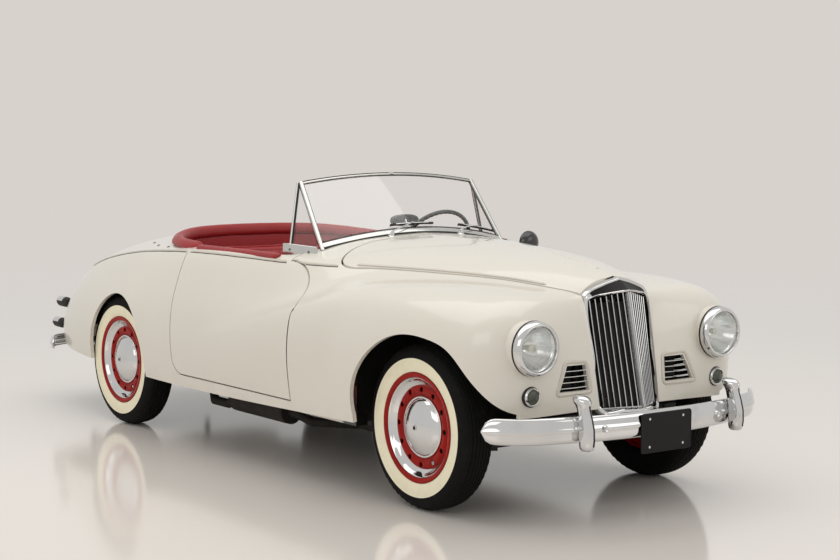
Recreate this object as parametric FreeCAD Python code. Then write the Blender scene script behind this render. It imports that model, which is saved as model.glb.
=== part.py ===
import FreeCAD, Part
import math
import os
from FreeCAD import Vector

# Driving sizes of the whole car, in millimetres
OVERALL_LENGTH = 4280.0
WHEELBASE = 2476.0
FRONT_OVERHANG = 740.0
FRONT_TRACK = 1206.0
REAR_TRACK = 1283.0
FLANK_COVER = 77.5
BELT_HEIGHT = 930.0
CUT_OVERRUN = 300.0

# Body panels, doors and lids
PANEL_THICKNESS = 18.0
DOOR_THICKNESS = 62.0
DOOR_GAP = 6.5
LID_GAP = 8.5
DOOR_BOTTOM_RADIUS = 70.0

# Hinges: pins on the car, and arms on the doors and lids that reach round the shut lines
HINGE_PIN_RADIUS = 4.0
HINGE_KNUCKLE_RADIUS = 7.0
HINGE_ARM_WIDTH = 12.0
HINGE_ARM_HEIGHT = 36.0
HINGE_PLATE = 6.0
HINGE_SIDE_GAP = 0.5
DOOR_HINGE_LEAD = 50.0
DOOR_HINGE_Y = 732.0
DOOR_HINGE_HEIGHTS = (470.0, 660.0)
DOOR_ARM_DEPTH = 50.0
DOOR_ARM_REACH = 70.0
DOOR_ARM_RISE = 15.0
LID_HINGE_BACK = 75.0
LID_HINGE_Y = 200.0
LID_ARM_NEAR = 20.0
LID_ARM_FAR = 95.0
LID_ARM_END = 105.0
LID_ARM_DROP = 75.0
LID_ARM_RISE = 5.0
LID_RECESS_RADIUS = 14.0
HINGE_PLATE_REACH = 132.0

# Tyres and wheels
TYRE_RADIUS = 331.0
TYRE_WIDTH = 150.0
TYRE_WALL = 14.0
BEAD_RADIUS = 206.0
RIM_WIDTH = 118.0
RIM_FLANGE_RADIUS = 220.0
RIM_WELL_RADIUS = 186.0
RIM_METAL = 5.0
DISC_DISH = 30.0
DISC_HOLE_RADIUS = 11.0
DISC_HOLE_RING = 150.0
DISC_RIDGE_WIDTH = 30.0
DISC_HOLES = 12
HUB_CAP_RADIUS = 128.0
HUB_CAP_HEIGHT = 46.0
HUB_RADIUS = 40.0
DRUM_RADIUS = 140.0
DRUM_DEPTH = 52.0
DRUM_WALL = 7.5
STUB_RADIUS = 18.0
BEARING_CLEARANCE = 0.05
RUNNING_GAP = 6.0

# Steering pivots and suspension
KINGPIN_Y = 540.0
KINGPIN_RADIUS = 12.0
KNUCKLE_HEIGHT = 170.0
KNUCKLE_RADIUS = 24.0
WISHBONE_HEIGHT = 22.0
WISHBONE_BASE = 110.0
COIL_RADIUS = 48.0
COIL_WIRE = 8.0
COIL_TURNS = 5
AXLE_TUBE_RADIUS = 36.0
DIFFERENTIAL_RADIUS = 125.0
SPRING_HALF_LENGTH = 610.0
SPRING_WIDTH = 46.0
SPRING_LEAF = 7.0
SPRING_LEAVES = 5
SPRING_Y = 425.0
SPRING_CAMBER = 85.0

# Chassis and floor
RAIL_Y = 308.0
RAIL_WIDTH = 64.0
RAIL_DEPTH = 96.0
FLOOR_THICKNESS = 6.0
TUNNEL_WIDTH = 230.0
TUNNEL_HEIGHT = 158.0
INNER_WING_Y = 352.0
FLOOR_HALF_WIDTH = 655.0
WHEELHOUSE_RADIUS = 372.0
WHEELHOUSE_INNER_Y = 545.0

# Engine, gearbox, shaft, exhaust and tank
ENGINE_LENGTH = 700.0
ENGINE_WIDTH = 420.0
ENGINE_TOP = 850.0
GEARBOX_LENGTH = 420.0
GEARBOX_RADIUS = 105.0
SHAFT_RADIUS = 34.0
EXHAUST_RADIUS = 22.0
SILENCER_RADIUS = 58.0
SILENCER_LENGTH = 480.0
TANK_LENGTH = 330.0
TANK_WIDTH = 530.0
TANK_DEPTH = 170.0

# Grille
GRILLE_BAR_WIDTH = 9.0
GRILLE_BAR_DEPTH = 16.0
GRILLE_BARS_PER_SIDE = 7
GRILLE_FRAME_WIDTH = 13.0
GRILLE_SHELL_DEPTH = 60.0
SLAT_HEIGHT = 9.0
SLAT_DEPTH = 20.0
SLATS_PER_SIDE = 4

# Lamps
HEADLAMP_RIM_RADIUS = 105.5
HEADLAMP_LENS_RADIUS = 90.0
HEADLAMP_BUCKET_RADIUS = 92.0
HEADLAMP_RIM_DEPTH = 42.0
HEADLAMP_BUCKET_DEPTH = 120.0
HEADLAMP_WALL = 3.0
LENS_BULGE = 26.0
LENS_THICKNESS = 4.0
LAMP_CLEARANCE = 0.3
SEAT_CLEARANCE = 0.3
SIDELAMP_RADIUS = 36.0
SIDELAMP_DEPTH = 34.0
TAIL_LAMP_RADIUS = 27.0
TAIL_LAMP_LENGTH = 140.0

# Bumpers, overriders and number plates
BUMPER_HEIGHT = 100.0
BUMPER_THICKNESS = 14.0
BUMPER_BOW = 9.0
OVERRIDER_WIDTH = 62.0
OVERRIDER_HEIGHT = 205.0
FRONT_OVERRIDER_DEPTH = 96.0
REAR_OVERRIDER_DEPTH = 62.0
PLATE_WIDTH = 268.0
PLATE_HEIGHT = 154.0
PLATE_THICKNESS = 4.0
PLATE_HOLE_SPACING = 178.0
PLATE_HOLE_RADIUS = 3.5
PLATE_HOLE_DROP = 54.0
SPACER_DEPTH = 26.0
SPACER_WIDTH = 120.0
SPACER_HEIGHT = 30.0
IRON_WIDTH = 46.0
IRON_THICKNESS = 10.0

# Windscreen
SCREEN_FRAME_WIDTH = 24.0
SCREEN_FRAME_DEPTH = 20.0
SCREEN_GLASS = 5.0
QUARTER_POST_WIDTH = 14.0

# Cabin
DASH_DEPTH = 95.0
DASH_HEIGHT = 235.0
ROLL_RADIUS = 24.0
STEERING_WHEEL_RADIUS = 208.0
STEERING_RIM_RADIUS = 10.0
STEERING_TILT = 30.0
STEERING_WHEEL_Y = 350.0
COLUMN_RADIUS = 22.0
COLUMN_GAP = 8.0
SHAFT_END_RADIUS = 9.0
SHAFT_END_LENGTH = 60.0
HUB_SHARE = 1.4
SEAT_WIDTH = 530.0
SEAT_CUSHION_LENGTH = 520.0
SEAT_CUSHION_HEIGHT = 150.0
SEAT_BACK_HEIGHT = 520.0
SEAT_BACK_THICKNESS = 125.0
SEAT_EDGE_RADIUS = 28.0
SEAT_BASE_HEIGHT = 100.0
SEAT_RAKE = 14.0
MIRROR_WIDTH = 160.0
MIRROR_HEIGHT = 55.0
MIRROR_DEPTH = 22.0
WING_MIRROR_RADIUS = 56.0

# Places that follow from the sizes above
HALF_WIDTH = REAR_TRACK / 2 + TYRE_WIDTH / 2 + FLANK_COVER
FRONT_AXLE_X = OVERALL_LENGTH / 2 - FRONT_OVERHANG
REAR_AXLE_X = FRONT_AXLE_X - WHEELBASE
REAR_OVERHANG = OVERALL_LENGTH - WHEELBASE - FRONT_OVERHANG
AXLE_Z = TYRE_RADIUS
FRONT_WHEEL_Y = FRONT_TRACK / 2
REAR_WHEEL_Y = REAR_TRACK / 2

# Net of the body skin. A station is counted from the front axle: below 0 in front overhangs
# ahead of it, 0 to 1 in wheelbases behind it, above 1 in rear overhangs behind the rear axle.
# Heights are shares of the belt height, and half widths are shares of the half width.
# Seven lines run along the flank: belt, foot, crest, brow, flank, low and hem.
# A nose row holds station and height of the centre, then station, half width and height of each line.
NOSE_ROW_SHARES = [
    (-.800, .459, -.682, .189, .459, -.676, .365, .457, -.665, .580, .452, -.646, .667, .449,
     -.622, .735, .447, -.592, .781, .445, -.561, .812, .443),
    (-.790, .580, -.660, .192, .559, -.668, .370, .561, -.672, .590, .561, -.655, .690, .556,
     -.615, .768, .545, -.565, .817, .520, -.525, .845, .440),
    (-.785, .700, -.632, .197, .667, -.648, .375, .670, -.668, .600, .672, -.655, .715, .667,
     -.600, .800, .655, -.535, .850, .610, -.490, .867, .435),
    (-.780, .820, -.604, .203, .774, -.622, .375, .780, -.660, .600, .785, -.640, .735, .775,
     -.570, .830, .755, -.490, .880, .680, -.450, .890, .420),
    (-.720, .920, -.577, .210, .870, -.590, .375, .880, -.620, .590, .885, -.590, .745, .862,
     -.510, .850, .815, -.430, .900, .700, -.400, .905, .400),
    (-.600, .985, -.561, .217, .925, -.530, .350, .940, -.530, .600, .945, -.500, .760, .898,
     -.420, .870, .820, -.350, .915, .680, -.330, .920, .385),
    (-.446, 1.022, -.446, .267, .948, -.420, .340, .942, -.400, .640, .954, -.370, .805, .898,
     -.310, .905, .790, -.260, .935, .640, -.240, .930, .372),
]
# A middle row holds one station and the centre's height, then half width and height of each line.
MIDDLE_ROW_SHARES = [
    (-.203, 1.065, .353, .972, .425, .958, .700, .962, .868, .896, .938, .755, .950, .590, .935, .365),
    (.020, 1.081, .448, .986, .525, .963, .752, .963, .905, .892, .966, .725, .970, .560, .945, .345),
    (.121, 1.095, .561, .995, .640, .957, .808, .942, .925, .872, .978, .707, .978, .540, .945, .338),
    (.222, 1.108, .668, .998, .745, .940, .862, .905, .940, .840, .980, .690, .978, .520, .942, .330),
    (.315, 1.116, .756, 1.000, .865, .875, .925, .835, .955, .780, .978, .660, .976, .500, .938, .322),
    (.404, 1.120, .818, 1.000, .905, .838, .938, .790, .960, .740, .978, .640, .975, .490, .935, .315),
    (.525, 1.118, .858, .999, .928, .820, .950, .765, .965, .715, .978, .620, .975, .475, .935, .308),
    (.687, 1.100, .875, .995, .940, .815, .957, .755, .969, .705, .980, .600, .976, .465, .935, .303),
    (.868, 1.078, .858, .975, .935, .805, .957, .745, .972, .690, .985, .590, .980, .460, .940, .305),
    (1.117, 1.048, .805, .925, .890, .780, .925, .715, .948, .655, .966, .560, .968, .450, .950, .325),
    (1.492, .985, .750, .847, .835, .735, .870, .670, .895, .605, .914, .520, .922, .430, .915, .345),
    (1.680, .905, .700, .775, .785, .690, .820, .630, .848, .565, .868, .490, .866, .420, .848, .352),
]
TAIL_ROW_SHARES = [
    (1.815, .800, 1.795, .640, .700, 1.790, .725, .640, 1.785, .762, .590, 1.780, .790, .540,
     1.775, .815, .475, 1.772, .815, .415, 1.768, .800, .360),
    (1.885, .670, 1.865, .590, .605, 1.862, .665, .565, 1.858, .700, .530, 1.853, .730, .495,
     1.848, .750, .455, 1.845, .752, .408, 1.842, .745, .360),
    (1.915, .510, 1.905, .550, .490, 1.902, .615, .475, 1.898, .645, .460, 1.893, .670, .445,
     1.888, .690, .425, 1.885, .695, .395, 1.880, .695, .360),
    (1.915, .360, 1.908, .540, .360, 1.905, .595, .360, 1.902, .625, .360, 1.898, .650, .360,
     1.893, .670, .360, 1.890, .680, .360, 1.885, .690, .360),
]
# Between the centre and the belt: how far across, and how much of the crown is left there
ACROSS_SHARES = (0, .38, .72, .94)
CROWN_SHARES = (1, .93, .62, .14)

# Outlines seen from the side, as station and height
FRONT_ARCH_SHARES = [
    (.131, .371), (.129, .505), (.100, .624), (.063, .703), (.022, .750), (-.041, .763),
    (-.189, .755), (-.304, .731), (-.419, .667), (-.514, .581), (-.595, .501), (-.662, .456),
]
ARCH_FOOT_SHARE = .15
DOOR_FRONT_SHARES = [
    (.3231, .371), (.3211, .774), (.3120, .849), (.3211, .901), (.3433, .957), (.3970, .995),
]
# Hollow in the door's front end that lets it swing past the wing: height and radius about the hinge line
DOOR_SWING_SHARES = [
    (.3548, .0623), (.3871, .0680), (.4086, .0695), (.4731, .0748), (.5376, .0792), (.6022, .0807),
    (.6667, .0787), (.7312, .0720), (.7667, .0640), (.7957, .0500),
]
DOOR_REAR_SHARE = .7371
DOOR_BOTTOM_SHARE = .371
DOOR_HEADROOM_SHARE = 1.15
REAR_ARCH_STATION_SHARE = .9855
REAR_ARCH_RADIUS = 307.0
REAR_ARCH_HEIGHT = 367.0

# Outlines seen from above, as station and half width
COCKPIT_SHARES = [
    (.3720, 0), (.3740, .300), (.3800, .580), (.3900, .705), (.4080, .742), (.525, .775), (.687, .792),
    (.800, .770), (.875, .690), (.925, .520), (.950, .270), (.955, 0),
]
BONNET_SHARES = [
    (.3230, 0), (.3190, .380), (.2990, .630), (.2750, .700), (.2560, .700), (.222, .668),
    (.121, .561), (.020, .448), (-.203, .353), (-.446, .262), (-.535, .216),
]
BONNET_NOSE_SHARE = -.535
BONNET_HINGE_HEIGHT_SHARE = 1.0846
BOOT_HINGE_HEIGHT_SHARE = .9631
BOOT_LID_HALF_WIDTH_SHARE = .42
BOOT_LID_FRONT_SHARE = 1.40
BOOT_LID_BOTTOM_SHARE = .47
BOOT_LID_RADIUS = 110.0

# Grille corners on the right half, as station, half width and height
GRILLE_CORNER_TOP_SHARES = (-.569, .202, .906)
GRILLE_CORNER_BOTTOM_SHARES = (-.678, .183, .453)
GRILLE_RIDGE_TOP_SHARES = (-.670, 0, .942)
GRILLE_RIDGE_BOTTOM_SHARES = (-.801, 0, .466)
GRILLE_PEAK_SHARES = (-.569, 0, .996)
SIDE_GRILLE_SHARES = [(-.640, .268, .647), (-.640, .394, .649), (-.640, .453, .543), (-.640, .258, .542)]

# Lamps, as station, half width and height
HEADLAMP_SHARES = (-.700, .6234, .7366)
SIDELAMP_SHARES = (-.661, .626, .5387)
UPPER_TAIL_LAMP_SHARES = (1.915, .756, .587)
LOWER_TAIL_LAMP_SHARES = (1.967, .756, .458)

# Bumpers in plan, as station and half width, with their middle heights
FRONT_BUMPER_SHARES = [(-.9400, 0), (-.9380, .190), (-.8740, .540), (-.780, .780), (-.640, .915)]
FRONT_BUMPER_HEIGHT_SHARE = .419
FRONT_OVERRIDER_SHARE = .490
REAR_BUMPER_SHARES = [(1.9700, 0), (1.9680, .250), (1.9420, .600), (1.8720, .825), (1.7300, .920)]
REAR_BUMPER_HEIGHT_SHARE = .365
REAR_OVERRIDER_SHARE = .470

# Windscreen corners, as station, half width and height
SCREEN_BASE_CORNER_SHARES = (.3708, .655, 1.044)
SCREEN_BASE_MIDDLE_SHARES = (.3498, 0, 1.112)
SCREEN_TOP_CORNER_SHARES = (.4576, .6234, 1.358)
SCREEN_TOP_MIDDLE_SHARES = (.4503, 0, 1.400)

# Cabin places, as station, half width and height
DASH_STATION_SHARE = .366
DASH_TOP_SHARE = 1.085
STEERING_WHEEL_STATION_SHARE = .5048
STEERING_WHEEL_HEIGHT_SHARE = 1.0043
FRONT_SEAT_STATION_SHARE = .470
FRONT_SEAT_HALF_WIDTH_SHARE = .362
MIRROR_SHARES = (.4071, 0, 1.171)
WING_MIRROR_SHARES = (.3290, .760, 1.049)

# Rails, cross members and floor, as station and height
RAIL_TOP_SHARES = [
    (-.570, .426), (.1616, .426), (.2827, .312), (.7916, .312), (.8885, .516), (1.40, .516), (1.72, .473),
]
CROSS_MEMBER_SHARES = [(-.515, .426), (.360, .312), (.600, .312), (.780, .312), (1.400, .516), (1.700, .473)]
CROSS_MEMBER_WIDTH = 60.0
CROSS_MEMBER_DEPTH = 60.0
HANGER_LENGTH = 50.0
SPRING_EYE_RADIUS = 13.0
IRON_FRONT_SHARE = -.900
IRON_REAR_SHARE = 1.945
IRON_DROP = 36.0
BULKHEAD_SHARE = .1737
HEEL_SHARE = .7916
TUNNEL_STEP_SHARE = .400
SHAFT_TUNNEL_HEIGHT = 90.0
BOOT_END_SHARE = 1.700
REAR_BULKHEAD_SHARE = .965
REAR_BULKHEAD_TOP_SHARE = .950
SPLASH_TOP_SHARE = .860
SPLASH_END_SHARE = -.500
SPLASH_BEND_SHARE = -.150
SPLASH_NOSE_SHARE = .800
BULKHEAD_TOP_HALF_WIDTH = 420.0
BULKHEAD_TOP_SHARE = .960
SEAT_BASE_INNER_Y = 130.0
SEAT_BASE_OUTER_Y = 540.0
SEAT_BASE_SHARE = .92
WHEELHOUSE_OUTER_Y = 710.0
SILL_START_SHARE = .145
SILL_END_SHARE = .855
SILL_OUTER_Y = 712.0
POST_LENGTH = 90.0
POST_TOP_SHARE = .940
HINGE_POST_GAP = 14.0
HINGE_POST_TOP_Y = 515.0
LATCH_POST_TOP_Y = 615.0
POST_TOP_DEPTH = 55.0
ENGINE_CLEARANCE = 30.0
GEARBOX_HEIGHT = 331.0
RADIATOR_SHARE = -.470
RADIATOR_DEPTH = 50.0
RADIATOR_WIDTH = 260.0
RADIATOR_HEIGHT = 430.0
EXHAUST_SHARES = [
    (.145, .2645, .420), (.145, .310, .420), (.150, .310, .175), (.400, .310, .175), (.470, .500, .175),
    (.500, .560, .215), (.720, .560, .215), (.745, .560, .175), (.800, .560, .175), (.860, .468, .240),
    (1.050, .468, .240), (1.300, .468, .300), (1.900, .468, .275),
]
SILENCER_RUN = 5
TANK_SHARE = 1.350
ARM_INNER_Y = 345.0
PIN_GAP = 3.0
SPRING_SEAT = 10.0
NOTCH_MARGIN = 12.0
COIL_Y = 430.0
SPRING_TOP = 295.0
BACK_PLATE = 4.0
DRUM_INSET = 23.0
STUB_REACH = 47.0
HUB_REACH = 50.0
RIM_SEAT_SHARE = .55
RIM_WELL_SHARE = .38
TYRE_OUTLINE_SHARES = [(.690, .930), (.800, 1.000), (.905, .930), (.965, .780), (.991, .480), (1.000, 0)]
HUB_CAP_SEAT_SHARE = .88
HUB_CAP_SHARES = [(0, 1.08), (.35, 1.04), (.65, .90), (.85, .68), (.95, .42), (.96, .10)]

# Front and rear details
GRILLE_CROWN_SHARE = .55
GRILLE_STEP_SHARE = .80
GRILLE_RAIL_SHARES = (.02, .98)
SIDE_GRILLE_INSET = 2.0
SLAT_SHARES = (.1, .8)
LAMP_RIM_SHARE = .7
LENS_RING_SHARES = (0, .25, .5, .75, 1)
SIDELAMP_OUTLINE_SHARES = [(1, 0), (.9, .5), (.6, .8), (.45, 1), (-.35, 1), (-.35, .6), (-1, .6), (-1, 0)]
TAIL_LAMP_OUTLINE_SHARES = [(0, 0), (.06, .5), (.22, .85), (.35, 1), (.75, 1), (1, .7), (1, 0)]
BUMPER_SECTION_SHARES = [(-.5, -1), (-.46, -.35), (-.25, 0), (0, .12), (.25, 0), (.46, -.35), (.5, -1)]
OVERRIDER_OUTLINE_SHARES = [(0, 0), (0, .8), (.08, 1), (.5, .97), (.8, .85), (.93, .6), (1, .25), (1, 0)]
FRONT_PLATE_SHARE = -.955
FRONT_PLATE_HEIGHT_SHARE = .381
REAR_PLATE_SHARE = 1.984
REAR_PLATE_HEIGHT_SHARE = .400
QUARTER_FOOT_SHARES = (.4465, .705, .992)
QUARTER_GLASS_SHARE = .90

# Cabin details
DASH_SIDE_SHARE = .995
DASH_HALF_WIDTH_SHARE = .690
STEERING_SPOKES = 3
SPOKE_ANGLE = 270.0
SPOKE_SHARE = .7
SEAT_LAP = 5.5
SEAT_GAP = 8.0
RIM_HEIGHT_SHARES = [(.39, 1.000), (.737, .998), (.850, 1.010), (.900, 1.030), (.960, 1.052)]
ROLL_LIFT = 16.0
ROLL_END_GAP = 12.0
DOOR_ROLL_SHARES = (.412, .731)
DOOR_ROLL_HALF_WIDTH_SHARE = .795
MIRROR_STALK_RADIUS = 5.0
WING_MIRROR_OUTLINE_SHARES = [(-1, 0), (-1, .9), (-.6, 1), (0, .95), (.7, .6), (1, .2), (1, 0)]
WING_MIRROR_STALK = 25.0

FLANK_LINES = 7
DEGREE = 3
FULL_TURN = 360.0


def station(share):
    """x of a station share."""
    if share < 0:
        return FRONT_AXLE_X - share * FRONT_OVERHANG
    if share <= 1:
        return FRONT_AXLE_X - share * WHEELBASE
    return REAR_AXLE_X - (share - 1) * REAR_OVERHANG


def place(shares):
    """Point on the right side of the car from station, half width and height shares."""
    return Vector(station(shares[0]), -shares[1] * HALF_WIDTH, shares[2] * BELT_HEIGHT)


def mirrored(shape):
    """The same shape on the other side of the car."""
    return shape.mirror(Vector(0, 0, 0), Vector(0, 1, 0))


def both_sides(shape):
    """The right side's shape with its twin on the left, as separate solids."""
    return Part.makeCompound(shape.Solids + mirrored(shape).Solids)


def fused(shapes):
    """One solid from shapes that touch or overlap."""
    first, rest = shapes[0], shapes[1:]
    if not rest:
        return first
    return first.fuse(rest).removeSplitter()


def block(x_low, x_high, y_low, y_high, z_low, z_high):
    """Box between two corners."""
    size = Vector(x_high - x_low, y_high - y_low, z_high - z_low)
    return Part.makeBox(size.x, size.y, size.z, Vector(x_low, y_low, z_low))


def rod(start, end, radius):
    """Round bar from one point to another."""
    return Part.makeCylinder(radius, (end - start).Length, start, end - start)


def lines(points):
    """Straight edges through the points."""
    return [Part.LineSegment(a, b).toShape() for a, b in zip(points, points[1:])]


def curve(points):
    """One smooth edge through the points."""
    spline = Part.BSplineCurve()
    spline.interpolate(points)
    return spline.toShape()


def face_of(edges):
    """Flat face inside a closed chain of edges."""
    return Part.Face(Part.Wire(Part.__sortEdges__(edges)))


def side_prism(edges, y_low, y_high):
    """Edges drawn at y = 0, filled and carried from y_low to y_high."""
    prism = face_of(edges).extrude(Vector(0, y_high - y_low, 0))
    prism.translate(Vector(0, y_low, 0))
    return prism


def side_polygon(pairs, y_low, y_high):
    """Straight-sided shape seen from the side, from (x, z) pairs."""
    points = [Vector(x, 0, z) for x, z in pairs]
    return side_prism(lines(points + points[:1]), y_low, y_high)


def turned(edges, centre, axis):
    """Face between the edges turned a full circle about an axis through the centre."""
    return Part.Solid(face_of(edges).revolve(centre, axis, FULL_TURN))


def turned_y(pairs, centre):
    """Solid turned about the wheel axis from (radius, distance along y) pairs."""
    points = [centre + Vector(radius, along, 0) for radius, along in pairs]
    return turned(lines(points + points[:1]), centre, Vector(0, 1, 0))


def turned_x(pairs, centre):
    """Solid turned about the car's length from (distance along x, radius) pairs."""
    points = [centre + Vector(along, radius, 0) for along, radius in pairs]
    return turned(lines(points + points[:1]), centre, Vector(1, 0, 0))


def loop_solid(near, far):
    """Solid between two loops of as many points each, with every face a triangle."""
    count = len(near)
    triangles = []
    for k in range(1, count - 1):
        triangles += [(near[0], near[k], near[k + 1]), (far[0], far[k], far[k + 1])]
    for k in range(count):
        n = (k + 1) % count
        triangles += [(near[k], near[n], far[n]), (near[k], far[n], far[k])]
    faces = [face_of(lines([a, b, c, a])) for a, b, c in triangles]
    shell = Part.Shell(faces)
    shell.sewShape()
    return outward(Part.Solid(shell)).removeSplitter()


def outward(solid):
    """The solid with its faces pointing out."""
    if solid.Volume < 0:
        solid.reverse()
    return solid


def bar_between(start, end, across, deep):
    """Rectangular bar from start to end; across and deep are its full width and depth as vectors."""
    offsets = [across / 2 + deep / 2, across / 2 - deep / 2, deep / -2 - across / 2, deep / 2 - across / 2]
    return loop_solid([start + o for o in offsets], [end + o for o in offsets])


def knots(count, degree):
    """Multiplicities and knots of a clamped uniform spline."""
    inner = count - degree - 1
    return [degree + 1] + [1] * inner + [degree + 1], [float(k) for k in range(inner + 2)]


def patch(net, u_degree=DEGREE, v_degree=DEGREE):
    """Smooth face that follows a net of control points."""
    u_mults, u_knots = knots(len(net), u_degree)
    v_mults, v_knots = knots(len(net[0]), v_degree)
    surface = Part.BSplineSurface()
    surface.buildFromPolesMultsKnots(net, u_mults, v_mults, u_knots, v_knots, False, False,
                                     u_degree, v_degree)
    return surface.toShape()


def net_normals(net):
    """Unit vector square to the net at each control point."""
    last_row, last_line = len(net) - 1, len(net[0]) - 1
    out = []
    for i, row in enumerate(net):
        normals = []
        for j in range(len(row)):
            along = net[min(i + 1, last_row)][j] - net[max(i - 1, 0)][j]
            down = row[min(j + 1, last_line)] - row[max(j - 1, 0)]
            normal = along.cross(down)
            normal.normalize()
            normals.append(normal)
        out.append(normals)
    return out


def sheet(net, thickness, flat_first=False, v_degree=DEGREE):
    """Solid between a net's face and the same net moved inwards by a thickness."""
    inner = []
    for row, normals in zip(net, net_normals(net)):
        moved = [p - n * thickness for p, n in zip(row, normals)]
        if flat_first:
            moved[0].y = row[0].y
        inner.append(moved)
    u_degree = min(DEGREE, len(net) - 1)
    faces = [patch(net, u_degree, v_degree), patch(inner, u_degree, v_degree)]
    for near, far in ((net[0], inner[0]), (net[-1], inner[-1])):
        faces.append(patch([near, far], 1, v_degree))
    for k in (0, -1):
        faces.append(patch([[row[k] for row in net], [row[k] for row in inner]], 1, u_degree))
    shell = Part.Shell(faces)
    shell.sewShape()
    return outward(Part.Solid(shell))


def body_net():
    """Control points of the right half of the body, from the centre line down to the hem."""
    net = []
    for row in NOSE_ROW_SHARES + MIDDLE_ROW_SHARES + TAIL_ROW_SHARES:
        if len(row) == 2 + 2 * FLANK_LINES:
            flank = [place((row[0], row[2 + 2 * k], row[3 + 2 * k])) for k in range(FLANK_LINES)]
        else:
            flank = [place(row[2 + 3 * k:5 + 3 * k]) for k in range(FLANK_LINES)]
        centre = place((row[0], 0, row[1]))
        belt = flank[0]
        top = []
        for across, crown in zip(ACROSS_SHARES, CROWN_SHARES):
            point = centre + (belt - centre) * across
            point.z = belt.z + (centre.z - belt.z) * crown
            top.append(point)
        net.append(top + flank)
    return net


def arch_edges(points, foot):
    """Closed outline of a wheel arch: a curve closed by straight legs down to a foot height."""
    legs = [points[-1], Vector(points[-1].x, 0, foot), Vector(points[0].x, 0, foot), points[0]]
    return [curve(points)] + lines(legs)


def front_arch():
    """What the front wheel opening takes out of the right side."""
    points = [Vector(station(s), 0, z * BELT_HEIGHT) for s, z in FRONT_ARCH_SHARES]
    edges = arch_edges(points, -ARCH_FOOT_SHARE * BELT_HEIGHT)
    return side_prism(edges, -HALF_WIDTH - CUT_OVERRUN, -KINGPIN_Y)


def rear_arch():
    """What the rear wheel opening takes out of the right side."""
    centre = Vector(station(REAR_ARCH_STATION_SHARE), 0, REAR_ARCH_HEIGHT)
    ends = [centre + Vector(-REAR_ARCH_RADIUS, 0, 0), centre + Vector(REAR_ARCH_RADIUS, 0, 0)]
    arc = Part.Arc(ends[0], centre + Vector(0, 0, REAR_ARCH_RADIUS), ends[1]).toShape()
    foot = -ARCH_FOOT_SHARE * BELT_HEIGHT
    legs = lines([ends[1], Vector(ends[1].x, 0, foot), Vector(ends[0].x, 0, foot), ends[0]])
    return side_prism([arc] + legs, -HALF_WIDTH - CUT_OVERRUN, -WHEELHOUSE_INNER_Y)


def door_edges(gap):
    """Outline of the door seen from the side, grown by a gap."""
    front = [Vector(station(s), 0, z * BELT_HEIGHT) for s, z in DOOR_FRONT_SHARES]
    front = [p + Vector(gap, 0, 0) for p in front[:3]] + [p + Vector(gap, 0, gap) for p in front[3:]]
    rear_x = station(DOOR_REAR_SHARE) - gap
    bottom = DOOR_BOTTOM_SHARE * BELT_HEIGHT - gap
    head = DOOR_HEADROOM_SHARE * BELT_HEIGHT
    radius = DOOR_BOTTOM_RADIUS + gap
    front[0].z = bottom
    lean = radius * (1 - math.sqrt(1 / 2))
    corner = Part.Arc(Vector(rear_x, 0, bottom + radius), Vector(rear_x + lean, 0, bottom + lean),
                      Vector(rear_x + radius, 0, bottom)).toShape()
    rear_foot = Vector(rear_x, 0, bottom + radius)
    top = [front[-1], Vector(front[-1].x, 0, head), Vector(rear_x, 0, head), rear_foot]
    foot = lines([Vector(rear_x + radius, 0, bottom), front[0]])
    return lines(front[:2]) + [curve(front[1:])] + lines(top) + [corner] + foot


def door_prism(gap):
    """Everything inside the door's outline on the right side."""
    return side_prism(door_edges(gap), -HALF_WIDTH - CUT_OVERRUN, 0)


def plan_prism(pairs, z_low, z_high):
    """Outline seen from above, as station and half width on the right side, carried upwards."""
    points = [Vector(station(s), -y * HALF_WIDTH, z_low) for s, y in pairs]
    edges = [curve(points)] + lines([points[-1], points[0]])
    return face_of(edges).extrude(Vector(0, 0, z_high - z_low))


def cockpit_prism():
    """The opening above the cabin, on the right side."""
    return plan_prism(COCKPIT_SHARES, BELT_HEIGHT / 2, 2 * BELT_HEIGHT)


def bonnet_prism(gap):
    """The bonnet's outline seen from above on the right side, grown by a gap."""
    points = [Vector(station(s), -y * HALF_WIDTH, BELT_HEIGHT / 2) for s, y in BONNET_SHARES]
    grown = []
    last = len(points) - 1
    for k, p in enumerate(points):
        along = points[min(k + 1, last)] - points[max(k - 1, 0)]
        out = Vector(along.y, -along.x, 0)
        out.normalize()
        grown.append(p + out * gap)
    grown[0].y = 0
    nose = Vector(grown[-1].x, grown[-1].y, grown[-1].z)
    edges = [curve(grown)] + lines([nose, Vector(nose.x, 0, nose.z), grown[0]])
    return face_of(edges).extrude(Vector(0, 0, BELT_HEIGHT))


def boot_lid_prism(gap):
    """The boot lid's outline seen from behind on the right side, behind its front edge, grown by a gap."""
    half = BOOT_LID_HALF_WIDTH_SHARE * HALF_WIDTH + gap
    low = BOOT_LID_BOTTOM_SHARE * BELT_HEIGHT - gap
    high = 2 * BELT_HEIGHT
    radius = BOOT_LID_RADIUS + gap
    lean = radius * (1 - math.sqrt(1 / 2))
    start = station(BOOT_LID_FRONT_SHARE) + gap
    corner = Part.Arc(Vector(start, -half, low + radius), Vector(start, lean - half, low + lean),
                      Vector(start, radius - half, low)).toShape()
    pairs = [(radius - half, low), (0, low), (0, high), (-half, high), (-half, low + radius)]
    edges = [corner] + lines([Vector(start, y, z) for y, z in pairs])
    return face_of(edges).extrude(Vector(-REAR_OVERHANG - CUT_OVERRUN, 0, 0))


def lamp_hole(shares, radius):
    """Round hole for a lamp in the front of the right wing."""
    centre = place(shares)
    reach = Vector(HEADLAMP_BUCKET_DEPTH + HEADLAMP_RIM_DEPTH, 0, 0)
    return rod(centre - reach, centre + reach, radius)


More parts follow.
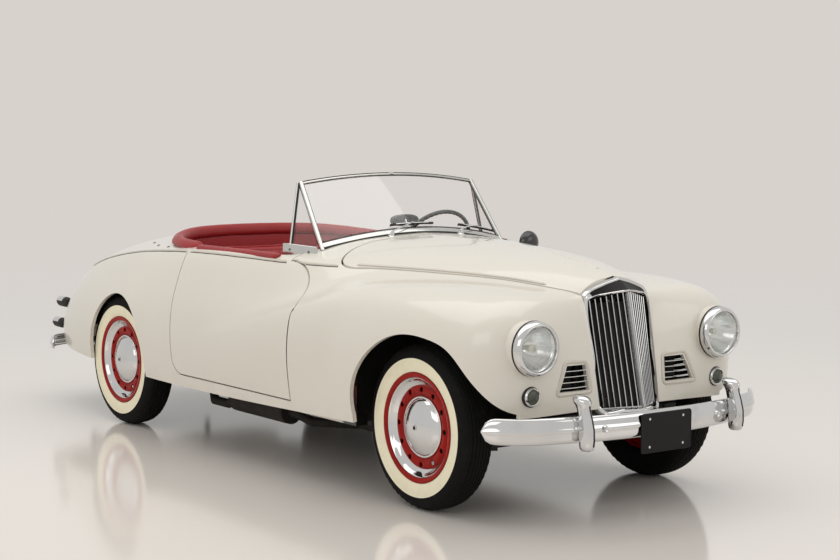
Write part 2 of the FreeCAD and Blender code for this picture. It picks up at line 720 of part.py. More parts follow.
def side_grille_prism(grow):
    """The opening of the right side grille, carried along the car."""
    points = [place(s) for s in SIDE_GRILLE_SHARES]
    middle = sum(points, Vector()) / len(points)
    grown = [p + (p - middle).normalize() * grow for p in points]
    back = Vector(-HEADLAMP_BUCKET_DEPTH, 0, 0)
    return face_of(lines(grown + grown[:1])).extrude(back * 2).translated(back / -1)


def grille_prism():
    """Space for the grille and its hood in the right half of the nose, ahead of the bonnet's end."""
    x = station(BONNET_NOSE_SHARE) - LID_GAP
    top, bottom, ridge_top, ridge_bottom = grille_corners()
    high = 2 * BELT_HEIGHT
    grow = GRILLE_FRAME_WIDTH + SEAT_CLEARANCE
    pairs = [(0, bottom.z - grow), (bottom.y - grow, bottom.z - grow), (top.y - grow, top.z),
             (top.y - grow, high), (0, high)]
    points = [Vector(x, y, z) for y, z in pairs]
    return face_of(lines(points + points[:1])).extrude(Vector(FRONT_OVERHANG, 0, 0))


def half_body(skin, door_cut):
    """Right half of the body skin with its openings cut."""
    cuts = [front_arch(), rear_arch(), door_cut, cockpit_prism()]
    cuts += [bonnet_prism(LID_GAP), boot_lid_prism(LID_GAP)]
    cuts.append(lamp_hole(HEADLAMP_SHARES, HEADLAMP_BUCKET_RADIUS + LAMP_CLEARANCE))
    cuts.append(side_grille_prism(0))
    cuts.append(grille_prism())
    return skin.cut(cuts)


def front_zone():
    """Space ahead of the door's front edge, on the right side."""
    seam_x = station(DOOR_FRONT_SHARES[0][0]) + DOOR_GAP
    post_x = station(DOOR_FRONT_SHARES[-1][0]) + DOOR_GAP
    door_top = DOOR_FRONT_SHARES[-1][1] * BELT_HEIGHT
    ahead = station(-1) + CUT_OVERRUN
    high = 2 * BELT_HEIGHT
    pairs = [(ahead, -CUT_OVERRUN), (ahead, high), (post_x - CUT_OVERRUN / 2, high),
             (post_x - CUT_OVERRUN / 2, door_top), (seam_x, DOOR_FRONT_SHARES[1][1] * BELT_HEIGHT),
             (seam_x, -CUT_OVERRUN)]
    return side_polygon(pairs, -HALF_WIDTH - CUT_OVERRUN, 0)


def hinge_line():
    """Foot of the right door's hinge line."""
    return Vector(station(DOOR_FRONT_SHARES[0][0]) + DOOR_HINGE_LEAD, -DOOR_HINGE_Y, 0)


def door_swing_space():
    """Round room about the hinge line that the wing's rear edge sweeps through the door."""
    foot = hinge_line()
    rims = [foot + Vector(-r * HALF_WIDTH, 0, z * BELT_HEIGHT) for z, r in DOOR_SWING_SHARES]
    low, high = Vector(foot.x, foot.y, rims[0].z), Vector(foot.x, foot.y, rims[-1].z)
    return turned(lines([low] + rims + [high, low]), foot, Vector(0, 0, 1))


def strip(points, width):
    """Flat bar outline of a width along points in the plan, as a closed chain of edges."""
    left, right = [], []
    last = len(points) - 1
    for k, p in enumerate(points):
        along = points[min(k + 1, last)] - points[max(k - 1, 0)]
        out = Vector(-along.y, along.x, 0)
        out.normalize()
        left.append(p + out * width / 2)
        right.append(p - out * width / 2)
    loop = left + right[::-1]
    return lines(loop + loop[:1])


def door_hinge_arms():
    """Arms of the right door's two hinges: a knuckle each, bent inwards and back to the door."""
    foot = hinge_line()
    pieces = []
    tall = Vector(0, 0, HINGE_ARM_HEIGHT)
    for height in DOOR_HINGE_HEIGHTS:
        low = Vector(0, 0, height) - tall / 2
        path = [foot, foot + Vector(0, DOOR_ARM_DEPTH, 0), foot + Vector(-DOOR_ARM_REACH, DOOR_ARM_DEPTH, 0),
                foot + Vector(-DOOR_ARM_REACH, DOOR_ARM_RISE, 0)]
        arms = [face_of(strip(path[k:k + 2], HINGE_ARM_WIDTH)) for k in range(len(path) - 1)]
        arms = [arm.extrude(tall).translated(low) for arm in arms]
        bends = [rod(p + low, p + low + tall, HINGE_ARM_WIDTH / 2) for p in path[1:-1]]
        pieces.append(fused(arms + bends + [rod(foot + low, foot + low + tall, HINGE_KNUCKLE_RADIUS)]))
    reach = Vector(0, 0, BELT_HEIGHT)
    bore = rod(foot, foot + reach, HINGE_PIN_RADIUS + BEARING_CLEARANCE)
    return [piece.cut(bore) for piece in pieces]


def door_hinge_pins():
    """Pins of the right door's hinges with the plates that carry them from the hinge post."""
    foot = hinge_line()
    half = HINGE_ARM_HEIGHT / 2 + HINGE_SIDE_GAP
    r = HINGE_KNUCKLE_RADIUS
    pieces = []
    for height in DOOR_HINGE_HEIGHTS:
        low, high = height - half - HINGE_PLATE, height + half + HINGE_PLATE
        pieces.append(rod(foot + Vector(0, 0, low), foot + Vector(0, 0, high), HINGE_PIN_RADIUS))
        for z in (low, height + half):
            pieces.append(block(foot.x - r, foot.x + POST_LENGTH / 2, foot.y - r, foot.y + HINGE_PLATE_REACH,
                                z, z + HINGE_PLATE))
    return pieces


def lid_axis(edge_share, height_share, side):
    """Right end of a lid's hinge line; side is 1 for a lid that lies ahead of it and -1 behind."""
    return Vector(station(edge_share) - side * LID_HINGE_BACK, -LID_HINGE_Y, height_share * BELT_HEIGHT)


def lid_arm(axis, side):
    """Right hinge arm of a lid: from its knuckle down under the shut line and up to the lid."""
    bends = ((0, 0), (LID_ARM_NEAR, -LID_ARM_DROP), (LID_ARM_FAR, -LID_ARM_DROP), (LID_ARM_END, LID_ARM_RISE))
    path = [axis + Vector(side * along, 0, rise) for along, rise in bends]
    half = Vector(0, HINGE_ARM_WIDTH / 2, 0)
    pieces = [rod(axis - half, axis + half, HINGE_KNUCKLE_RADIUS)]
    for a, b in zip(path, path[1:]):
        along = (b - a).normalize()
        out = Vector(-along.z, 0, along.x) * (HINGE_ARM_WIDTH / 2)
        loop = [Vector(p.x, 0, p.z) for p in (a + out, b + out, b - out, a - out)]
        pieces.append(side_prism(lines(loop + loop[:1]), axis.y - half.y, axis.y + half.y))
    for p in path[1:-1]:
        pieces.append(rod(p - half, p + half, HINGE_ARM_WIDTH / 2))
    return fused(pieces).cut(rod(axis - half * 2, axis + half * 2, HINGE_PIN_RADIUS + BEARING_CLEARANCE))


def lid_pin(axis, panel):
    """Body panel with a lid's hinge pin, the plates that carry it and a recess for the arm."""
    near = Vector(0, HINGE_ARM_WIDTH / 2 + HINGE_SIDE_GAP, 0)
    far = near + Vector(0, HINGE_PLATE, 0)
    r = HINGE_KNUCKLE_RADIUS
    top = axis.z + PANEL_THICKNESS
    recess = rod(axis - near, axis + near, LID_RECESS_RADIUS)
    pieces = [panel.cut(recess), rod(axis - far, axis + far, HINGE_PIN_RADIUS)]
    for y_low, y_high in ((axis.y - far.y, axis.y - near.y), (axis.y + near.y, axis.y + far.y)):
        pieces.append(block(axis.x - r, axis.x + r, y_low, y_high, axis.z - r, top))
    return fused(pieces)


def body_panels():
    """Front body, rear body, doors, bonnet and boot lid."""
    net = body_net()
    skin = sheet(net, PANEL_THICKNESS, True)
    thick = sheet(net, DOOR_THICKNESS, True)
    body = half_body(skin, door_prism(DOOR_GAP))
    zone = front_zone()
    bonnet_axis = lid_axis(BONNET_SHARES[0][0], BONNET_HINGE_HEIGHT_SHARE, 1)
    boot_axis = lid_axis(BOOT_LID_FRONT_SHARE, BOOT_HINGE_HEIGHT_SHARE, -1)
    front = lid_pin(bonnet_axis, body.common(zone))
    rear = lid_pin(boot_axis, body.cut(zone))
    door = thick.common(door_prism(0)).cut([cockpit_prism(), door_swing_space()])
    door = fused([door] + door_hinge_arms())
    bonnet = fused([skin.common(bonnet_prism(0)), lid_arm(bonnet_axis, 1)])
    boot_lid = fused([skin.common(boot_lid_prism(0)), lid_arm(boot_axis, -1)])
    return front, rear, door, bonnet, boot_lid


def door_space():
    """The room the right door takes up, with its gap to what lies inside it."""
    return sheet(body_net(), DOOR_THICKNESS + DOOR_GAP, True)


def chassis_frame():
    """Two rails, their cross members, the spring brackets and the bumper irons."""
    top = [(station(s), z * BELT_HEIGHT) for s, z in RAIL_TOP_SHARES]
    under = [(x, z - RAIL_DEPTH) for x, z in reversed(top)]
    rail = side_polygon(top + under, -RAIL_Y - RAIL_WIDTH / 2, -RAIL_Y + RAIL_WIDTH / 2)
    pieces = [rail, mirrored(rail)]
    for share, height in CROSS_MEMBER_SHARES:
        x, z = station(share), height * BELT_HEIGHT
        pieces.append(block(x - CROSS_MEMBER_WIDTH / 2, x + CROSS_MEMBER_WIDTH / 2, -RAIL_Y, RAIL_Y,
                            z - CROSS_MEMBER_DEPTH, z))
    eye_low = SPRING_TOP + SPRING_CAMBER - SPRING_EYE_RADIUS * 2
    rail_low = RAIL_TOP_SHARES[4][1] * BELT_HEIGHT - RAIL_DEPTH
    front_low = RAIL_TOP_SHARES[3][1] * BELT_HEIGHT - RAIL_DEPTH
    front_eye, rear_eye = REAR_AXLE_X + SPRING_HALF_LENGTH, REAR_AXLE_X - SPRING_HALF_LENGTH
    for side in (-1, 1):
        y_in, y_out = sorted((side * RAIL_Y, side * (SPRING_Y + SPRING_WIDTH / 2)))
        pieces.append(block(front_eye - HANGER_LENGTH / 2, front_eye + HANGER_LENGTH / 2, y_in, y_out,
                            front_low, eye_low))
        pieces.append(block(rear_eye - HANGER_LENGTH / 2, rear_eye + HANGER_LENGTH / 2, y_in, y_out,
                            SPRING_TOP + SPRING_CAMBER, rail_low + RAIL_DEPTH / 2))
        y_low, y_high = side * RAIL_Y - IRON_WIDTH / 2, side * RAIL_Y + IRON_WIDTH / 2
        bumper_z = FRONT_BUMPER_HEIGHT_SHARE * BELT_HEIGHT
        pieces.append(block(station(RAIL_TOP_SHARES[0][0]), station(IRON_FRONT_SHARE), y_low, y_high,
                            bumper_z - IRON_THICKNESS - IRON_WIDTH / 2, bumper_z - IRON_WIDTH / 2))
        rear_z = REAR_BUMPER_HEIGHT_SHARE * BELT_HEIGHT
        tail_z = RAIL_TOP_SHARES[-1][1] * BELT_HEIGHT
        pieces.append(block(station(IRON_REAR_SHARE), station(RAIL_TOP_SHARES[-1][0]), y_low, y_high,
                            rear_z - IRON_DROP, rear_z - IRON_DROP + IRON_THICKNESS))
        pieces.append(block(station(RAIL_TOP_SHARES[-1][0]), station(RAIL_TOP_SHARES[-1][0]) + IRON_WIDTH,
                            y_low, y_high, rear_z - IRON_DROP, tail_z - RAIL_DEPTH / 2))
    return fused(pieces)


def floor_pan():
    """Floor, tunnel, bulkheads, splash panels, wheel houses, seat bases and boot floor."""
    low = RAIL_TOP_SHARES[2][1] * BELT_HEIGHT
    high = RAIL_TOP_SHARES[4][1] * BELT_HEIGHT
    top = low + FLOOR_THICKNESS
    dash_x, heel_x, tail_x = station(BULKHEAD_SHARE), station(HEEL_SHARE), station(BOOT_END_SHARE)
    step_x, back_x = station(TUNNEL_STEP_SHARE), station(REAR_BULKHEAD_SHARE)
    t = FLOOR_THICKNESS
    wing_top = SPLASH_TOP_SHARE * BELT_HEIGHT
    pieces = [
        block(heel_x, dash_x, -FLOOR_HALF_WIDTH, FLOOR_HALF_WIDTH, low, top),
        block(dash_x - t, dash_x, -FLOOR_HALF_WIDTH, FLOOR_HALF_WIDTH, low, wing_top),
        block(dash_x - t, dash_x, -BULKHEAD_TOP_HALF_WIDTH, BULKHEAD_TOP_HALF_WIDTH,
              low, BULKHEAD_TOP_SHARE * BELT_HEIGHT),
        block(heel_x - t, heel_x, -FLOOR_HALF_WIDTH, FLOOR_HALF_WIDTH, low, high + t),
        block(tail_x, heel_x, -WHEELHOUSE_INNER_Y, WHEELHOUSE_INNER_Y, high, high + t),
        block(back_x - t, back_x, -WHEELHOUSE_INNER_Y, WHEELHOUSE_INNER_Y,
              high, REAR_BULKHEAD_TOP_SHARE * BELT_HEIGHT),
    ]
    for x_low, x_high, rise in ((step_x, dash_x, TUNNEL_HEIGHT), (heel_x, step_x, SHAFT_TUNNEL_HEIGHT)):
        pieces.append(block(x_low, x_high, -TUNNEL_WIDTH / 2, TUNNEL_WIDTH / 2, low, low + rise))
    for side in (-1, 1):
        y_low, y_high = sorted((side * INNER_WING_Y, side * (INNER_WING_Y - t)))
        nose_x = station(SPLASH_END_SHARE)
        splash = [(dash_x, top), (nose_x, top), (nose_x, wing_top * SPLASH_NOSE_SHARE),
                  (station(SPLASH_BEND_SHARE), wing_top), (dash_x, wing_top)]
        pieces.append(side_polygon(splash, y_low, y_high))
        y_low, y_high = sorted((side * SEAT_BASE_INNER_Y, side * SEAT_BASE_OUTER_Y))
        seat_x = station(FRONT_SEAT_STATION_SHARE)
        base_x = seat_x - SEAT_CUSHION_LENGTH * SEAT_BASE_SHARE
        pieces.append(block(base_x, seat_x - SEAT_EDGE_RADIUS, y_low, y_high, top, top + SEAT_BASE_HEIGHT))
        pieces.append(wheelhouse(side, high))
    solid = fused(pieces)
    hollow = []
    inner = TUNNEL_WIDTH / 2 - t
    tunnels = ((step_x + t, dash_x + t, TUNNEL_HEIGHT), (heel_x - 2 * t, step_x + 2 * t, SHAFT_TUNNEL_HEIGHT))
    for x_low, x_high, rise in tunnels:
        hollow.append(block(x_low, x_high, -inner, inner, low - t, low + rise - t))
    notch = WISHBONE_BASE + NOTCH_MARGIN
    arm_top = AXLE_Z + KNUCKLE_HEIGHT / 2 + PIN_GAP + WISHBONE_HEIGHT + NOTCH_MARGIN
    wide = FLOOR_HALF_WIDTH
    hollow.append(block(FRONT_AXLE_X - notch, FRONT_AXLE_X + notch, -wide, wide, 0, arm_top))
    for side in (-1, 1):
        y_middle, half = side * SPRING_Y, SPRING_WIDTH / 2 + NOTCH_MARGIN
        hollow.append(block(heel_x - 2 * t, heel_x + t, y_middle - half, y_middle + half,
                            0, SPRING_TOP + SPRING_CAMBER + NOTCH_MARGIN))
    hollow.append(chassis_frame())
    return solid.cut(hollow).removeSplitter()


def wheelhouse(side, floor_z):
    """Half tube over a rear wheel, with its inner wall."""
    y_in = side * WHEELHOUSE_INNER_Y
    y_out = side * WHEELHOUSE_OUTER_Y
    centre = Vector(REAR_AXLE_X, 0, AXLE_Z)
    t = FLOOR_THICKNESS
    wall = Vector(0, side * t, 0)
    start, end = Vector(REAR_AXLE_X, y_in, AXLE_Z), Vector(REAR_AXLE_X, y_out, AXLE_Z)
    outer = rod(start, end, WHEELHOUSE_RADIUS)
    inner = rod(start + wall, end + wall, WHEELHOUSE_RADIUS - t)
    y_low, y_high = sorted((y_in - side * t, y_out + side * t))
    reach = WHEELHOUSE_RADIUS + t
    below = block(centre.x - reach, centre.x + reach, y_low, y_high, -reach, floor_z)
    return outer.cut([inner, below])


def sills_and_posts():
    """Sill boxes under the doors with the hinge and latch posts that stand on them."""
    sill = block(station(SILL_END_SHARE), station(SILL_START_SHARE), -SILL_OUTER_Y, -FLOOR_HALF_WIDTH,
                 RAIL_TOP_SHARES[2][1] * BELT_HEIGHT, DOOR_BOTTOM_SHARE * BELT_HEIGHT - DOOR_GAP)
    pieces = [sill]
    hinge_x = hinge_line().x + HINGE_POST_GAP
    latch_x = station(DOOR_REAR_SHARE) - DOOR_GAP
    foot = DOOR_BOTTOM_SHARE * BELT_HEIGHT - DOOR_GAP
    head = POST_TOP_SHARE * BELT_HEIGHT
    for x_near, y_top in ((hinge_x, HINGE_POST_TOP_Y), (latch_x - POST_LENGTH, LATCH_POST_TOP_Y)):
        near, far = [], []
        x_far = x_near + POST_LENGTH
        for x, y in ((x_near, 0), (x_far, 0), (x_far, 1), (x_near, 1)):
            near.append(Vector(x, -FLOOR_HALF_WIDTH - y * (SILL_OUTER_Y - FLOOR_HALF_WIDTH), foot))
            far.append(Vector(x, -y_top - y * POST_TOP_DEPTH, head))
        pieces.append(loop_solid(near, far))
    return fused(pieces + door_hinge_pins())


def engine_block():
    """Plain block for the closed engine."""
    x_back = station(BULKHEAD_SHARE) + ENGINE_CLEARANCE
    bottom = RAIL_TOP_SHARES[0][1] * BELT_HEIGHT - RAIL_DEPTH
    return block(x_back, x_back + ENGINE_LENGTH, -ENGINE_WIDTH / 2, ENGINE_WIDTH / 2, bottom, ENGINE_TOP)


def radiator():
    """Radiator core behind the grille."""
    x_back = station(RADIATOR_SHARE)
    bottom = CROSS_MEMBER_SHARES[0][1] * BELT_HEIGHT
    return block(x_back, x_back + RADIATOR_DEPTH, -RADIATOR_WIDTH / 2, RADIATOR_WIDTH / 2,
                 bottom, bottom + RADIATOR_HEIGHT)


def driveline():
    """Gearbox behind the engine and the shaft back to the rear axle."""
    start = Vector(station(BULKHEAD_SHARE) + ENGINE_CLEARANCE, 0, GEARBOX_HEIGHT)
    middle = start - Vector(GEARBOX_LENGTH, 0, 0)
    end = Vector(REAR_AXLE_X + DIFFERENTIAL_RADIUS, 0, AXLE_Z)
    box = rod(start, middle, GEARBOX_RADIUS)
    return fused([box, rod(middle, Vector(end.x, 0, GEARBOX_HEIGHT), SHAFT_RADIUS)])


def bent_pipe(points, radius):
    """Round pipe through points with ball corners."""
    pieces = [rod(a, b, radius) for a, b in zip(points, points[1:])]
    pieces += [Part.makeSphere(radius, p) for p in points[1:-1]]
    return fused(pieces)


def exhaust_system():
    """Exhaust pipe, silencer and tail pipe along the right side."""
    points = [Vector(station(s), -y * HALF_WIDTH, z * BELT_HEIGHT) for s, y, z in EXHAUST_SHARES]
    middle = (points[SILENCER_RUN] + points[SILENCER_RUN + 1]) / 2
    along = (points[SILENCER_RUN + 1] - points[SILENCER_RUN]).normalize() * (SILENCER_LENGTH / 2)
    return fused([bent_pipe(points, EXHAUST_RADIUS), rod(middle - along, middle + along, SILENCER_RADIUS)])


def fuel_tank():
    """Tank under the boot floor, between the rails."""
    x_front = station(TANK_SHARE)
    z_top = RAIL_TOP_SHARES[4][1] * BELT_HEIGHT - CROSS_MEMBER_DEPTH
    return block(x_front - TANK_LENGTH, x_front, -TANK_WIDTH / 2, TANK_WIDTH / 2, z_top - TANK_DEPTH, z_top)


def wishbone(low):
    """Triangular arm from the crossmember out to the right kingpin."""
    points = [Vector(FRONT_AXLE_X + WISHBONE_BASE, -ARM_INNER_Y, low),
              Vector(FRONT_AXLE_X + KNUCKLE_RADIUS, -KINGPIN_Y - KNUCKLE_RADIUS / 2, low),
              Vector(FRONT_AXLE_X - KNUCKLE_RADIUS, -KINGPIN_Y - KNUCKLE_RADIUS / 2, low),
              Vector(FRONT_AXLE_X - WISHBONE_BASE, -ARM_INNER_Y, low)]
    return face_of(lines(points + points[:1])).extrude(Vector(0, 0, WISHBONE_HEIGHT))


def coil_spring(bottom, height):
    """Spring and damper as one turned body whose waves follow the coils."""
    points = [Vector(0, 0, 0)]
    steps = 2 * COIL_TURNS
    for k in range(steps + 1):
        radius = COIL_RADIUS - (COIL_WIRE if k % 2 else 0)
        points.append(Vector(radius, 0, height * k / steps))
    points.append(Vector(0, 0, height))
    body = turned(lines(points + points[:1]), Vector(0, 0, 0), Vector(0, 0, 1))
    body.translate(bottom)
    return body


def front_suspension():
    """Crossmember, wishbones, kingpins and springs that carry both front knuckles."""
    low_arm = AXLE_Z - KNUCKLE_HEIGHT / 2 - PIN_GAP - WISHBONE_HEIGHT
    high_arm = AXLE_Z + KNUCKLE_HEIGHT / 2 + PIN_GAP
    rail_low = RAIL_TOP_SHARES[0][1] * BELT_HEIGHT - RAIL_DEPTH
    x_back, x_front = FRONT_AXLE_X - CROSS_MEMBER_WIDTH, FRONT_AXLE_X + CROSS_MEMBER_WIDTH
    cross = block(x_back, x_front, -ARM_INNER_Y, ARM_INNER_Y, low_arm, rail_low)
    y_rail = -RAIL_Y - RAIL_WIDTH / 2
    seat_z = high_arm - PIN_GAP * 2 - SPRING_SEAT
    seat = block(FRONT_AXLE_X - COIL_RADIUS, FRONT_AXLE_X + COIL_RADIUS, -COIL_Y - COIL_RADIUS, y_rail,
                 seat_z, seat_z + SPRING_SEAT)
    mount = block(FRONT_AXLE_X - WISHBONE_BASE, FRONT_AXLE_X + WISHBONE_BASE, -ARM_INNER_Y, y_rail,
                  rail_low, high_arm + WISHBONE_HEIGHT)
    pin_foot = Vector(FRONT_AXLE_X, -KINGPIN_Y, low_arm)
    pin = rod(pin_foot, pin_foot + Vector(0, 0, high_arm + WISHBONE_HEIGHT - low_arm), KINGPIN_RADIUS)
    spring_low = Vector(FRONT_AXLE_X, -COIL_Y, low_arm + WISHBONE_HEIGHT)
    spring = coil_spring(spring_low, seat_z - spring_low.z)
    half = fused([wishbone(low_arm), wishbone(high_arm), seat, mount, pin, spring])
    return fused([cross, half, mirrored(half)])


def knuckle():
    """Right front knuckle: kingpin barrel, back plate and stub axle."""
    pivot = Vector(FRONT_AXLE_X, -KINGPIN_Y, AXLE_Z)
    half = Vector(0, 0, KNUCKLE_HEIGHT / 2)
    wheel = Vector(FRONT_AXLE_X, -FRONT_WHEEL_Y, AXLE_Z)
    plate_in = wheel + Vector(0, DRUM_INSET + RUNNING_GAP + BACK_PLATE, 0)
    barrel = rod(pivot - half, pivot + half, KNUCKLE_RADIUS)
    plate = rod(plate_in, plate_in - Vector(0, BACK_PLATE, 0), DRUM_RADIUS - RUNNING_GAP)
    stub = rod(pivot, wheel - Vector(0, STUB_REACH, 0), STUB_RADIUS)
    boss = rod(pivot, plate_in, KNUCKLE_RADIUS)
    bore = rod(pivot - half * 2, pivot + half * 2, KINGPIN_RADIUS + BEARING_CLEARANCE)
    return fused([barrel, plate, stub, boss]).cut(bore)


def leaf_spring():
    """Right rear spring: leaves bent to one camber, each shorter than the one above, with rolled eyes."""
    pieces = []
    rise_rate = SPRING_CAMBER / SPRING_HALF_LENGTH ** 2
    for k in range(SPRING_LEAVES):
        reach = SPRING_HALF_LENGTH * (1 - k / (SPRING_LEAVES + 1))
        lift = rise_rate * reach ** 2
        top = SPRING_TOP - k * SPRING_LEAF
        ends = []
        for drop in (0, SPRING_LEAF):
            left = Vector(REAR_AXLE_X - reach, 0, top + lift - drop)
            right = Vector(REAR_AXLE_X + reach, 0, top + lift - drop)
            ends.append((left, Part.Arc(left, Vector(REAR_AXLE_X, 0, top - drop), right).toShape(), right))
        upper, lower = ends
        edges = [upper[1], lower[1]] + lines([upper[0], lower[0]]) + lines([upper[2], lower[2]])
        pieces.append(side_prism(edges, -SPRING_Y - SPRING_WIDTH / 2, -SPRING_Y + SPRING_WIDTH / 2))
    eye_z = SPRING_TOP + SPRING_CAMBER - SPRING_EYE_RADIUS
    for x in (REAR_AXLE_X - SPRING_HALF_LENGTH, REAR_AXLE_X + SPRING_HALF_LENGTH):
        eye = Vector(x, -SPRING_Y, eye_z)
        half = Vector(0, SPRING_WIDTH / 2, 0)
        pieces.append(rod(eye - half, eye + half, SPRING_EYE_RADIUS))
    return fused(pieces)


def rear_axle():
    """Axle tube with its differential, back plates, stub axles and leaf springs."""
    centre = Vector(REAR_AXLE_X, 0, AXLE_Z)
    plate_y = REAR_WHEEL_Y - DRUM_INSET - RUNNING_GAP - BACK_PLATE
    half = []
    half.append(rod(centre, centre - Vector(0, plate_y, 0), AXLE_TUBE_RADIUS))
    half.append(rod(centre - Vector(0, plate_y, 0), centre - Vector(0, plate_y + BACK_PLATE, 0),
                    DRUM_RADIUS - RUNNING_GAP))
    half.append(rod(centre, centre - Vector(0, REAR_WHEEL_Y + STUB_REACH, 0), STUB_RADIUS))
    saddle_x = AXLE_TUBE_RADIUS
    half.append(block(REAR_AXLE_X - saddle_x, REAR_AXLE_X + saddle_x, -SPRING_Y - SPRING_WIDTH / 2,
                      -SPRING_Y + SPRING_WIDTH / 2, SPRING_TOP - SPRING_LEAF, AXLE_Z))
    half.append(leaf_spring())
    solid = fused(half)
    return fused([solid, mirrored(solid), Part.makeSphere(DIFFERENTIAL_RADIUS, centre)])


def tyre(centre):
    """Hollow tyre on its rim, turned about the wheel axis."""
    outer_pairs = [(r * TYRE_RADIUS, w * TYRE_WIDTH / 2) for r, w in TYRE_OUTLINE_SHARES]
    outer_pairs = [(BEAD_RADIUS, RIM_WIDTH / 2 - RIM_METAL * 2)] + outer_pairs
    outer = outer_pairs + [(r, -w) for r, w in reversed(outer_pairs)][1:]
    outer = [centre + Vector(r, w, 0) for r, w in outer]
    skin = curve(outer)
    t = TYRE_WALL
    side = TYRE_WIDTH / 2 - t
    inner_pairs = [(BEAD_RADIUS, outer_pairs[0][1] - t), (BEAD_RADIUS + t * 2, side),
                   (TYRE_RADIUS - t * 3, side), (TYRE_RADIUS - t, TYRE_WIDTH / 4)]
    inner = inner_pairs + [(r, -w) for r, w in reversed(inner_pairs)]
    lining = [centre + Vector(r, w, 0) for r, w in inner]
    edges = [skin] + lines(outer[:1] + lining + outer[-1:])
    return turned(edges, centre, Vector(0, 1, 0)).cut(rim(centre))


def rim(centre):
    """Rolled steel rim."""
    edge = RIM_WIDTH / 2
    flange = [(RIM_FLANGE_RADIUS, edge), (BEAD_RADIUS, edge - RIM_METAL),
              (BEAD_RADIUS, edge * RIM_SEAT_SHARE), (RIM_WELL_RADIUS, edge * RIM_WELL_SHARE)]
    under = [(r - RIM_METAL, a + RIM_METAL / 2) for r, a in flange[1:]]
    under = [(RIM_FLANGE_RADIUS - RIM_METAL, edge)] + under
    rim_outer = flange + [(r, -a) for r, a in flange[::-1]]
    rim_inner = under + [(r, -a) for r, a in under[::-1]]
    return turned_y(rim_outer + rim_inner[::-1], centre)


def wheel(centre, side):
    """Rim, pierced disc, brake drum, hub and hub cap; side is -1 on the right of the car."""
    def spun(pairs):
        return turned_y([(r, side * a) for r, a in pairs], centre)
    hub_face = DRUM_DEPTH - DRUM_INSET
    ridge = hub_face + DISC_DISH / 2
    flat, half_ridge = hub_face + RIM_METAL, DISC_RIDGE_WIDTH / 2
    disc_out = [(STUB_RADIUS * 2, flat), (HUB_CAP_RADIUS * HUB_CAP_SEAT_SHARE, flat),
                (DISC_HOLE_RING - half_ridge, ridge), (DISC_HOLE_RING + half_ridge, ridge),
                (RIM_WELL_RADIUS - RIM_METAL / 2, hub_face - RIM_METAL)]
    disc_in = [(r, a - RIM_METAL) for r, a in disc_out]
    disc = spun(disc_out + disc_in[::-1])
    holes = []
    for k in range(DISC_HOLES):
        angle = 2 * math.pi * k / DISC_HOLES
        at = centre + Vector(DISC_HOLE_RING * math.cos(angle), 0, DISC_HOLE_RING * math.sin(angle))
        reach = Vector(0, RIM_WIDTH, 0)
        holes.append(rod(at - reach, at + reach, DISC_HOLE_RADIUS))
    disc = disc.cut(holes)
    wall = DRUM_WALL
    drum = spun([(STUB_RADIUS * 2, hub_face), (DRUM_RADIUS, hub_face), (DRUM_RADIUS, -DRUM_INSET),
                 (DRUM_RADIUS - wall, -DRUM_INSET), (DRUM_RADIUS - wall, hub_face - wall),
                 (STUB_RADIUS * 2, hub_face - wall)])
    bore = STUB_RADIUS + BEARING_CLEARANCE
    hub_back = RUNNING_GAP - DRUM_INSET
    hub = spun([(bore, hub_back), (HUB_RADIUS, hub_back), (HUB_RADIUS, HUB_REACH), (bore, HUB_REACH)])
    cap_out = [(HUB_CAP_RADIUS * r, hub_face + HUB_CAP_HEIGHT * a) for r, a in HUB_CAP_SHARES]
    cap_in = [(max(r - RIM_METAL, 0), a - RIM_METAL) for r, a in cap_out[:-1]]
    cap = spun(cap_out + [(cap_out[-1][0] - RIM_METAL, cap_out[-1][1])] + cap_in[::-1])
    return fused([rim(centre), disc, drum, hub, cap])


def grille_corners():
    """The grille's four corners on the right half: side top, side bottom, ridge top and ridge bottom."""
    return [place(s) for s in (GRILLE_CORNER_TOP_SHARES, GRILLE_CORNER_BOTTOM_SHARES,
                               GRILLE_RIDGE_TOP_SHARES, GRILLE_RIDGE_BOTTOM_SHARES)]


def grille_surround():
    """Chrome shell: side rails, sill and a hood that rises to a peak."""
    top, bottom, ridge_top, ridge_bottom = grille_corners()
    peak = place(GRILLE_PEAK_SHARES)
    back = Vector(-GRILLE_SHELL_DEPTH, 0, 0)
    wide = Vector(0, -GRILLE_FRAME_WIDTH, 0)
    rise = Vector(0, 0, GRILLE_FRAME_WIDTH)
    across = (Vector(), wide, wide + back, back)
    rail = loop_solid([bottom - rise + a for a in across], [top + rise + a for a in across])
    corner = bottom + wide
    sill = loop_solid([ridge_bottom - rise, ridge_bottom, ridge_bottom + back, ridge_bottom - rise + back],
                      [corner - rise, corner, corner + back, corner - rise + back])
    crown = peak - Vector(0, GRILLE_CROWN_SHARE * top.y * -1, GRILLE_FRAME_WIDTH)
    hood = loop_solid([ridge_top, ridge_top + rise, peak, peak + back / 2, ridge_top + back],
                      [crown_point(top, ridge_top, 0), crown_point(top, ridge_top, rise.z), crown,
                       crown + back / 2, crown_point(top, ridge_top, 0) + back])
    shoulder = top + rise / 2
    cheek = loop_solid([crown_point(top, ridge_top, 0), crown_point(top, ridge_top, rise.z), crown,
                        crown + back / 2, crown_point(top, ridge_top, 0) + back],
                       [top, shoulder, shoulder + wide, shoulder + wide + back / 2, top + back])
    half = fused([rail, sill, hood, cheek])
    behind = station(BONNET_NOSE_SHARE) + LID_GAP
    step = block(behind - GRILLE_SHELL_DEPTH * 2, behind, -HALF_WIDTH, HALF_WIDTH,
                 GRILLE_STEP_SHARE * BELT_HEIGHT, 2 * BELT_HEIGHT)
    half = half.cut(step)
    return fused([half, mirrored(half)])


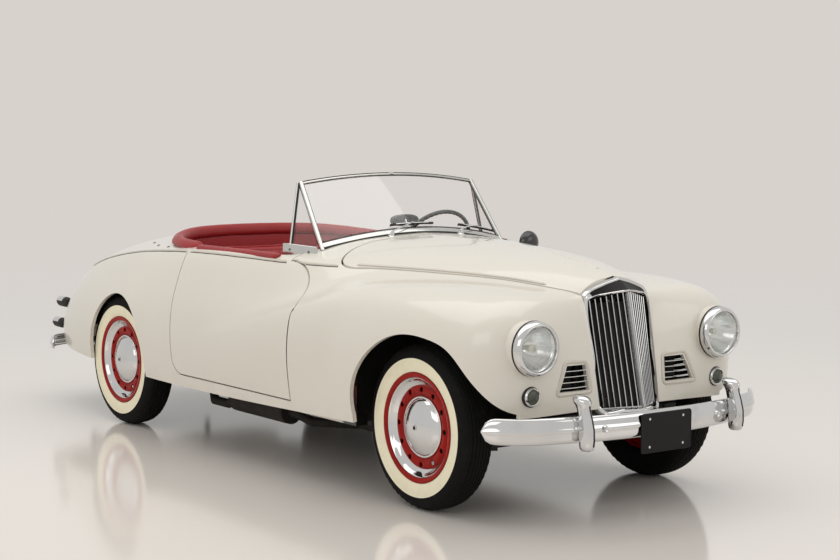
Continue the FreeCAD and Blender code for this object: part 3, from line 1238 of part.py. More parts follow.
def crown_point(top, ridge_top, lift):
    """Point on the grille's upper edge between the ridge and the corner, lifted."""
    return ridge_top + (top - ridge_top) * GRILLE_CROWN_SHARE + Vector(0, 0, lift)


def grille_bars():
    """Upright bars on both faces, the ridge bar and the two rails that carry them."""
    top, bottom, ridge_top, ridge_bottom = grille_corners()
    pieces = []
    deep = Vector(-GRILLE_BAR_DEPTH, 0, 0)
    across = Vector(0, GRILLE_BAR_WIDTH, 0)
    count = GRILLE_BARS_PER_SIDE
    for k in range(count + 1):
        share = k / (count + 1 / 2)
        start = ridge_bottom + (bottom - ridge_bottom) * share + deep / 2
        end = ridge_top + (top - ridge_top) * share + deep / 2
        pieces.append(bar_between(start, end, across, deep))
    for share in GRILLE_RAIL_SHARES:
        middle = ridge_bottom + (ridge_top - ridge_bottom) * share + deep
        side = bottom + (top - bottom) * share + deep
        pieces.append(bar_between(middle, side, Vector(0, 0, GRILLE_BAR_WIDTH), deep))
    half = fused(pieces)
    return fused([half, mirrored(half)]).cut(grille_surround())


def side_grilles():
    """Small grilles beside the main one: a rim and level slats."""
    points = [place(s) for s in SIDE_GRILLE_SHARES]
    depth = SLAT_DEPTH
    prism = side_grille_prism(-LAMP_CLEARANCE)
    inner = side_grille_prism(-SLAT_HEIGHT)
    x = points[0].x - SIDE_GRILLE_INSET
    slab = block(x - depth, x, -HALF_WIDTH, 0, 0, BELT_HEIGHT)
    rim = prism.cut(inner).common(slab)
    pieces = [rim]
    low, high = points[2].z, points[0].z
    for k in range(SLATS_PER_SIDE):
        z = low + (high - low) * (k + 1) / (SLATS_PER_SIDE + 1)
        near, far = SLAT_SHARES
        slat = block(x - depth * far, x - depth * near, -HALF_WIDTH, 0,
                     z - SLAT_HEIGHT / 2, z + SLAT_HEIGHT / 2)
        pieces.append(slat.common(side_grille_prism(-SLAT_HEIGHT / 2)))
    return both_sides(fused(pieces))


def headlamps():
    """Chrome rims with the buckets behind them."""
    centre = place(HEADLAMP_SHARES)
    rim, bucket, t = HEADLAMP_RIM_RADIUS, HEADLAMP_BUCKET_RADIUS, HEADLAMP_WALL
    face, depth = HEADLAMP_RIM_DEPTH / 2, HEADLAMP_BUCKET_DEPTH
    lens = HEADLAMP_LENS_RADIUS
    pairs = [(-face, bucket), (-face, rim - t), (0, rim), (face * LAMP_RIM_SHARE, rim - t),
             (face, lens + t), (face, lens), (0, lens), (-face, lens - t), (-depth + t, bucket / 2),
             (-depth + t, 0), (-depth, 0), (-depth, bucket / 2 + t), (-face * 2, bucket)]
    return both_sides(turned_x(pairs, centre))


def headlamp_lenses():
    """Domed glass in each headlamp rim."""
    centre = place(HEADLAMP_SHARES)
    rim = HEADLAMP_LENS_RADIUS
    dome = [(LENS_BULGE * (1 - s * s), rim * s) for s in LENS_RING_SHARES]
    back = [(along - LENS_THICKNESS, radius) for along, radius in reversed(dome)]
    back[-1] = (back[-1][0], 0)
    return both_sides(turned_x(dome + back, centre + Vector(LENS_THICKNESS, 0, 0)))


def front_sidelamps():
    """Small round lamps below the headlamps."""
    centre = place(SIDELAMP_SHARES)
    pairs = [(along * SIDELAMP_DEPTH, radius * SIDELAMP_RADIUS) for along, radius in SIDELAMP_OUTLINE_SHARES]
    return both_sides(turned_x(pairs, centre))


def tail_lamps():
    """Two lamps on each rear wing, turned about the car's length."""
    pieces = []
    for shares in (UPPER_TAIL_LAMP_SHARES, LOWER_TAIL_LAMP_SHARES):
        tip = place(shares)
        pairs = [(a * TAIL_LAMP_LENGTH, r * TAIL_LAMP_RADIUS) for a, r in TAIL_LAMP_OUTLINE_SHARES]
        pieces += both_sides(turned_x(pairs, tip)).Solids
    return Part.makeCompound(pieces)


def bumper(plan_shares, height_share, end):
    """Bowed blade along a plan line; end is 1 in front and -1 behind."""
    path = [Vector(end * station(s), -y * HALF_WIDTH, height_share * BELT_HEIGHT) for s, y in plan_shares]
    rows = []
    for rise, bow in BUMPER_SECTION_SHARES:
        row = []
        for k, point in enumerate(path):
            along = path[min(k + 1, len(path) - 1)] - path[max(k - 1, 0)]
            out = Vector(-along.y, along.x, 0)
            if k == 0:
                out = Vector(1, 0, 0)
            out.normalize()
            row.append(point + out * (bow * BUMPER_BOW) + Vector(0, 0, rise * BUMPER_HEIGHT))
        rows.append(row)
    half = sheet(rows, BUMPER_THICKNESS, True)
    if end < 0:
        half = half.mirror(Vector(0, 0, 0), Vector(1, 0, 0))
    return half, mirrored(half)


def overrider(half_width_share, height_share, end, depth):
    """Upright bullet in front of a bumper blade, on the right side."""
    radius = OVERRIDER_WIDTH / 2
    x = end * (OVERALL_LENGTH / 2 - depth / 2)
    foot = Vector(x, -half_width_share * HALF_WIDTH, height_share * BELT_HEIGHT - OVERRIDER_HEIGHT / 2)
    pairs = [(z * OVERRIDER_HEIGHT, r * radius) for z, r in OVERRIDER_OUTLINE_SHARES]
    points = [Vector(r, 0, z) for z, r in pairs]
    body = turned(lines(points + points[:1]), Vector(0, 0, 0), Vector(0, 0, 1))
    if depth > OVERRIDER_WIDTH:
        stretch = FreeCAD.Matrix()
        stretch.scale(Vector(depth / OVERRIDER_WIDTH, 1, 1))
        body = body.transformGeometry(stretch)
    body.translate(foot)
    return body


def front_bumper():
    """Front blade with its two overriders."""
    over = overrider(FRONT_OVERRIDER_SHARE, FRONT_BUMPER_HEIGHT_SHARE, 1, FRONT_OVERRIDER_DEPTH)
    return fused([*bumper(FRONT_BUMPER_SHARES, FRONT_BUMPER_HEIGHT_SHARE, 1), over, mirrored(over)])


def rear_bumper():
    """Rear blade with its two overriders."""
    over = overrider(REAR_OVERRIDER_SHARE, REAR_BUMPER_HEIGHT_SHARE, -1, REAR_OVERRIDER_DEPTH)
    return fused([*bumper(REAR_BUMPER_SHARES, REAR_BUMPER_HEIGHT_SHARE, -1), over, mirrored(over)])


def number_plates():
    """Blank plates with the spacers that hold them to the front and rear bumpers."""
    pieces = []
    for x, z, end in ((station(FRONT_PLATE_SHARE), FRONT_PLATE_HEIGHT_SHARE * BELT_HEIGHT, 1),
                      (station(REAR_PLATE_SHARE), REAR_PLATE_HEIGHT_SHARE * BELT_HEIGHT, -1)):
        x_low, x_high = sorted((x, x + end * PLATE_THICKNESS))
        wide, tall = PLATE_WIDTH / 2, PLATE_HEIGHT / 2
        plate = block(x_low, x_high, -wide, wide, z - tall, z + tall)
        reach = Vector(PLATE_THICKNESS * 2, 0, 0)
        for y in (-PLATE_HOLE_SPACING / 2, PLATE_HOLE_SPACING / 2):
            hole = Vector(x, y, z - end * PLATE_HOLE_DROP)
            plate = plate.cut(rod(hole - reach, hole + reach, PLATE_HOLE_RADIUS))
        x_low, x_high = sorted((x, x - end * SPACER_DEPTH))
        wide, tall = SPACER_WIDTH / 2, SPACER_HEIGHT / 2
        spacer = block(x_low, x_high, -wide, wide, z - tall, z + tall)
        pieces.append(fused([plate, spacer]))
    return Part.makeCompound(pieces)


def screen_point(across, up):
    """Point of the windscreen; across runs from -1 on the right to 1 on the left, up from 0 to 1."""
    base, base_mid = place(SCREEN_BASE_CORNER_SHARES), place(SCREEN_BASE_MIDDLE_SHARES)
    top, top_mid = place(SCREEN_TOP_CORNER_SHARES), place(SCREEN_TOP_MIDDLE_SHARES)
    ends = []
    for corner, middle in ((base, base_mid), (top, top_mid)):
        point = middle + (corner - middle) * across ** 2
        point.y = -corner.y * across
        ends.append(point)
    return ends[0] + (ends[1] - ends[0]) * up


def screen_net(across, low, high):
    """Control points of the part of the windscreen inside the given limits."""
    net = []
    for up in (low, high):
        left, middle, right = screen_point(-across, up), screen_point(0, up), screen_point(across, up)
        net.append([left, middle * 2 - (left + right) / 2, right])
    return net


def screen_sheet(across, low, high, thickness, lift):
    """Curved plate in the windscreen's surface, lifted outwards and then given a thickness inwards."""
    net = screen_net(across, low, high)
    raised = [[p + n * lift for p, n in zip(row, normals)] for row, normals in zip(net, net_normals(net))]
    return sheet(raised, thickness, False, 2)


def screen_insets():
    """The frame's width as shares of the windscreen's half width and height."""
    width = abs(screen_point(1, 0).y)
    height = (screen_point(1, 1) - screen_point(1, 0)).Length
    return SCREEN_FRAME_WIDTH / width, SCREEN_FRAME_WIDTH / height


def windscreen_frame():
    """Chrome frame with the quarter lights' posts and the wipers' spindles and arms."""
    side, rise = screen_insets()
    frame = screen_sheet(1, 0, 1, SCREEN_FRAME_DEPTH, SCREEN_FRAME_DEPTH / 2)
    hole = screen_sheet(1 - side, rise, 1 - rise, SCREEN_FRAME_DEPTH * 2, SCREEN_FRAME_DEPTH)
    frame = frame.cut(hole)
    pieces = [frame]
    for half in (quarter_posts(), mirrored(quarter_posts())):
        pieces.append(half)
    return fused(pieces)


def quarter_corners():
    """Foot of the screen post, its head and the foot of the quarter light's rear post, on the right."""
    return screen_point(-1, 0), screen_point(-1, 1), place(QUARTER_FOOT_SHARES)


def quarter_posts():
    """Rear post and foot plate of the right quarter light."""
    foot, head, rear = quarter_corners()
    across = Vector(0, SCREEN_FRAME_DEPTH / 2, 0)
    wide = Vector(QUARTER_POST_WIDTH, 0, 0)
    post = bar_between(rear, head, across, wide)
    base = [foot + across / 2, rear + across / 2, rear - across / 2, foot - across / 2]
    plate = loop_solid(base, [p + Vector(0, 0, SCREEN_FRAME_WIDTH) for p in base])
    return fused([post, plate])


def windscreen_glass():
    """Curved screen and the two triangular quarter lights."""
    side, rise = screen_insets()
    screen = screen_sheet(1 - side, rise, 1 - rise, SCREEN_GLASS, SCREEN_GLASS / 2)
    foot, head, rear = quarter_corners()
    corners = (foot, head, rear)
    centre = sum(corners, Vector()) / len(corners)
    corners = [centre + (p - centre) * QUARTER_GLASS_SHARE for p in corners]
    across = Vector(0, SCREEN_GLASS / 2, 0)
    pane = loop_solid([p - across / 2 for p in corners], [p + across / 2 for p in corners])
    return Part.makeCompound([screen, pane, mirrored(pane)])


def dashboard():
    """Crowned panel under the windscreen."""
    x = station(DASH_STATION_SHARE)
    top = DASH_TOP_SHARE * BELT_HEIGHT
    side = DASH_SIDE_SHARE * BELT_HEIGHT
    half = DASH_HALF_WIDTH_SHARE * HALF_WIDTH
    arc = Part.Arc(Vector(x, -half, side), Vector(x, 0, top), Vector(x, half, side)).toShape()
    low = side - DASH_HEIGHT
    pairs = [(half, side), (half, low), (-half, low), (-half, side)]
    edges = [arc] + lines([Vector(x, y, z) for y, z in pairs])
    return face_of(edges).extrude(Vector(-DASH_DEPTH, 0, 0))


def wheel_frame():
    """Centre of the steering wheel and the direction of its column, towards the driver."""
    height = STEERING_WHEEL_HEIGHT_SHARE * BELT_HEIGHT
    centre = Vector(station(STEERING_WHEEL_STATION_SHARE), STEERING_WHEEL_Y, height)
    tilt = math.radians(STEERING_TILT)
    return centre, Vector(-math.cos(tilt), 0, math.sin(tilt))


def steering_wheel():
    """Rim, three spokes and hub."""
    centre, axis = wheel_frame()
    rim = Part.makeTorus(STEERING_WHEEL_RADIUS, STEERING_RIM_RADIUS, centre, axis)
    up = Vector(axis.z, 0, -axis.x)
    hub = rod(centre - axis * COLUMN_RADIUS, centre + axis * COLUMN_RADIUS / 2, COLUMN_RADIUS * HUB_SHARE)
    pieces = [rim, hub]
    for k in range(STEERING_SPOKES):
        angle = math.radians(SPOKE_ANGLE) + 2 * math.pi * k / STEERING_SPOKES
        ray = Vector(0, 1, 0) * math.cos(angle) + up * math.sin(angle)
        pieces.append(rod(centre, centre + ray * STEERING_WHEEL_RADIUS, STEERING_RIM_RADIUS * SPOKE_SHARE))
    shaft = axis * (COLUMN_RADIUS + COLUMN_GAP + SHAFT_END_LENGTH)
    pieces.append(rod(centre, centre - shaft, SHAFT_END_RADIUS))
    return fused(pieces)


def steering_column():
    """Column tube from behind the wheel, through the dash, to the bulkhead."""
    centre, axis = wheel_frame()
    start = centre - axis * (COLUMN_RADIUS + COLUMN_GAP)
    reach = (station(BULKHEAD_SHARE) - FLOOR_THICKNESS - start.x) / -axis.x
    bore = rod(start, start - axis * (SHAFT_END_LENGTH + COLUMN_GAP), SHAFT_END_RADIUS + BEARING_CLEARANCE)
    return rod(start, start - axis * reach, COLUMN_RADIUS).cut(bore)


def cushion(x_low, x_high, y_low, y_high, z_low, z_high):
    """Plain pad with rounded edges."""
    pad = block(x_low, x_high, y_low, y_high, z_low, z_high)
    return pad.makeFillet(SEAT_EDGE_RADIUS, pad.Edges)


def seat_places():
    """Front edge, inner and outer sides and underside of the right seat."""
    x = station(FRONT_SEAT_STATION_SHARE)
    y = -FRONT_SEAT_HALF_WIDTH_SHARE * HALF_WIDTH
    z = RAIL_TOP_SHARES[2][1] * BELT_HEIGHT + FLOOR_THICKNESS + SEAT_BASE_HEIGHT
    return x, y - SEAT_WIDTH / 2, y + SEAT_WIDTH / 2, z


def seat_cushions():
    """Two seat cushions."""
    x, y_low, y_high, z = seat_places()
    return both_sides(cushion(x - SEAT_CUSHION_LENGTH, x, y_low, y_high, z, z + SEAT_CUSHION_HEIGHT))


def seat_backs():
    """Two raked seat backs."""
    x, y_low, y_high, z = seat_places()
    x_front = x - SEAT_CUSHION_LENGTH + SEAT_LAP
    foot = z + SEAT_BACK_THICKNESS * math.sin(math.radians(SEAT_RAKE)) + SEAT_GAP
    back = cushion(x_front - SEAT_BACK_THICKNESS, x_front, y_low, y_high, foot, foot + SEAT_BACK_HEIGHT)
    back.rotate(Vector(x_front, 0, foot), Vector(0, 1, 0), -SEAT_RAKE)
    return both_sides(back)


def rim_height(share):
    """Height of the cockpit rim at a station share."""
    points = RIM_HEIGHT_SHARES
    for (s0, z0), (s1, z1) in zip(points, points[1:]):
        if share <= s1:
            return (z0 + (z1 - z0) * (share - s0) / (s1 - s0)) * BELT_HEIGHT
    return points[-1][1] * BELT_HEIGHT


def padded_tube(points, radius):
    """Round pad swept along a smooth line through the points."""
    spine = Part.Wire([curve(points)])
    direction = points[1] - points[0]
    ring = Part.Wire([Part.makeCircle(radius, points[0], direction)])
    return Part.Solid(spine.makePipeShell([ring], True, True))


def cockpit_roll():
    """Padded roll round the back of the cockpit, between the doors."""
    shares = [(s, y) for s, y in COCKPIT_SHARES if s > DOOR_REAR_SHARE]
    right = [Vector(station(s), -y * HALF_WIDTH, rim_height(s) + ROLL_LIFT) for s, y in shares]
    start_s = DOOR_REAR_SHARE + ROLL_END_GAP / WHEELBASE
    start = Vector(station(start_s), right[0].y - (right[0].y + shares[0][1] * HALF_WIDTH) / 2,
                   rim_height(start_s) + ROLL_LIFT)
    points = [start] + right
    left = [Vector(p.x, -p.y, p.z) for p in reversed(points[:-1])]
    return padded_tube(points + left, ROLL_RADIUS)


def door_roll():
    """Padded roll along the top of the right door."""
    s_front, s_back = DOOR_ROLL_SHARES
    points = []
    for s in (s_front, (s_front + s_back) / 2, s_back):
        y = -DOOR_ROLL_HALF_WIDTH_SHARE * HALF_WIDTH
        points.append(Vector(station(s), y, rim_height(s) + ROLL_LIFT))
    return padded_tube(points, ROLL_RADIUS)


def mirrors():
    """Inside mirror on the dash and the round wing mirror on the left."""
    middle = place(MIRROR_SHARES)
    glass = Part.makeSphere(MIRROR_DEPTH, Vector(0, 0, 0))
    stretch = FreeCAD.Matrix()
    stretch.scale(Vector(1, MIRROR_WIDTH / 2 / MIRROR_DEPTH, MIRROR_HEIGHT / 2 / MIRROR_DEPTH))
    inside = glass.transformGeometry(stretch)
    inside.translate(middle)
    foot = Vector(station(DASH_STATION_SHARE) - DASH_DEPTH / 2, 0, DASH_TOP_SHARE * BELT_HEIGHT - DASH_DEPTH / 2)
    inside = fused([inside, rod(foot, middle, MIRROR_STALK_RADIUS)])
    centre = place(WING_MIRROR_SHARES)
    centre.y = -centre.y
    pairs = [(a * MIRROR_DEPTH, r * WING_MIRROR_RADIUS) for a, r in WING_MIRROR_OUTLINE_SHARES]
    outside = turned_x(pairs, centre)
    foot = centre - Vector(0, 0, WING_MIRROR_RADIUS + WING_MIRROR_STALK)
    outside = fused([outside, rod(foot, centre, MIRROR_STALK_RADIUS)])
    return Part.makeCompound([inside, outside])


def wheel_places():
    """Name, centre and side of each wheel."""
    out = []
    for side, word in ((-1, "right"), (1, "left")):
        out.append(("front_" + word, Vector(FRONT_AXLE_X, side * FRONT_WHEEL_Y, AXLE_Z), side))
        out.append(("rear_" + word, Vector(REAR_AXLE_X, side * REAR_WHEEL_Y, AXLE_Z), side))
    return out


def outer_part(shape):
    """The largest solid left of a cut shape."""
    return max(shape.Solids, key=lambda solid: solid.Volume)


def seated(shape, carriers):
    """Each solid cut to the face of what carries it, keeping its larger part."""
    return Part.makeCompound([outer_part(solid.cut(carriers)) for solid in shape.Solids])


def panels_and_trim():
    """Body panels, what sits on them and the cabin."""
    front, rear, door, bonnet, boot_lid = body_panels()
    front_body = fused([front, mirrored(front)])
    rear_body = fused([rear, mirrored(rear)])
    floor = outer_part(floor_pan().cut([rear_body]))
    column = outer_part(steering_column().cut(floor))
    space = door_space()
    dash = outer_part(dashboard().cut([front_body, column, space, mirrored(space)]))
    screen = outer_part(windscreen_frame().cut(front_body))
    roll = outer_part(door_roll().cut(door))
    lamps = seated(front_sidelamps(), [front_body]).Solids + seated(tail_lamps(), [rear_body]).Solids
    return {
        "front_body": front_body, "rear_body": rear_body, "door_right": door, "door_left": mirrored(door),
        "bonnet": fused([bonnet, mirrored(bonnet)]), "boot_lid": fused([boot_lid, mirrored(boot_lid)]),
        "door_roll_right": roll, "door_roll_left": mirrored(roll),
        "cockpit_roll": outer_part(cockpit_roll().cut(rear_body)), "floor_pan": floor,
        "sills_and_posts": both_sides(outer_part(sills_and_posts().cut([front_body, rear_body, floor]))),
        "small_lamps": Part.makeCompound(lamps), "windscreen_frame": screen,
        "windscreen_glass": seated(windscreen_glass(), [screen]), "dashboard": dash,
        "steering_column": column, "steering_wheel": steering_wheel(),
        "seat_cushions": seat_cushions(), "seat_backs": seat_backs(),
        "mirrors": seated(mirrors(), [front_body, dash]),
    }


def running_gear():
    """Frame, engine, suspension and wheels."""
    bumpers = [front_bumper(), rear_bumper()]
    right_knuckle = knuckle()
    parts = {
        "chassis_frame": outer_part(chassis_frame().cut(bumpers)), "engine_block": engine_block(),
        "radiator": radiator(), "driveline": driveline(), "exhaust_system": exhaust_system(),
        "fuel_tank": fuel_tank(), "front_suspension": front_suspension(), "rear_axle": rear_axle(),
        "knuckle_right": right_knuckle, "knuckle_left": mirrored(right_knuckle),
        "front_bumper": bumpers[0], "rear_bumper": bumpers[1],
        "number_plates": seated(number_plates(), bumpers),
    }
    for name, centre, side in wheel_places():
        parts["tyre_" + name] = tyre(centre)
        parts["wheel_" + name] = wheel(centre, side)
    return parts


def grille_and_lamps():
    """Grilles and headlamps."""
    bars = grille_bars().Solids + side_grilles().Solids
    return {
        "grille_surround": grille_surround(), "grille_bars": Part.makeCompound(bars),
        "headlamps": headlamps(), "headlamp_lenses": headlamp_lenses(),
    }


def main():
    os.makedirs("parts", exist_ok=True)
    for group in (panels_and_trim(), running_gear(), grille_and_lamps()):
        for name, shape in group.items():
            shape.exportStep("parts/" + name + ".step")


main()
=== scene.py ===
"""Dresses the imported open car: painted panels, trim, lamps, cabin, wheels, studio and camera."""

import logging
import math
from dataclasses import dataclass, field, replace
from enum import Enum
from typing import Any, Iterable, Optional, Sequence

import bmesh
import bpy
import numpy as np
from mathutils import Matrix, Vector
from mathutils.bvhtree import BVHTree


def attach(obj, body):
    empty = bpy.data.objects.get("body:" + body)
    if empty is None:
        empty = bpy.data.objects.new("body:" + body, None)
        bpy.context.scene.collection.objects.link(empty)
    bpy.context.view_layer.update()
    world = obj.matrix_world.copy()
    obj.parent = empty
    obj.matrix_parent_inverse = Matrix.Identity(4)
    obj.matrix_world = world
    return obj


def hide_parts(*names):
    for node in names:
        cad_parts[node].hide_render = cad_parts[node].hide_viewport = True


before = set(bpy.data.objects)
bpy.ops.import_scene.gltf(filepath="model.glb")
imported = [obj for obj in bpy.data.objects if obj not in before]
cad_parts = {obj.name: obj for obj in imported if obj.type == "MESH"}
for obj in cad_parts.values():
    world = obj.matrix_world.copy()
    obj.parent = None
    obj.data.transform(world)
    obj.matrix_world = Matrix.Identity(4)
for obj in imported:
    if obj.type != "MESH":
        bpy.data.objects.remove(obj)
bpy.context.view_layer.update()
LOG = logging.getLogger("car")
Array = np.ndarray
UP = np.array((0.0, 0.0, 1.0))
ACROSS = np.array((0.0, 1.0, 0.0))
AHEAD = np.array((1.0, 0.0, 0.0))
SQUARE = np.array([(1, 1), (-1, 1), (-1, -1), (1, -1)])
FRONT_AXLE = 1.400
WHEELBASE = 2.476
REAR_AXLE = FRONT_AXLE - WHEELBASE
FRONT_OVERHANG = 0.740
REAR_OVERHANG = 1.064
HALF_WIDTH = 0.794
HEIGHT_UNIT = 0.930
WHEEL_CENTRE_HEIGHT = 0.331
FRONT_HALF_TRACK = 0.603
REAR_HALF_TRACK = 0.6415
BODY_ENAMEL = (222, 217, 206)


class Signal:
    """A shader socket whose arithmetic adds Math nodes."""

    def __init__(self, recipe: "Recipe", socket: bpy.types.NodeSocket) -> None:
        """Keeps the socket and the recipe it belongs to."""
        self.recipe, self.socket = recipe, socket

    def _sum(self, operation: str, first: Any, second: Any) -> "Signal":
        """A Math node on two values."""
        return self.recipe.node("ShaderNodeMath", {"operation": operation}, {0: first, 1: second})

    def __add__(self, other: Any) -> "Signal":
        """Sum."""
        return self._sum("ADD", self, other)

    __radd__ = __add__

    def __sub__(self, other: Any) -> "Signal":
        """Difference."""
        return self._sum("SUBTRACT", self, other)

    def __rsub__(self, other: Any) -> "Signal":
        """Reflected difference."""
        return self._sum("SUBTRACT", other, self)

    def __mul__(self, other: Any) -> "Signal":
        """Product."""
        return self._sum("MULTIPLY", self, other)

    __rmul__ = __mul__

    def ramp(self, low: float, high: float, start: float = 0.0, end: float = 1.0) -> "Signal":
        """Smooth rise from start to end while the value goes from low to high.

        Args: low, high: values between which it changes. start, end: what it gives there.
        Returns: the clamped value.
        """
        return self.recipe.node("ShaderNodeMapRange", {"interpolation_type": "SMOOTHSTEP"},
                                {0: self, 1: low, 2: high, 3: start, 4: end})


Value = Any


class Recipe:
    """A node material in the making, round one Principled shader."""

    def __init__(self, name: str) -> None:
        """Starts the material.

        Args: name: the material's name.
        """
        self.material = bpy.data.materials.new(name)
        self.material.use_nodes = True
        self.tree = self.material.node_tree
        self.tree.nodes.clear()
        self.output = self.tree.nodes.new("ShaderNodeOutputMaterial")
        self.shader = self.tree.nodes.new("ShaderNodeBsdfPrincipled")
        self.tree.links.new(self.shader.outputs[0], self.output.inputs["Surface"])

    def node(self, kind: str, settings: Optional[dict] = None, inputs: Optional[dict] = None,
             output: Any = 0) -> Signal:
        """Any node: its settings first, then its sockets' values or links.

        Args: kind: node type. settings: its own properties. inputs: socket name or number to value.
            output: which output to give back.
        Returns: that output.
        """
        made = self.tree.nodes.new(kind)
        for name, value in (settings or {}).items():
            setattr(made, name, value)
        self.feed(made, inputs or {})
        return Signal(self, made.outputs[output])

    def feed(self, made: bpy.types.Node, inputs: dict) -> None:
        """Sets or links a node's sockets."""
        for key, value in inputs.items():
            if isinstance(value, Signal):
                self.tree.links.new(value.socket, made.inputs[key])
            else:
                made.inputs[key].default_value = value

    def place(self, scale: Sequence[float] = (1, 1, 1)) -> Signal:
        """Object coordinates, stretched by a scale per axis."""
        coords = self.node("ShaderNodeTexCoord", output="Object")
        if tuple(scale) == (1, 1, 1):
            return coords
        return self.node("ShaderNodeMapping", {}, {"Vector": coords, "Scale": scale})

    def axis(self, name: str) -> Signal:
        """One object coordinate, X, Y or Z."""
        return self.node("ShaderNodeSeparateXYZ", {}, {0: self.place()}, name)

    def noise(self, scale: float, detail: float = 3.0, stretch: Sequence[float] = (1, 1, 1)) -> Signal:
        """Cloudy value from 0 to 1 with that many clouds to the metre."""
        return self.node("ShaderNodeTexNoise", {}, {"Vector": self.place(stretch), "Scale": scale, "Detail": detail})

    def cells(self, scale: float, feature: str = "F1") -> Signal:
        """Distance inside cells, that many to the metre."""
        return self.node("ShaderNodeTexVoronoi", {"feature": feature}, {"Vector": self.place(), "Scale": scale},
                         "Distance")

    def blend(self, factor: Value, first: Value, second: Value) -> Signal:
        """Colour between two colours."""
        made = self.tree.nodes.new("ShaderNodeMix")
        made.data_type = "RGBA"
        self.feed(made, {0: factor, 6: first, 7: second})
        return Signal(self, made.outputs[2])

    def bump(self, height: Value, strength: float, distance: float, below: Optional[Signal] = None) -> Signal:
        """Normal disturbed by a height.

        Args: height: the value. strength: 0 to 1. distance: its depth in metres. below: an earlier bump.
        Returns: the normal.
        """
        inputs: dict = {"Strength": strength, "Distance": distance, "Height": height}
        if below is not None:
            inputs["Normal"] = below
        return self.node("ShaderNodeBump", {}, inputs)

    def finish(self, **values: Value) -> bpy.types.Material:
        """Sets the shader's sockets, with underscores for spaces in their names."""
        self.feed(self.shader, {name.replace("_", " "): value for name, value in values.items()})
        return self.material


def shade(red: float, green: float, blue: float, light: float = 1.0) -> tuple[float, float, float, float]:
    """Linear colour of a screen colour given in 0 to 255, made lighter or darker."""
    parts = [((c / 255 + 0.055) / 1.055) ** 2.4 if c > 10 else c / 255 / 12.92 for c in (red, green, blue)]
    return (*[min(p * light, 1.0) for p in parts], 1.0)


@dataclass(frozen=True)
class Finish:
    """What every finish has: a name, two close colours and a gloss."""

    name: str
    colour: tuple[float, float, float] = (128, 128, 128)
    spread: float = 0.08
    roughness: float = 0.5
    patch: float = 3.0

    def tones(self, recipe: Recipe) -> Signal:
        """The colour, a little lighter and darker in soft patches."""
        dark, light = shade(*self.colour, 1 - self.spread), shade(*self.colour, 1 + self.spread)
        return recipe.blend(recipe.noise(self.patch, 4).ramp(0.3, 0.7), dark, light)

    def gloss(self, recipe: Recipe, scale: float = 40.0, swing: float = 0.15) -> Signal:
        """Roughness that wanders round its level."""
        return recipe.noise(scale, 3) * swing + (self.roughness - swing / 2)

    def make(self) -> bpy.types.Material:
        """The material, made once for each name."""
        found = bpy.data.materials.get(self.name)
        return found if found else self.build()

    def build(self) -> bpy.types.Material:
        """Plain worked surface; other finishes build their own."""
        recipe = Recipe(self.name)
        grain = recipe.bump(recipe.noise(600, 3), 0.15, 0.0004)
        return recipe.finish(Base_Color=self.tones(recipe), Roughness=self.gloss(recipe), Normal=grain)


@dataclass(frozen=True)
class Paint(Finish):
    """Sprayed enamel under a clear coat, faintly rippled, dusty low down."""

    coat: float = 1.0
    dust: float = 0.10
    shine: float = 0.5

    def build(self) -> bpy.types.Material:
        """Two close tones, dust that gathers below the doors, orange peel and a coat."""
        recipe = Recipe(self.name)
        low = recipe.axis("Z").ramp(0.42, 0.20) * recipe.noise(9, 5).ramp(0.35, 0.75)
        colour = recipe.blend(low * self.dust, self.tones(recipe), shade(120, 108, 90))
        peel = recipe.bump(recipe.noise(260, 2), 0.05, 0.0004, self.shape(recipe))
        rough = self.gloss(recipe, 30, 0.08) + low * 0.2
        return recipe.finish(Base_Color=colour, Roughness=rough, Normal=peel, Coat_Weight=self.coat,
                             Coat_Roughness=0.04, Coat_IOR=1.5, Specular_IOR_Level=self.shine)

    def shape(self, recipe: Recipe) -> Optional[Signal]:
        """Larger form under the ripple; plain enamel has none."""
        return None


@dataclass(frozen=True)
class WingPaint(Paint):
    """Enamel of the panels that the front wing's crest runs over."""

    start: float = 0.76
    end: float = -0.32
    level: float = 0.587
    slope: float = 0.264
    shoulder: float = 0.110
    rise: float = 0.026

    def shape(self, recipe: Recipe) -> Signal:
        """Crest: height falls over a shoulder above a line that drops backwards, and fades before and behind."""
        along = recipe.axis("X")
        above = recipe.axis("Z") - (along * self.slope + self.level)
        fall = above.ramp(-0.02, self.shoulder, 1, 0)
        edge = fall * fall * fall * above.ramp(-0.40, -0.04)
        fade = along.ramp(self.end, self.start - 0.35) * along.ramp(self.start, self.start + 0.25, 1, 0)
        return recipe.bump(edge * fade, 1.0, self.rise)


@dataclass(frozen=True)
class ArchShadedSillPaint(Paint):
    """Enamel whose front end, inside the wheel arch, is painted black as the shade there."""

    arch: float = 0.93

    def tones(self, recipe: Recipe) -> Signal:
        """The enamel, painted black as shade ahead of the arch's edge."""
        # painted shade: the colour turns black inside the front wheel arch
        return recipe.blend(recipe.axis("X").ramp(self.arch, self.arch + 0.03), super().tones(recipe),
                            shade(14, 14, 14))


@dataclass(frozen=True)
class Metal(Finish):
    """Bare or plated metal with fine rubbing marks."""

    metallic: float = 1.0
    grain: float = 0.10
    brushed: tuple[float, float, float] = (1, 1, 1)

    def build(self) -> bpy.types.Material:
        """Tones, a wandering gloss and rubbing marks along the brushed direction."""
        recipe = Recipe(self.name)
        marks = recipe.noise(380, 4, self.brushed)
        soil = recipe.noise(14, 6).ramp(0.55, 0.8) * 0.25
        colour = recipe.blend(soil, self.tones(recipe), shade(*self.colour, 0.6))
        rough = self.gloss(recipe, 60, 0.06) + soil * 0.2
        return recipe.finish(Base_Color=colour, Metallic=self.metallic, Roughness=rough,
                             Normal=recipe.bump(marks, self.grain, 0.0002))


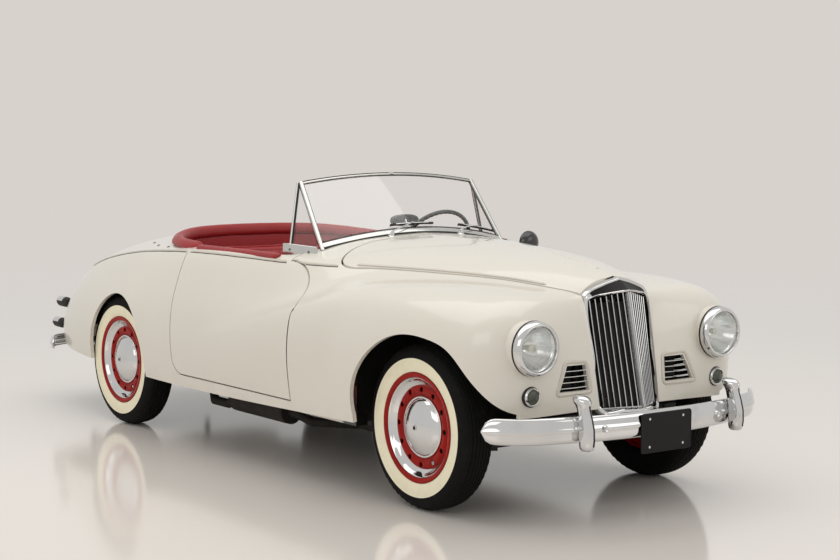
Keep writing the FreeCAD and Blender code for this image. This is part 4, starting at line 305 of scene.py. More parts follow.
@dataclass(frozen=True)
class Leather(Finish):
    """Grained hide with creases and worn, lighter high spots."""

    pore: float = 700.0

    def build(self) -> bpy.types.Material:
        """Pebbles from cells, long creases from stretched clouds, wear where they rise."""
        recipe = Recipe(self.name)
        pebble = recipe.cells(self.pore)
        crease = recipe.noise(45, 6).ramp(0.42, 0.62)
        worn = recipe.blend(crease * 0.35, self.tones(recipe), shade(*self.colour, 1.45))
        colour = recipe.blend(pebble.ramp(0.0, 0.6) * 0.35, shade(*self.colour, 0.62), worn)
        normal = recipe.bump(crease, 0.25, 0.0012, recipe.bump(pebble, 0.35, 0.0006))
        return recipe.finish(Base_Color=colour, Roughness=self.gloss(recipe, 90, 0.2), Normal=normal)


@dataclass(frozen=True)
class Rubber(Finish):
    """Moulded rubber with dust in its pores."""

    dust: tuple[float, float, float] = (92, 86, 76)
    dusty: float = 0.18
    shine: float = 0.5

    def build(self) -> bpy.types.Material:
        """Dark tones with a film of dust in patches and a fine moulded grain."""
        recipe = Recipe(self.name)
        film = recipe.noise(22, 6).ramp(0.45, 0.8) * self.dusty
        colour = recipe.blend(film, self.tones(recipe), shade(*self.dust))
        grain = recipe.bump(recipe.noise(900, 2), 0.2, 0.0004)
        return recipe.finish(Base_Color=colour, Roughness=self.gloss(recipe, 50, 0.15) + film * 0.3, Normal=grain,
                             Specular_IOR_Level=self.shine)


@dataclass(frozen=True)
class Pile(Finish):
    """Carpet or cloth pile."""

    tuft: float = 420.0

    def build(self) -> bpy.types.Material:
        """Gaps between tufts darkened as painted shade, lighter tips."""
        recipe = Recipe(self.name)
        tuft = recipe.cells(self.tuft)
        # painted shade: the low gaps between tufts are darkened
        colour = recipe.blend(tuft.ramp(0.1, 0.7), shade(*self.colour, 0.45), self.tones(recipe))
        return recipe.finish(Base_Color=colour, Roughness=self.gloss(recipe, 30, 0.05), Sheen_Weight=0.3,
                             Normal=recipe.bump(tuft, 0.8, 0.0025, recipe.bump(recipe.noise(120, 4), 0.3, 0.002)))


@dataclass(frozen=True)
class Pane(Finish):
    """Thin clear glass: nothing of it shows but what it mirrors."""

    seen: float = 0.045

    def build(self) -> bpy.types.Material:
        """Mirror of a few hundredths of weight, more where it is seen from the side, with a film of dust."""
        recipe = Recipe(self.name)
        edge = recipe.node("ShaderNodeLayerWeight", {}, {"Blend": 0.3}, "Facing")
        film = recipe.noise(12, 5).ramp(0.5, 0.9)
        return recipe.finish(Base_Color=self.tones(recipe), Metallic=1.0, Roughness=film * 0.04 + self.roughness,
                             Alpha=edge * edge * 0.12 + self.seen,
                             Normal=recipe.bump(recipe.noise(18, 1), 0.02, 0.0005))


@dataclass(frozen=True)
class Glass(Finish):
    """Clear or tinted glass with a film of dust."""

    ior: float = 1.45
    wave: float = 0.02

    def build(self) -> bpy.types.Material:
        """Transmission with a faint ripple and a gloss that wanders with the dust."""
        recipe = Recipe(self.name)
        film = recipe.noise(12, 5).ramp(0.5, 0.9)
        return recipe.finish(Base_Color=self.tones(recipe), Roughness=film * 0.04 + self.roughness, IOR=self.ior,
                             Transmission_Weight=1.0, Normal=recipe.bump(recipe.noise(18, 1), self.wave, 0.0005))


IVORY = Paint("ivory_enamel", BODY_ENAMEL, 0.012, 0.30, 1.2, coat=0.7)
WING_IVORY = WingPaint("ivory_wing_enamel", BODY_ENAMEL, 0.012, 0.30, 1.2, coat=0.7)
SILL_IVORY = ArchShadedSillPaint("ivory_sill_enamel_arch_shade", BODY_ENAMEL, 0.012, 0.30, 1.2, coat=0.5)
IVORY_TRIM = Paint("ivory_trim_enamel", (206, 199, 186), 0.012, 0.32, 2.0)
WHEEL_RED = Paint("wheel_red_enamel", (148, 18, 8), 0.10, 0.36, 6.0, coat=0.05, dust=0.0, shine=0.15)
CHROME = Metal("chrome_plate", (214, 214, 214), 0.03, 0.07, 5.0, grain=0.02)
BRIGHT = Metal("polished_trim", (206, 206, 202), 0.04, 0.14, 5.0, grain=0.05)
MIRROR_SILVER = Metal("mirror_silver", (235, 236, 236), 0.01, 0.04, 2.0, grain=0.0)
REFLECTOR = Metal("lamp_reflector", (225, 226, 224), 0.02, 0.16, 8.0, grain=0.05)
STEEL = Metal("worn_steel", (120, 118, 114), 0.15, 0.42, 8.0, grain=0.3)
IRON = Metal("cast_iron", (74, 72, 70), 0.2, 0.62, 12.0, metallic=0.6, grain=0.9)
ENGINE_ENAMEL = Metal("engine_enamel", (58, 66, 62), 0.15, 0.5, 8.0, metallic=0.1, grain=0.6)
FRAME_BLACK = Metal("frame_black", (26, 25, 24), 0.25, 0.55, 6.0, metallic=0.1, grain=0.5)
RUST = Metal("exhaust_scale", (46, 40, 36), 0.3, 0.75, 20.0, metallic=0.2, grain=0.9)
RED_HIDE = Leather("red_hide", (172, 30, 34), 0.08, 0.40, 5.0)
RED_PIPING = Leather("red_piping", (176, 30, 38), 0.06, 0.38, 5.0, pore=1100)
RED_CARPET = Pile("red_carpet", (112, 18, 24), 0.12, 0.95, 6.0)
TYRE_BLACK = Rubber("tyre_black", (11, 11, 11), 0.15, 0.72, 6.0, dusty=0.04, shine=0.15)
WHITEWALL = Rubber("whitewall_cream", (243, 236, 208), 0.02, 0.5, 9.0, dust=(205, 188, 150), dusty=0.16)
SEAL = Rubber("black_seal", (20, 20, 20), 0.2, 0.6, 9.0, dusty=0.08)
MAT_RUBBER = Rubber("ribbed_mat", (30, 29, 28), 0.2, 0.7, 9.0)
BAKELITE = Paint("black_moulding", (14, 14, 15), 0.2, 0.22, 5.0, coat=0.8, dust=0.0)
PLATE_ENAMEL = Paint("plate_enamel", (17, 16, 18), 0.2, 0.40, 8.0, coat=0.05, dust=0.0, shine=0.2)
DIAL_FACE = Paint("dial_face", (225, 220, 200), 0.03, 0.4, 9.0, coat=0.2, dust=0.0)
DIAL_INK = Paint("dial_ink", (24, 20, 18), 0.1, 0.5, 9.0, coat=0.0, dust=0.0)
CLEAR = Pane("pane_glass", (246, 250, 248), 0.004, 0.02, 2.0)
LENS = Pane("lamp_glass", (240, 246, 246), 0.004, 0.06, 2.0, seen=0.10)
SIDE_GLASS = Glass("side_lamp_glass", (170, 178, 168), 0.02, 0.10, 9.0, wave=0.2)
RED_LENS = Glass("red_lens", (190, 16, 14), 0.05, 0.05, 9.0, wave=0.1)


@dataclass
class Shell:
    """Points with four-cornered and three-cornered faces, each face with the number of its finish."""

    points: Array
    quads: Array
    tris: Array
    quad_finish: Array
    tri_finish: Array

    def turned(self, axis: Sequence[float], angle: float, centre: Sequence[float] = (0, 0, 0)) -> "Shell":
        """The same surface, turned about an axis through a centre by an angle in degrees."""
        return replace(self, points=turn(self.points, axis, angle, centre))

    def mirrored(self) -> "Shell":
        """The same surface on the other side of the car, with its faces turned over."""
        return replace(self, points=self.points * (1, -1, 1), quads=self.quads[:, ::-1], tris=self.tris[:, ::-1])


def unit(vectors: Array) -> Array:
    """Vectors of length 1."""
    length = np.linalg.norm(vectors, axis=-1, keepdims=True)
    return vectors / np.where(length > 1e-12, length, 1)


def turn(points: Array, axis: Sequence[float], angle: float, centre: Sequence[float] = (0, 0, 0)) -> Array:
    """Points turned about an axis: the part along it stays, the rest turns by the angle in degrees.

    Args: points: places. axis: direction. angle: degrees. centre: a point of the axis.
    Returns: the turned points.
    """
    k, c = unit(np.asarray(axis, float)), np.asarray(centre, float)
    rel, a = points - c, math.radians(angle)
    return c + rel * math.cos(a) + np.cross(k, rel) * math.sin(a) + (rel @ k)[..., None] * k * (1 - math.cos(a))


def grid(points: Array, round_u: bool = False, round_v: bool = False, ends: bool = False,
         finish: Any = 0) -> Shell:
    """Surface through rows and columns of points.

    Args: points: array of rows, columns and 3. round_u: the last row joins the first. round_v: the last
        column joins the first. ends: a fan to the middle closes the first and last row. finish: its number,
        or one for each column.
    Returns: the surface.
    """
    rows, columns = points.shape[:2]
    index = np.arange(rows * columns).reshape(rows, columns)
    if round_u:
        index = np.vstack([index, index[:1]])
    if round_v:
        index = np.hstack([index, index[:, :1]])
    quads = np.stack([index[:-1, :-1], index[1:, :-1], index[1:, 1:], index[:-1, 1:]], -1)
    each = np.broadcast_to(np.resize(finish, quads.shape[1]), quads.shape[:2]).reshape(-1)
    quads = quads.reshape(-1, 4)
    flat, tris = points.reshape(-1, 3), np.zeros((0, 3), int)
    if ends:
        flat = np.vstack([flat, points[0].mean(0), points[-1].mean(0)])
        first, last, count = index[0], index[-1], rows * columns
        tris = np.vstack([np.stack([np.full(len(first) - 1, count), first[:-1], first[1:]], -1),
                          np.stack([np.full(len(last) - 1, count + 1), last[1:], last[:-1]], -1)])
    return Shell(flat, quads, tris, each, np.full(len(tris), np.max(finish)))


def joined(shells: Iterable[Shell]) -> Shell:
    """Several surfaces as one."""
    shells = list(shells)
    starts = np.cumsum([0] + [len(s.points) for s in shells[:-1]])
    return Shell(np.vstack([s.points for s in shells]), np.vstack([s.quads + n for s, n in zip(shells, starts)]),
                 np.vstack([s.tris + n for s, n in zip(shells, starts)]),
                 np.concatenate([s.quad_finish for s in shells]), np.concatenate([s.tri_finish for s in shells]))


def both(shell: Shell) -> Shell:
    """A surface and its mirror image."""
    return joined([shell, shell.mirrored()])


def spline(knots: Sequence[Sequence[float]], count: int, closed: bool = False) -> Array:
    """Smooth line through knots: between each pair a cubic whose slopes are the knots' chords.

    Args: knots: the points. count: how many points the line gets. closed: it returns to its start.
    Returns: points spaced evenly by knot distance.
    """
    k = np.asarray(knots, float)
    if closed:
        k = np.vstack([k[-1:], k, k[:2]])
    step = np.linalg.norm(np.diff(k, axis=0), axis=1)
    at = np.concatenate([[0], np.cumsum(np.maximum(step, 1e-9))])
    slope = np.gradient(k, at, axis=0)
    low, high = (at[1], at[-2]) if closed else (at[0], at[-1])
    t = np.linspace(low, high, count, endpoint=not closed)
    i = np.clip(np.searchsorted(at, t, side="right") - 1, 0, len(k) - 2)
    span = (at[i + 1] - at[i])[:, None]
    s = ((t - at[i]) / span[:, 0])[:, None]
    return ((2 * s ** 3 - 3 * s ** 2 + 1) * k[i] + (s ** 3 - 2 * s ** 2 + s) * span * slope[i]
            + (3 * s ** 2 - 2 * s ** 3) * k[i + 1] + (s ** 3 - s ** 2) * span * slope[i + 1])


def sweep(path: Array, profile: Array, up: Any = UP, closed: bool = False, open_profile: bool = False,
          finish: int = 0) -> Shell:
    """Profile carried along a path: side is up x along, and the profile lies in side and its upright.

    Args: path: points. profile: (side, up) pairs, one set or one for each path point. up: direction, or one
        for each point. closed: the path returns to its start. open_profile: it isn't a ring. finish: number.
    Returns: the surface, closed at its ends.
    """
    along = (np.roll(path, -1, 0) - np.roll(path, 1, 0)) if closed else np.gradient(path, axis=0)
    along = unit(along)
    side = unit(np.cross(np.broadcast_to(up, path.shape), along))
    top = np.cross(along, side)
    p = np.broadcast_to(profile, (len(path), *np.shape(profile)[-2:]))
    points = path[:, None] + side[:, None] * p[..., :1] + top[:, None] * p[..., 1:]
    return grid(points, round_u=closed, round_v=not open_profile, ends=not closed, finish=finish)


def circle(radius: float = 1.0, sides: int = 16, squash: float = 1.0) -> Array:
    """Round or oval profile."""
    a = np.linspace(0, 2 * math.pi, sides, endpoint=False)
    return np.stack([np.cos(a) * radius, np.sin(a) * radius * squash], -1)


def tube(path: Array, radius: Any, sides: int = 12, up: Any = UP, closed: bool = False, finish: int = 0) -> Shell:
    """Round bar along a path, with one radius or one for each point."""
    radii = np.broadcast_to(radius, (len(path),))[:, None, None]
    return sweep(path, circle(1, sides) * radii, up, closed, finish=finish)


def lathe(profile: Sequence[Sequence[float]], centre: Sequence[float], axis: Sequence[float], sides: int = 64,
          finish: Any = 0, closed: bool = True, arc: Optional[tuple[float, float]] = None) -> Shell:
    """Profile turned about an axis.

    Args: profile: (distance along the axis, radius) pairs. centre, axis: where it turns. sides: steps round.
        finish: number. closed: the profile returns to its start. arc: first and last angle of a part turn.
    Returns: the surface.
    """
    p, axis = np.asarray(profile, float), unit(np.asarray(axis, float))
    first = unit(np.cross(axis, UP if abs(axis[2]) < 0.9 else AHEAD))
    second = np.cross(axis, first)
    a = np.radians(np.linspace(*arc, sides)) if arc else np.linspace(0, 2 * math.pi, sides, endpoint=False)
    ring = np.cos(a)[:, None] * first + np.sin(a)[:, None] * second
    points = np.asarray(centre) + ring[:, None] * p[None, :, 1:] + axis * p[None, :, :1]
    return grid(points, round_u=not arc, round_v=closed, ends=bool(arc), finish=finish)


def slab(outline: Array, centre: Sequence[float], side: Sequence[float], top: Sequence[float], depth: float,
         bevel: float = 0.001, finish: int = 0) -> Shell:
    """Plate from an outline, with bevelled edges.

    Args: outline: (side, top) pairs round it. centre: middle of its back. side, top: its directions.
        depth: how far it rises towards side x top. bevel: width of its edge. finish: number.
    Returns: the closed surface.
    """
    out = np.asarray(outline, float)
    along = unit(np.roll(out, -1, 0) - np.roll(out, 1, 0))
    turning = np.sign(np.sum(out[:, 0] * np.roll(out[:, 1], -1) - np.roll(out[:, 0], -1) * out[:, 1]))
    inner = out - np.stack([along[:, 1], -along[:, 0]], -1) * bevel * turning
    side, top = unit(np.asarray(side, float)), unit(np.asarray(top, float))
    up = np.cross(side, top)
    rings = [(inner, 0.0), (out, bevel), (out, depth - bevel), (inner, depth)]
    points = np.stack([np.asarray(centre) + r[:, :1] * side + r[:, 1:] * top + up * h for r, h in rings])
    return grid(points, round_v=True, ends=True, finish=finish)


def rounded(width: float, height: float, radius: float, steps: int = 6) -> Array:
    """Rectangle outline with round corners, counted from its middle.

    Args: width, height: its sides. radius: of the corners. steps: points a corner.
    Returns: pairs round it.
    """
    a = np.linspace(0, math.pi / 2, steps)
    corner = np.stack([np.cos(a), np.sin(a)], -1) * radius
    w, h = width / 2 - radius, height / 2 - radius
    turns = [(w, h, 0), (-w, h, 1), (-w, -h, 2), (w, -h, 3)]
    spin = [np.array([[math.cos(k * math.pi / 2), -math.sin(k * math.pi / 2)],
                      [math.sin(k * math.pi / 2), math.cos(k * math.pi / 2)]]) for k in range(4)]
    return np.vstack([corner @ spin[k].T + (x, y) for x, y, k in turns])


def brick(low: Sequence[float], high: Sequence[float], radius: float = 0.003, finish: int = 0) -> Shell:
    """Block between two corners with rounded upright edges and bevelled top and bottom.

    Args: low, high: opposite corners. radius: of the upright edges. finish: number.
    Returns: the closed surface.
    """
    low, high = np.asarray(low, float), np.asarray(high, float)
    size, middle = high - low, (low + high) / 2
    outline = rounded(size[0], size[1], min(radius, size[0] * 0.49, size[1] * 0.49), 4)
    return slab(outline, (middle[0], middle[1], low[2]), AHEAD, ACROSS, size[2], min(radius, size[2] / 3) * 0.6,
                finish)


class Body(Enum):
    """The bodies that pieces ride on."""

    CAR = "car_body"
    DOOR_RIGHT = "door_right_body"
    DOOR_LEFT = "door_left_body"
    BONNET = "bonnet_body"
    BOOT_LID = "boot_lid_body"
    STEERING = "steering_wheel_body"


@dataclass
class Piece:
    """One object of the scene: a surface with its finishes, its body and a slot name."""

    name: str
    shell: Shell
    finishes: Sequence[Finish]
    body: str
    slot: str
    replaces: Sequence[str] = ()
    crease: float = 34.0

    def build(self) -> bpy.types.Object:
        """Puts the arrays into a mesh, welds it, points its faces outwards and hangs it on its body."""
        mesh = bpy.data.meshes.new(self.name)
        faces = self.shell.quads.tolist() + self.shell.tris.tolist()
        mesh.from_pydata(self.shell.points.tolist(), [], faces)
        mesh.polygons.foreach_set("material_index", np.concatenate([self.shell.quad_finish, self.shell.tri_finish]))
        tidy(mesh, self.crease)
        for finish in self.finishes:
            mesh.materials.append(finish.make())
        made = linked(self.name, mesh)
        settle(made, self.body, self.replaces)
        return made


def tidy(mesh: bpy.types.Mesh, crease: float) -> None:
    """Merges doubles, points faces outwards and smooths all but edges sharper than the crease."""
    work = bmesh.new()
    work.from_mesh(mesh)
    bmesh.ops.remove_doubles(work, verts=work.verts, dist=2e-6)
    bmesh.ops.recalc_face_normals(work, faces=work.faces)
    work.to_mesh(mesh)
    work.free()
    mesh.polygons.foreach_set("use_smooth", np.ones(len(mesh.polygons), bool))
    mesh.set_sharp_from_angle(angle=math.radians(crease))


def linked(name: str, data: bpy.types.ID) -> bpy.types.Object:
    """New object in the scene that shows some data."""
    made = bpy.data.objects.new(name, data)
    bpy.context.scene.collection.objects.link(made)
    return made


def settle(made: bpy.types.Object, body: str, replaces: Sequence[str] = ()) -> None:
    """Hangs a piece on its body, hides the CAD nodes it stands for and logs its face count.

    Args: made: the object. body: what it rides on. replaces: CAD nodes.
    """
    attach(made, body)
    if replaces:
        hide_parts(*replaces)
    LOG.info("%s: %d faces", made.name, len(made.data.polygons))


def station(share: float) -> float:
    """Distance along the car: shares of the front overhang below 0, the wheelbase to 1, the rear overhang on."""
    if share < 0:
        return FRONT_AXLE - share * FRONT_OVERHANG
    return FRONT_AXLE - share * WHEELBASE if share <= 1 else REAR_AXLE - (share - 1) * REAR_OVERHANG


def place(share: float, half: float, height: float) -> Array:
    """Point on the right half of the car from its station, half width and height shares."""
    return np.array([station(share), -half * HALF_WIDTH, height * HEIGHT_UNIT])


@dataclass
class Studio:
    """Pale floor, soft light and the camera of the photograph."""

    camera_at: tuple[float, float, float] = (6.688, -4.603, 1.487)
    heading: float = 36.73
    dip: float = 4.95
    roll: float = 0.355
    lens: float = 72.42
    sensor: float = 36.0
    backdrop: tuple[float, float, float] = (216, 210, 205)
    floor_tones: tuple = ((230, 224, 218), (234, 228, 222))
    floor_mirror: float = 0.75
    floor_fade: tuple[float, float] = (4.5, 13)
    world_light: float = 0.72
    lamps: tuple = (("overhead", (0.5, -0.5, 4.6), (0, 0, 0.4), (7.5, 3.6), 92),
                    ("near_side", (3.0, -6.5, 3.4), (0.4, 0, 0.5), (5.0, 2.6), 46),
                    ("nose_side", (7.5, 3.0, 3.2), (1.2, 0, 0.6), (4.0, 2.4), 30))

    def camera(self) -> None:
        """Camera that looks back along the car at the measured heading, dip and roll."""
        data = bpy.data.cameras.new("camera")
        data.lens, data.sensor_width = self.lens, self.sensor
        a, t = math.radians(self.heading), math.radians(self.dip)
        look = Vector((-math.cos(a) * math.cos(t), math.sin(a) * math.cos(t), -math.sin(t)))
        made = linked("camera", data)
        made.matrix_world = look.to_track_quat("-Z", "Y").to_matrix().to_4x4()
        made.rotation_euler.rotate_axis("Z", math.radians(self.roll))
        made.location = self.camera_at
        bpy.context.scene.camera = made

    def floor(self) -> None:
        """Round pale floor whose rim fades into the backdrop: alpha falls with the distance from the car."""
        radii = np.concatenate([np.linspace(0, 6, 13), np.geomspace(6.5, 40, 14)])
        a = np.linspace(0, 2 * math.pi, 96, endpoint=False)
        points = np.stack([np.outer(radii, np.cos(a)), np.outer(radii, np.sin(a)), np.zeros((len(radii), 96))], -1)
        shell = grid(points, round_v=True)
        mesh = bpy.data.meshes.new("studio_floor")
        mesh.from_pydata(shell.points.tolist(), [], shell.quads.tolist())
        tidy(mesh, 30)
        made = linked("studio_floor", mesh)
        recipe = Recipe("studio_floor")
        recipe.shader.inputs["Specular IOR Level"].default_value = self.floor_mirror
        far = recipe.node("ShaderNodeVectorMath", {"operation": "LENGTH"}, {0: recipe.place()}, "Value")
        tone = recipe.blend(recipe.noise(0.35, 3), *(shade(*tone) for tone in self.floor_tones))
        grain = recipe.bump(recipe.noise(30, 4), 0.03, 0.002)
        recipe.finish(Base_Color=tone, Roughness=recipe.noise(2, 3) * 0.06 + 0.09,
                      Alpha=far.ramp(*self.floor_fade, 1, 0), Normal=grain)
        mesh.materials.append(recipe.material)

    def sky(self) -> None:
        """World: soft light, and the backdrop's own colour wherever it is seen directly."""
        world = bpy.data.worlds.new("studio")
        bpy.context.scene.world = world
        world.use_nodes = True
        tree = world.node_tree
        tree.nodes.clear()
        out = tree.nodes.new("ShaderNodeOutputWorld")
        seen, soft = tree.nodes.new("ShaderNodeBackground"), tree.nodes.new("ShaderNodeBackground")
        mixed = tree.nodes.new("ShaderNodeMixShader")
        path = tree.nodes.new("ShaderNodeLightPath")
        seen.inputs[0].default_value = shade(*self.backdrop)
        soft.inputs[0].default_value = (1.0, 0.985, 0.96, 1.0)
        soft.inputs[1].default_value = self.world_light
        largest = tree.nodes.new("ShaderNodeMath")
        largest.operation = "MAXIMUM"
        tree.links.new(path.outputs["Is Camera Ray"], largest.inputs[0])
        tree.links.new(path.outputs["Is Transmission Ray"], largest.inputs[1])
        tree.links.new(largest.outputs[0], mixed.inputs[0])
        tree.links.new(soft.outputs[0], mixed.inputs[1])
        tree.links.new(seen.outputs[0], mixed.inputs[2])
        tree.links.new(mixed.outputs[0], out.inputs[0])

    def lamp(self, name: str, at: Sequence[float], aim: Sequence[float], size: Sequence[float],
             power: float) -> None:
        """Rectangular soft light.

        Args: name: its name. at: where it hangs. aim: what it points at. size: its two sides. power: watts.
        """
        data = bpy.data.lights.new(name, "AREA")
        data.shape, data.size, data.size_y, data.energy = "RECTANGLE", size[0], size[1], power
        data.color = (1.0, 0.98, 0.95)
        made = linked(name, data)
        made.location = at
        made.rotation_euler = (Vector(aim) - Vector(at)).to_track_quat("-Z", "Y").to_euler()

    def build(self) -> None:
        """Camera, floor, world and lamps."""
        scene = bpy.context.scene
        scene.view_settings.view_transform = "Standard"
        self.camera()
        self.floor()
        self.sky()
        for lamp in self.lamps:
            self.lamp(*lamp)


@dataclass
class FrameDress:
    """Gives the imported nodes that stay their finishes."""

    finishes: dict = field(default_factory=lambda: {
        "front_body": WING_IVORY, "rear_body": IVORY, "door_right": WING_IVORY, "door_left": WING_IVORY,
        "bonnet": IVORY, "boot_lid": IVORY, "sills_and_posts": SILL_IVORY, "dashboard": IVORY, "driveline": STEEL,
        "engine_block": ENGINE_ENAMEL, "exhaust_system": RUST, "knuckle_left": IRON, "knuckle_right": IRON,
        "rear_axle": IRON, "steering_column": BAKELITE,
    })

    def finish_of(self, name: str) -> Finish:
        """The finish of a node; the chassis parts, and the nodes that pieces replace, are frame black."""
        return self.finishes.get(name, FRAME_BLACK)

    def build(self) -> None:
        """Puts one finish on each node."""
        for name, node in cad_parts.items():
            node.data.materials.clear()
            node.data.materials.append(self.finish_of(name).make())
            LOG.info("%s: %s", name, self.finish_of(name).name)


@dataclass
class Wheel:
    """Steel wheel with bright ring and cap, on a ribbed tyre with a cream band."""

    corner: str
    centre: tuple[float, float, float]
    side: int
    radius: float = 0.331
    band: tuple[float, float] = (0.2190, 0.2745)
    hole_ring: float = 0.150
    hole: float = 0.0108
    holes: int = 12
    steps: int = 240
    grooves: tuple[float, ...] = (-0.040, -0.024, -0.008, 0.008, 0.024, 0.040)
    groove: float = 0.0055
    groove_half: float = 0.0019
    zigzag: float = 0.0016
    blocks: int = 60
    block: float = 0.0035

    def spun(self, along: Array, radius: Array, sides: int = 96, finish: Any = 0, closed: bool = True) -> Shell:
        """Lathe about this wheel's axle, outwards first."""
        return lathe(np.stack([along, radius], -1), self.centre, (0, self.side, 0), sides, finish, closed)

    def section(self) -> tuple[Array, Array]:
        """Outer line of the tyre from bead to bead: two bulged walls and a crown that falls as a power."""
        knots = [(0.0500, 0.2070), (0.0610, 0.2130), (0.0690, 0.2260), (0.0737, 0.2450), (0.0750, 0.2650),
                 (0.0738, 0.2850), (0.0690, 0.3030), (0.0600, 0.3180)]
        wall = spline(knots, 34)
        wall[:, 0] += 0.0012 * np.exp(-((wall[:, 1] - 0.2765) / 0.0018) ** 2)
        tread = np.linspace(0.056, -0.056, 66)
        crown = self.radius - 0.0105 * np.abs(tread / 0.058) ** 2.6
        line = np.vstack([wall, np.stack([tread, crown], -1), wall[::-1] * (-1, 1)])
        return line[:, 0], line[:, 1]

    def tyre(self) -> Piece:
        """Tyre: radius less grooves, each a narrow bell across the tread shifted by a zigzag round it."""
        along, radius = self.section()
        turns = np.linspace(0, 2 * math.pi, self.steps, endpoint=False)[:, None]
        zigzag = self.zigzag * (2 / math.pi) * np.arcsin(np.sin(turns * self.blocks))
        depth = np.zeros((self.steps, len(along)))
        for at in self.grooves:
            depth += self.groove * np.exp(-((along - at - zigzag) / self.groove_half) ** 4)
        shoulder = np.exp(-((np.abs(along) - 0.055) / 0.007) ** 4) * (radius > 0.30)
        depth += self.block * shoulder * (0.5 + 0.5 * np.tanh(6 * np.sin(turns * self.blocks)))
        lining_a = np.array([-0.046, -0.058, -0.059, -0.040, 0.040, 0.059, 0.058, 0.046])
        lining_r = np.array([0.207, 0.235, 0.290, 0.314, 0.314, 0.290, 0.235, 0.207])
        r = np.hstack([radius - depth, np.broadcast_to(lining_r, (self.steps, 8))])
        a = np.broadcast_to(np.concatenate([along, lining_a]), r.shape)
        ring = np.stack([np.cos(turns[:, 0]), np.zeros(self.steps), np.sin(turns[:, 0])], -1)
        points = np.asarray(self.centre) + ring[:, None] * r[..., None] + ACROSS * (a * self.side)[..., None]
        cream = np.zeros(r.shape[1], int)
        cream[:len(along)][(along > 0.05) & (radius > self.band[0]) & (radius < self.band[1])] = 1
        shell = grid(points, round_u=True, round_v=True, finish=cream)
        return Piece(f"tyre_tread_{self.corner}", shell, (TYRE_BLACK, WHITEWALL), self.body(), "tyre",
                     (f"tyre_{self.corner}",), 28)

    def body(self) -> str:
        """The body this wheel turns with."""
        return f"wheel_{self.corner}_body"

    def pierced_disc(self) -> Shell:
        """Disc with round holes: in each sector rings pass from the hole's circle to the sector's edge."""
        half = math.pi / self.holes
        phi = np.linspace(0, 2 * math.pi, 40, endpoint=False) + math.pi / 40
        inner, outer = 0.118, 0.186
        reach_r = np.where(np.cos(phi) > 0, outer - self.hole_ring, self.hole_ring - inner)
        scale = 1 / np.maximum(np.abs(np.cos(phi)) / reach_r, np.abs(np.sin(phi)) / (half * self.hole_ring))
        shares = np.array([0.0, 0.0, 0.12, 0.3, 0.55, 0.8, 1.0])
        size = self.hole * (1 - shares)[:, None] + scale * shares[:, None]
        dr, arc = size * np.cos(phi), size * np.sin(phi)
        r = self.hole_ring + dr
        rise = 0.034 + 0.012 * np.exp(-((r - 0.150) / 0.017) ** 4) - 0.010 * np.clip((r - 0.168) / 0.018, 0, 1)
        rise[0] -= 0.006
        rise[1] -= 0.0015
        pieces = []
        for k in range(self.holes):
            angle = arc / self.hole_ring + 2 * half * k
            points = np.stack([np.cos(angle) * r, rise * self.side, np.sin(angle) * r], -1)
            pieces.append(grid(points + self.centre, round_v=True))
        return joined(pieces)

    def steel(self) -> Piece:
        """Rim, its outer lip, pierced disc and plate in enamel; drum and hub in iron."""
        rim_a = np.array([.0590, .0610, .0605, .0560, .0535, .0525, .0330, .0230, -.0230, -.0330, -.0525, -.0560,
                          -.0610, -.0590, -.0560, -.0500, -.0300, -.0200, .0200, .0300, .0490, .0530, .0560])
        rim_r = np.array([.2160, .2195, .2215, .2215, .2150, .2065, .2055, .1865, .1865, .2055, .2065, .2150,
                          .2215, .2160, .2110, .2020, .2010, .1815, .1815, .2010, .2015, .2040, .2110])
        drum_a = np.array([.022, .030, .030, .026, -.017, -.022, -.022, .018])
        drum_r = np.array([.020, .020, .132, .139, .139, .1385, .1325, .1320])
        hub_a, hub_r = np.array([-.016, -.016, .048, .050, .050]), np.array([.0181, .040, .040, .036, .0181])
        back_a, back_r = np.array([.028, .028, .0345, .0345]), np.array([.036, .120, .120, .036])
        lip_a = np.array([.0640, .0664, .0682, .0698, .0702, .0692, .0672, .0652, .0636, .0600, .0596])
        lip_r = np.array([.1996, .2006, .2060, .2120, .2176, .2198, .2194, .2150, .2110, .2040, .2000])
        steel = joined([self.spun(rim_a, rim_r), self.spun(lip_a, lip_r, 120), self.pierced_disc(),
                        self.spun(back_a, back_r), self.spun(drum_a, drum_r, 72, 1), self.spun(hub_a, hub_r, 40, 1)])
        return Piece(f"wheel_disc_{self.corner}", steel, (WHEEL_RED, IRON), self.body(), "red_wheel",
                     (f"wheel_{self.corner}",), 30)

    def bright(self) -> Piece:
        """Beauty ring, and a bare cap with a dark line round its boss."""
        ring_a = np.array([.0625, .0632, .0618, .0570, .0505, .0447, .0406, .0381, .0370, .0385, .0430, .0545])
        ring_r = np.array([.1992, .1975, .1955, .1915, .1860, .1805, .1745, .1700, .1668, .1665, .1745, .1930])
        cap = spline([(.0300, .1150), (.0320, .1215), (.0360, .1235), (.0400, .1222), (.0415, .1180),
                      (.0405, .1150), (.0430, .1128), (.0500, .1050), (.0590, .0880), (.0670, .0660),
                      (.0728, .0400), (.0755, .0180), (.0760, .0125)], 60)
        boss = np.array([(.0760, .0125), (.0785, .0118), (.0788, .0085), (.0775, .0070), (.0775, 0), (.0700, 0),
                         (.0650, .0300), (.0480, .0900), (.0300, .1120)])
        line = np.vstack([cap, boss])
        dark = np.zeros(len(line), int)
        dark[len(cap) + 2:len(cap) + 4] = 1
        bright = joined([self.spun(ring_a, ring_r, 120), self.spun(line[:, 0], line[:, 1], 120, dark)])
        return Piece(f"wheel_bright_{self.corner}", bright, (CHROME, PLATE_ENAMEL), self.body(), "chrome", (), 40)

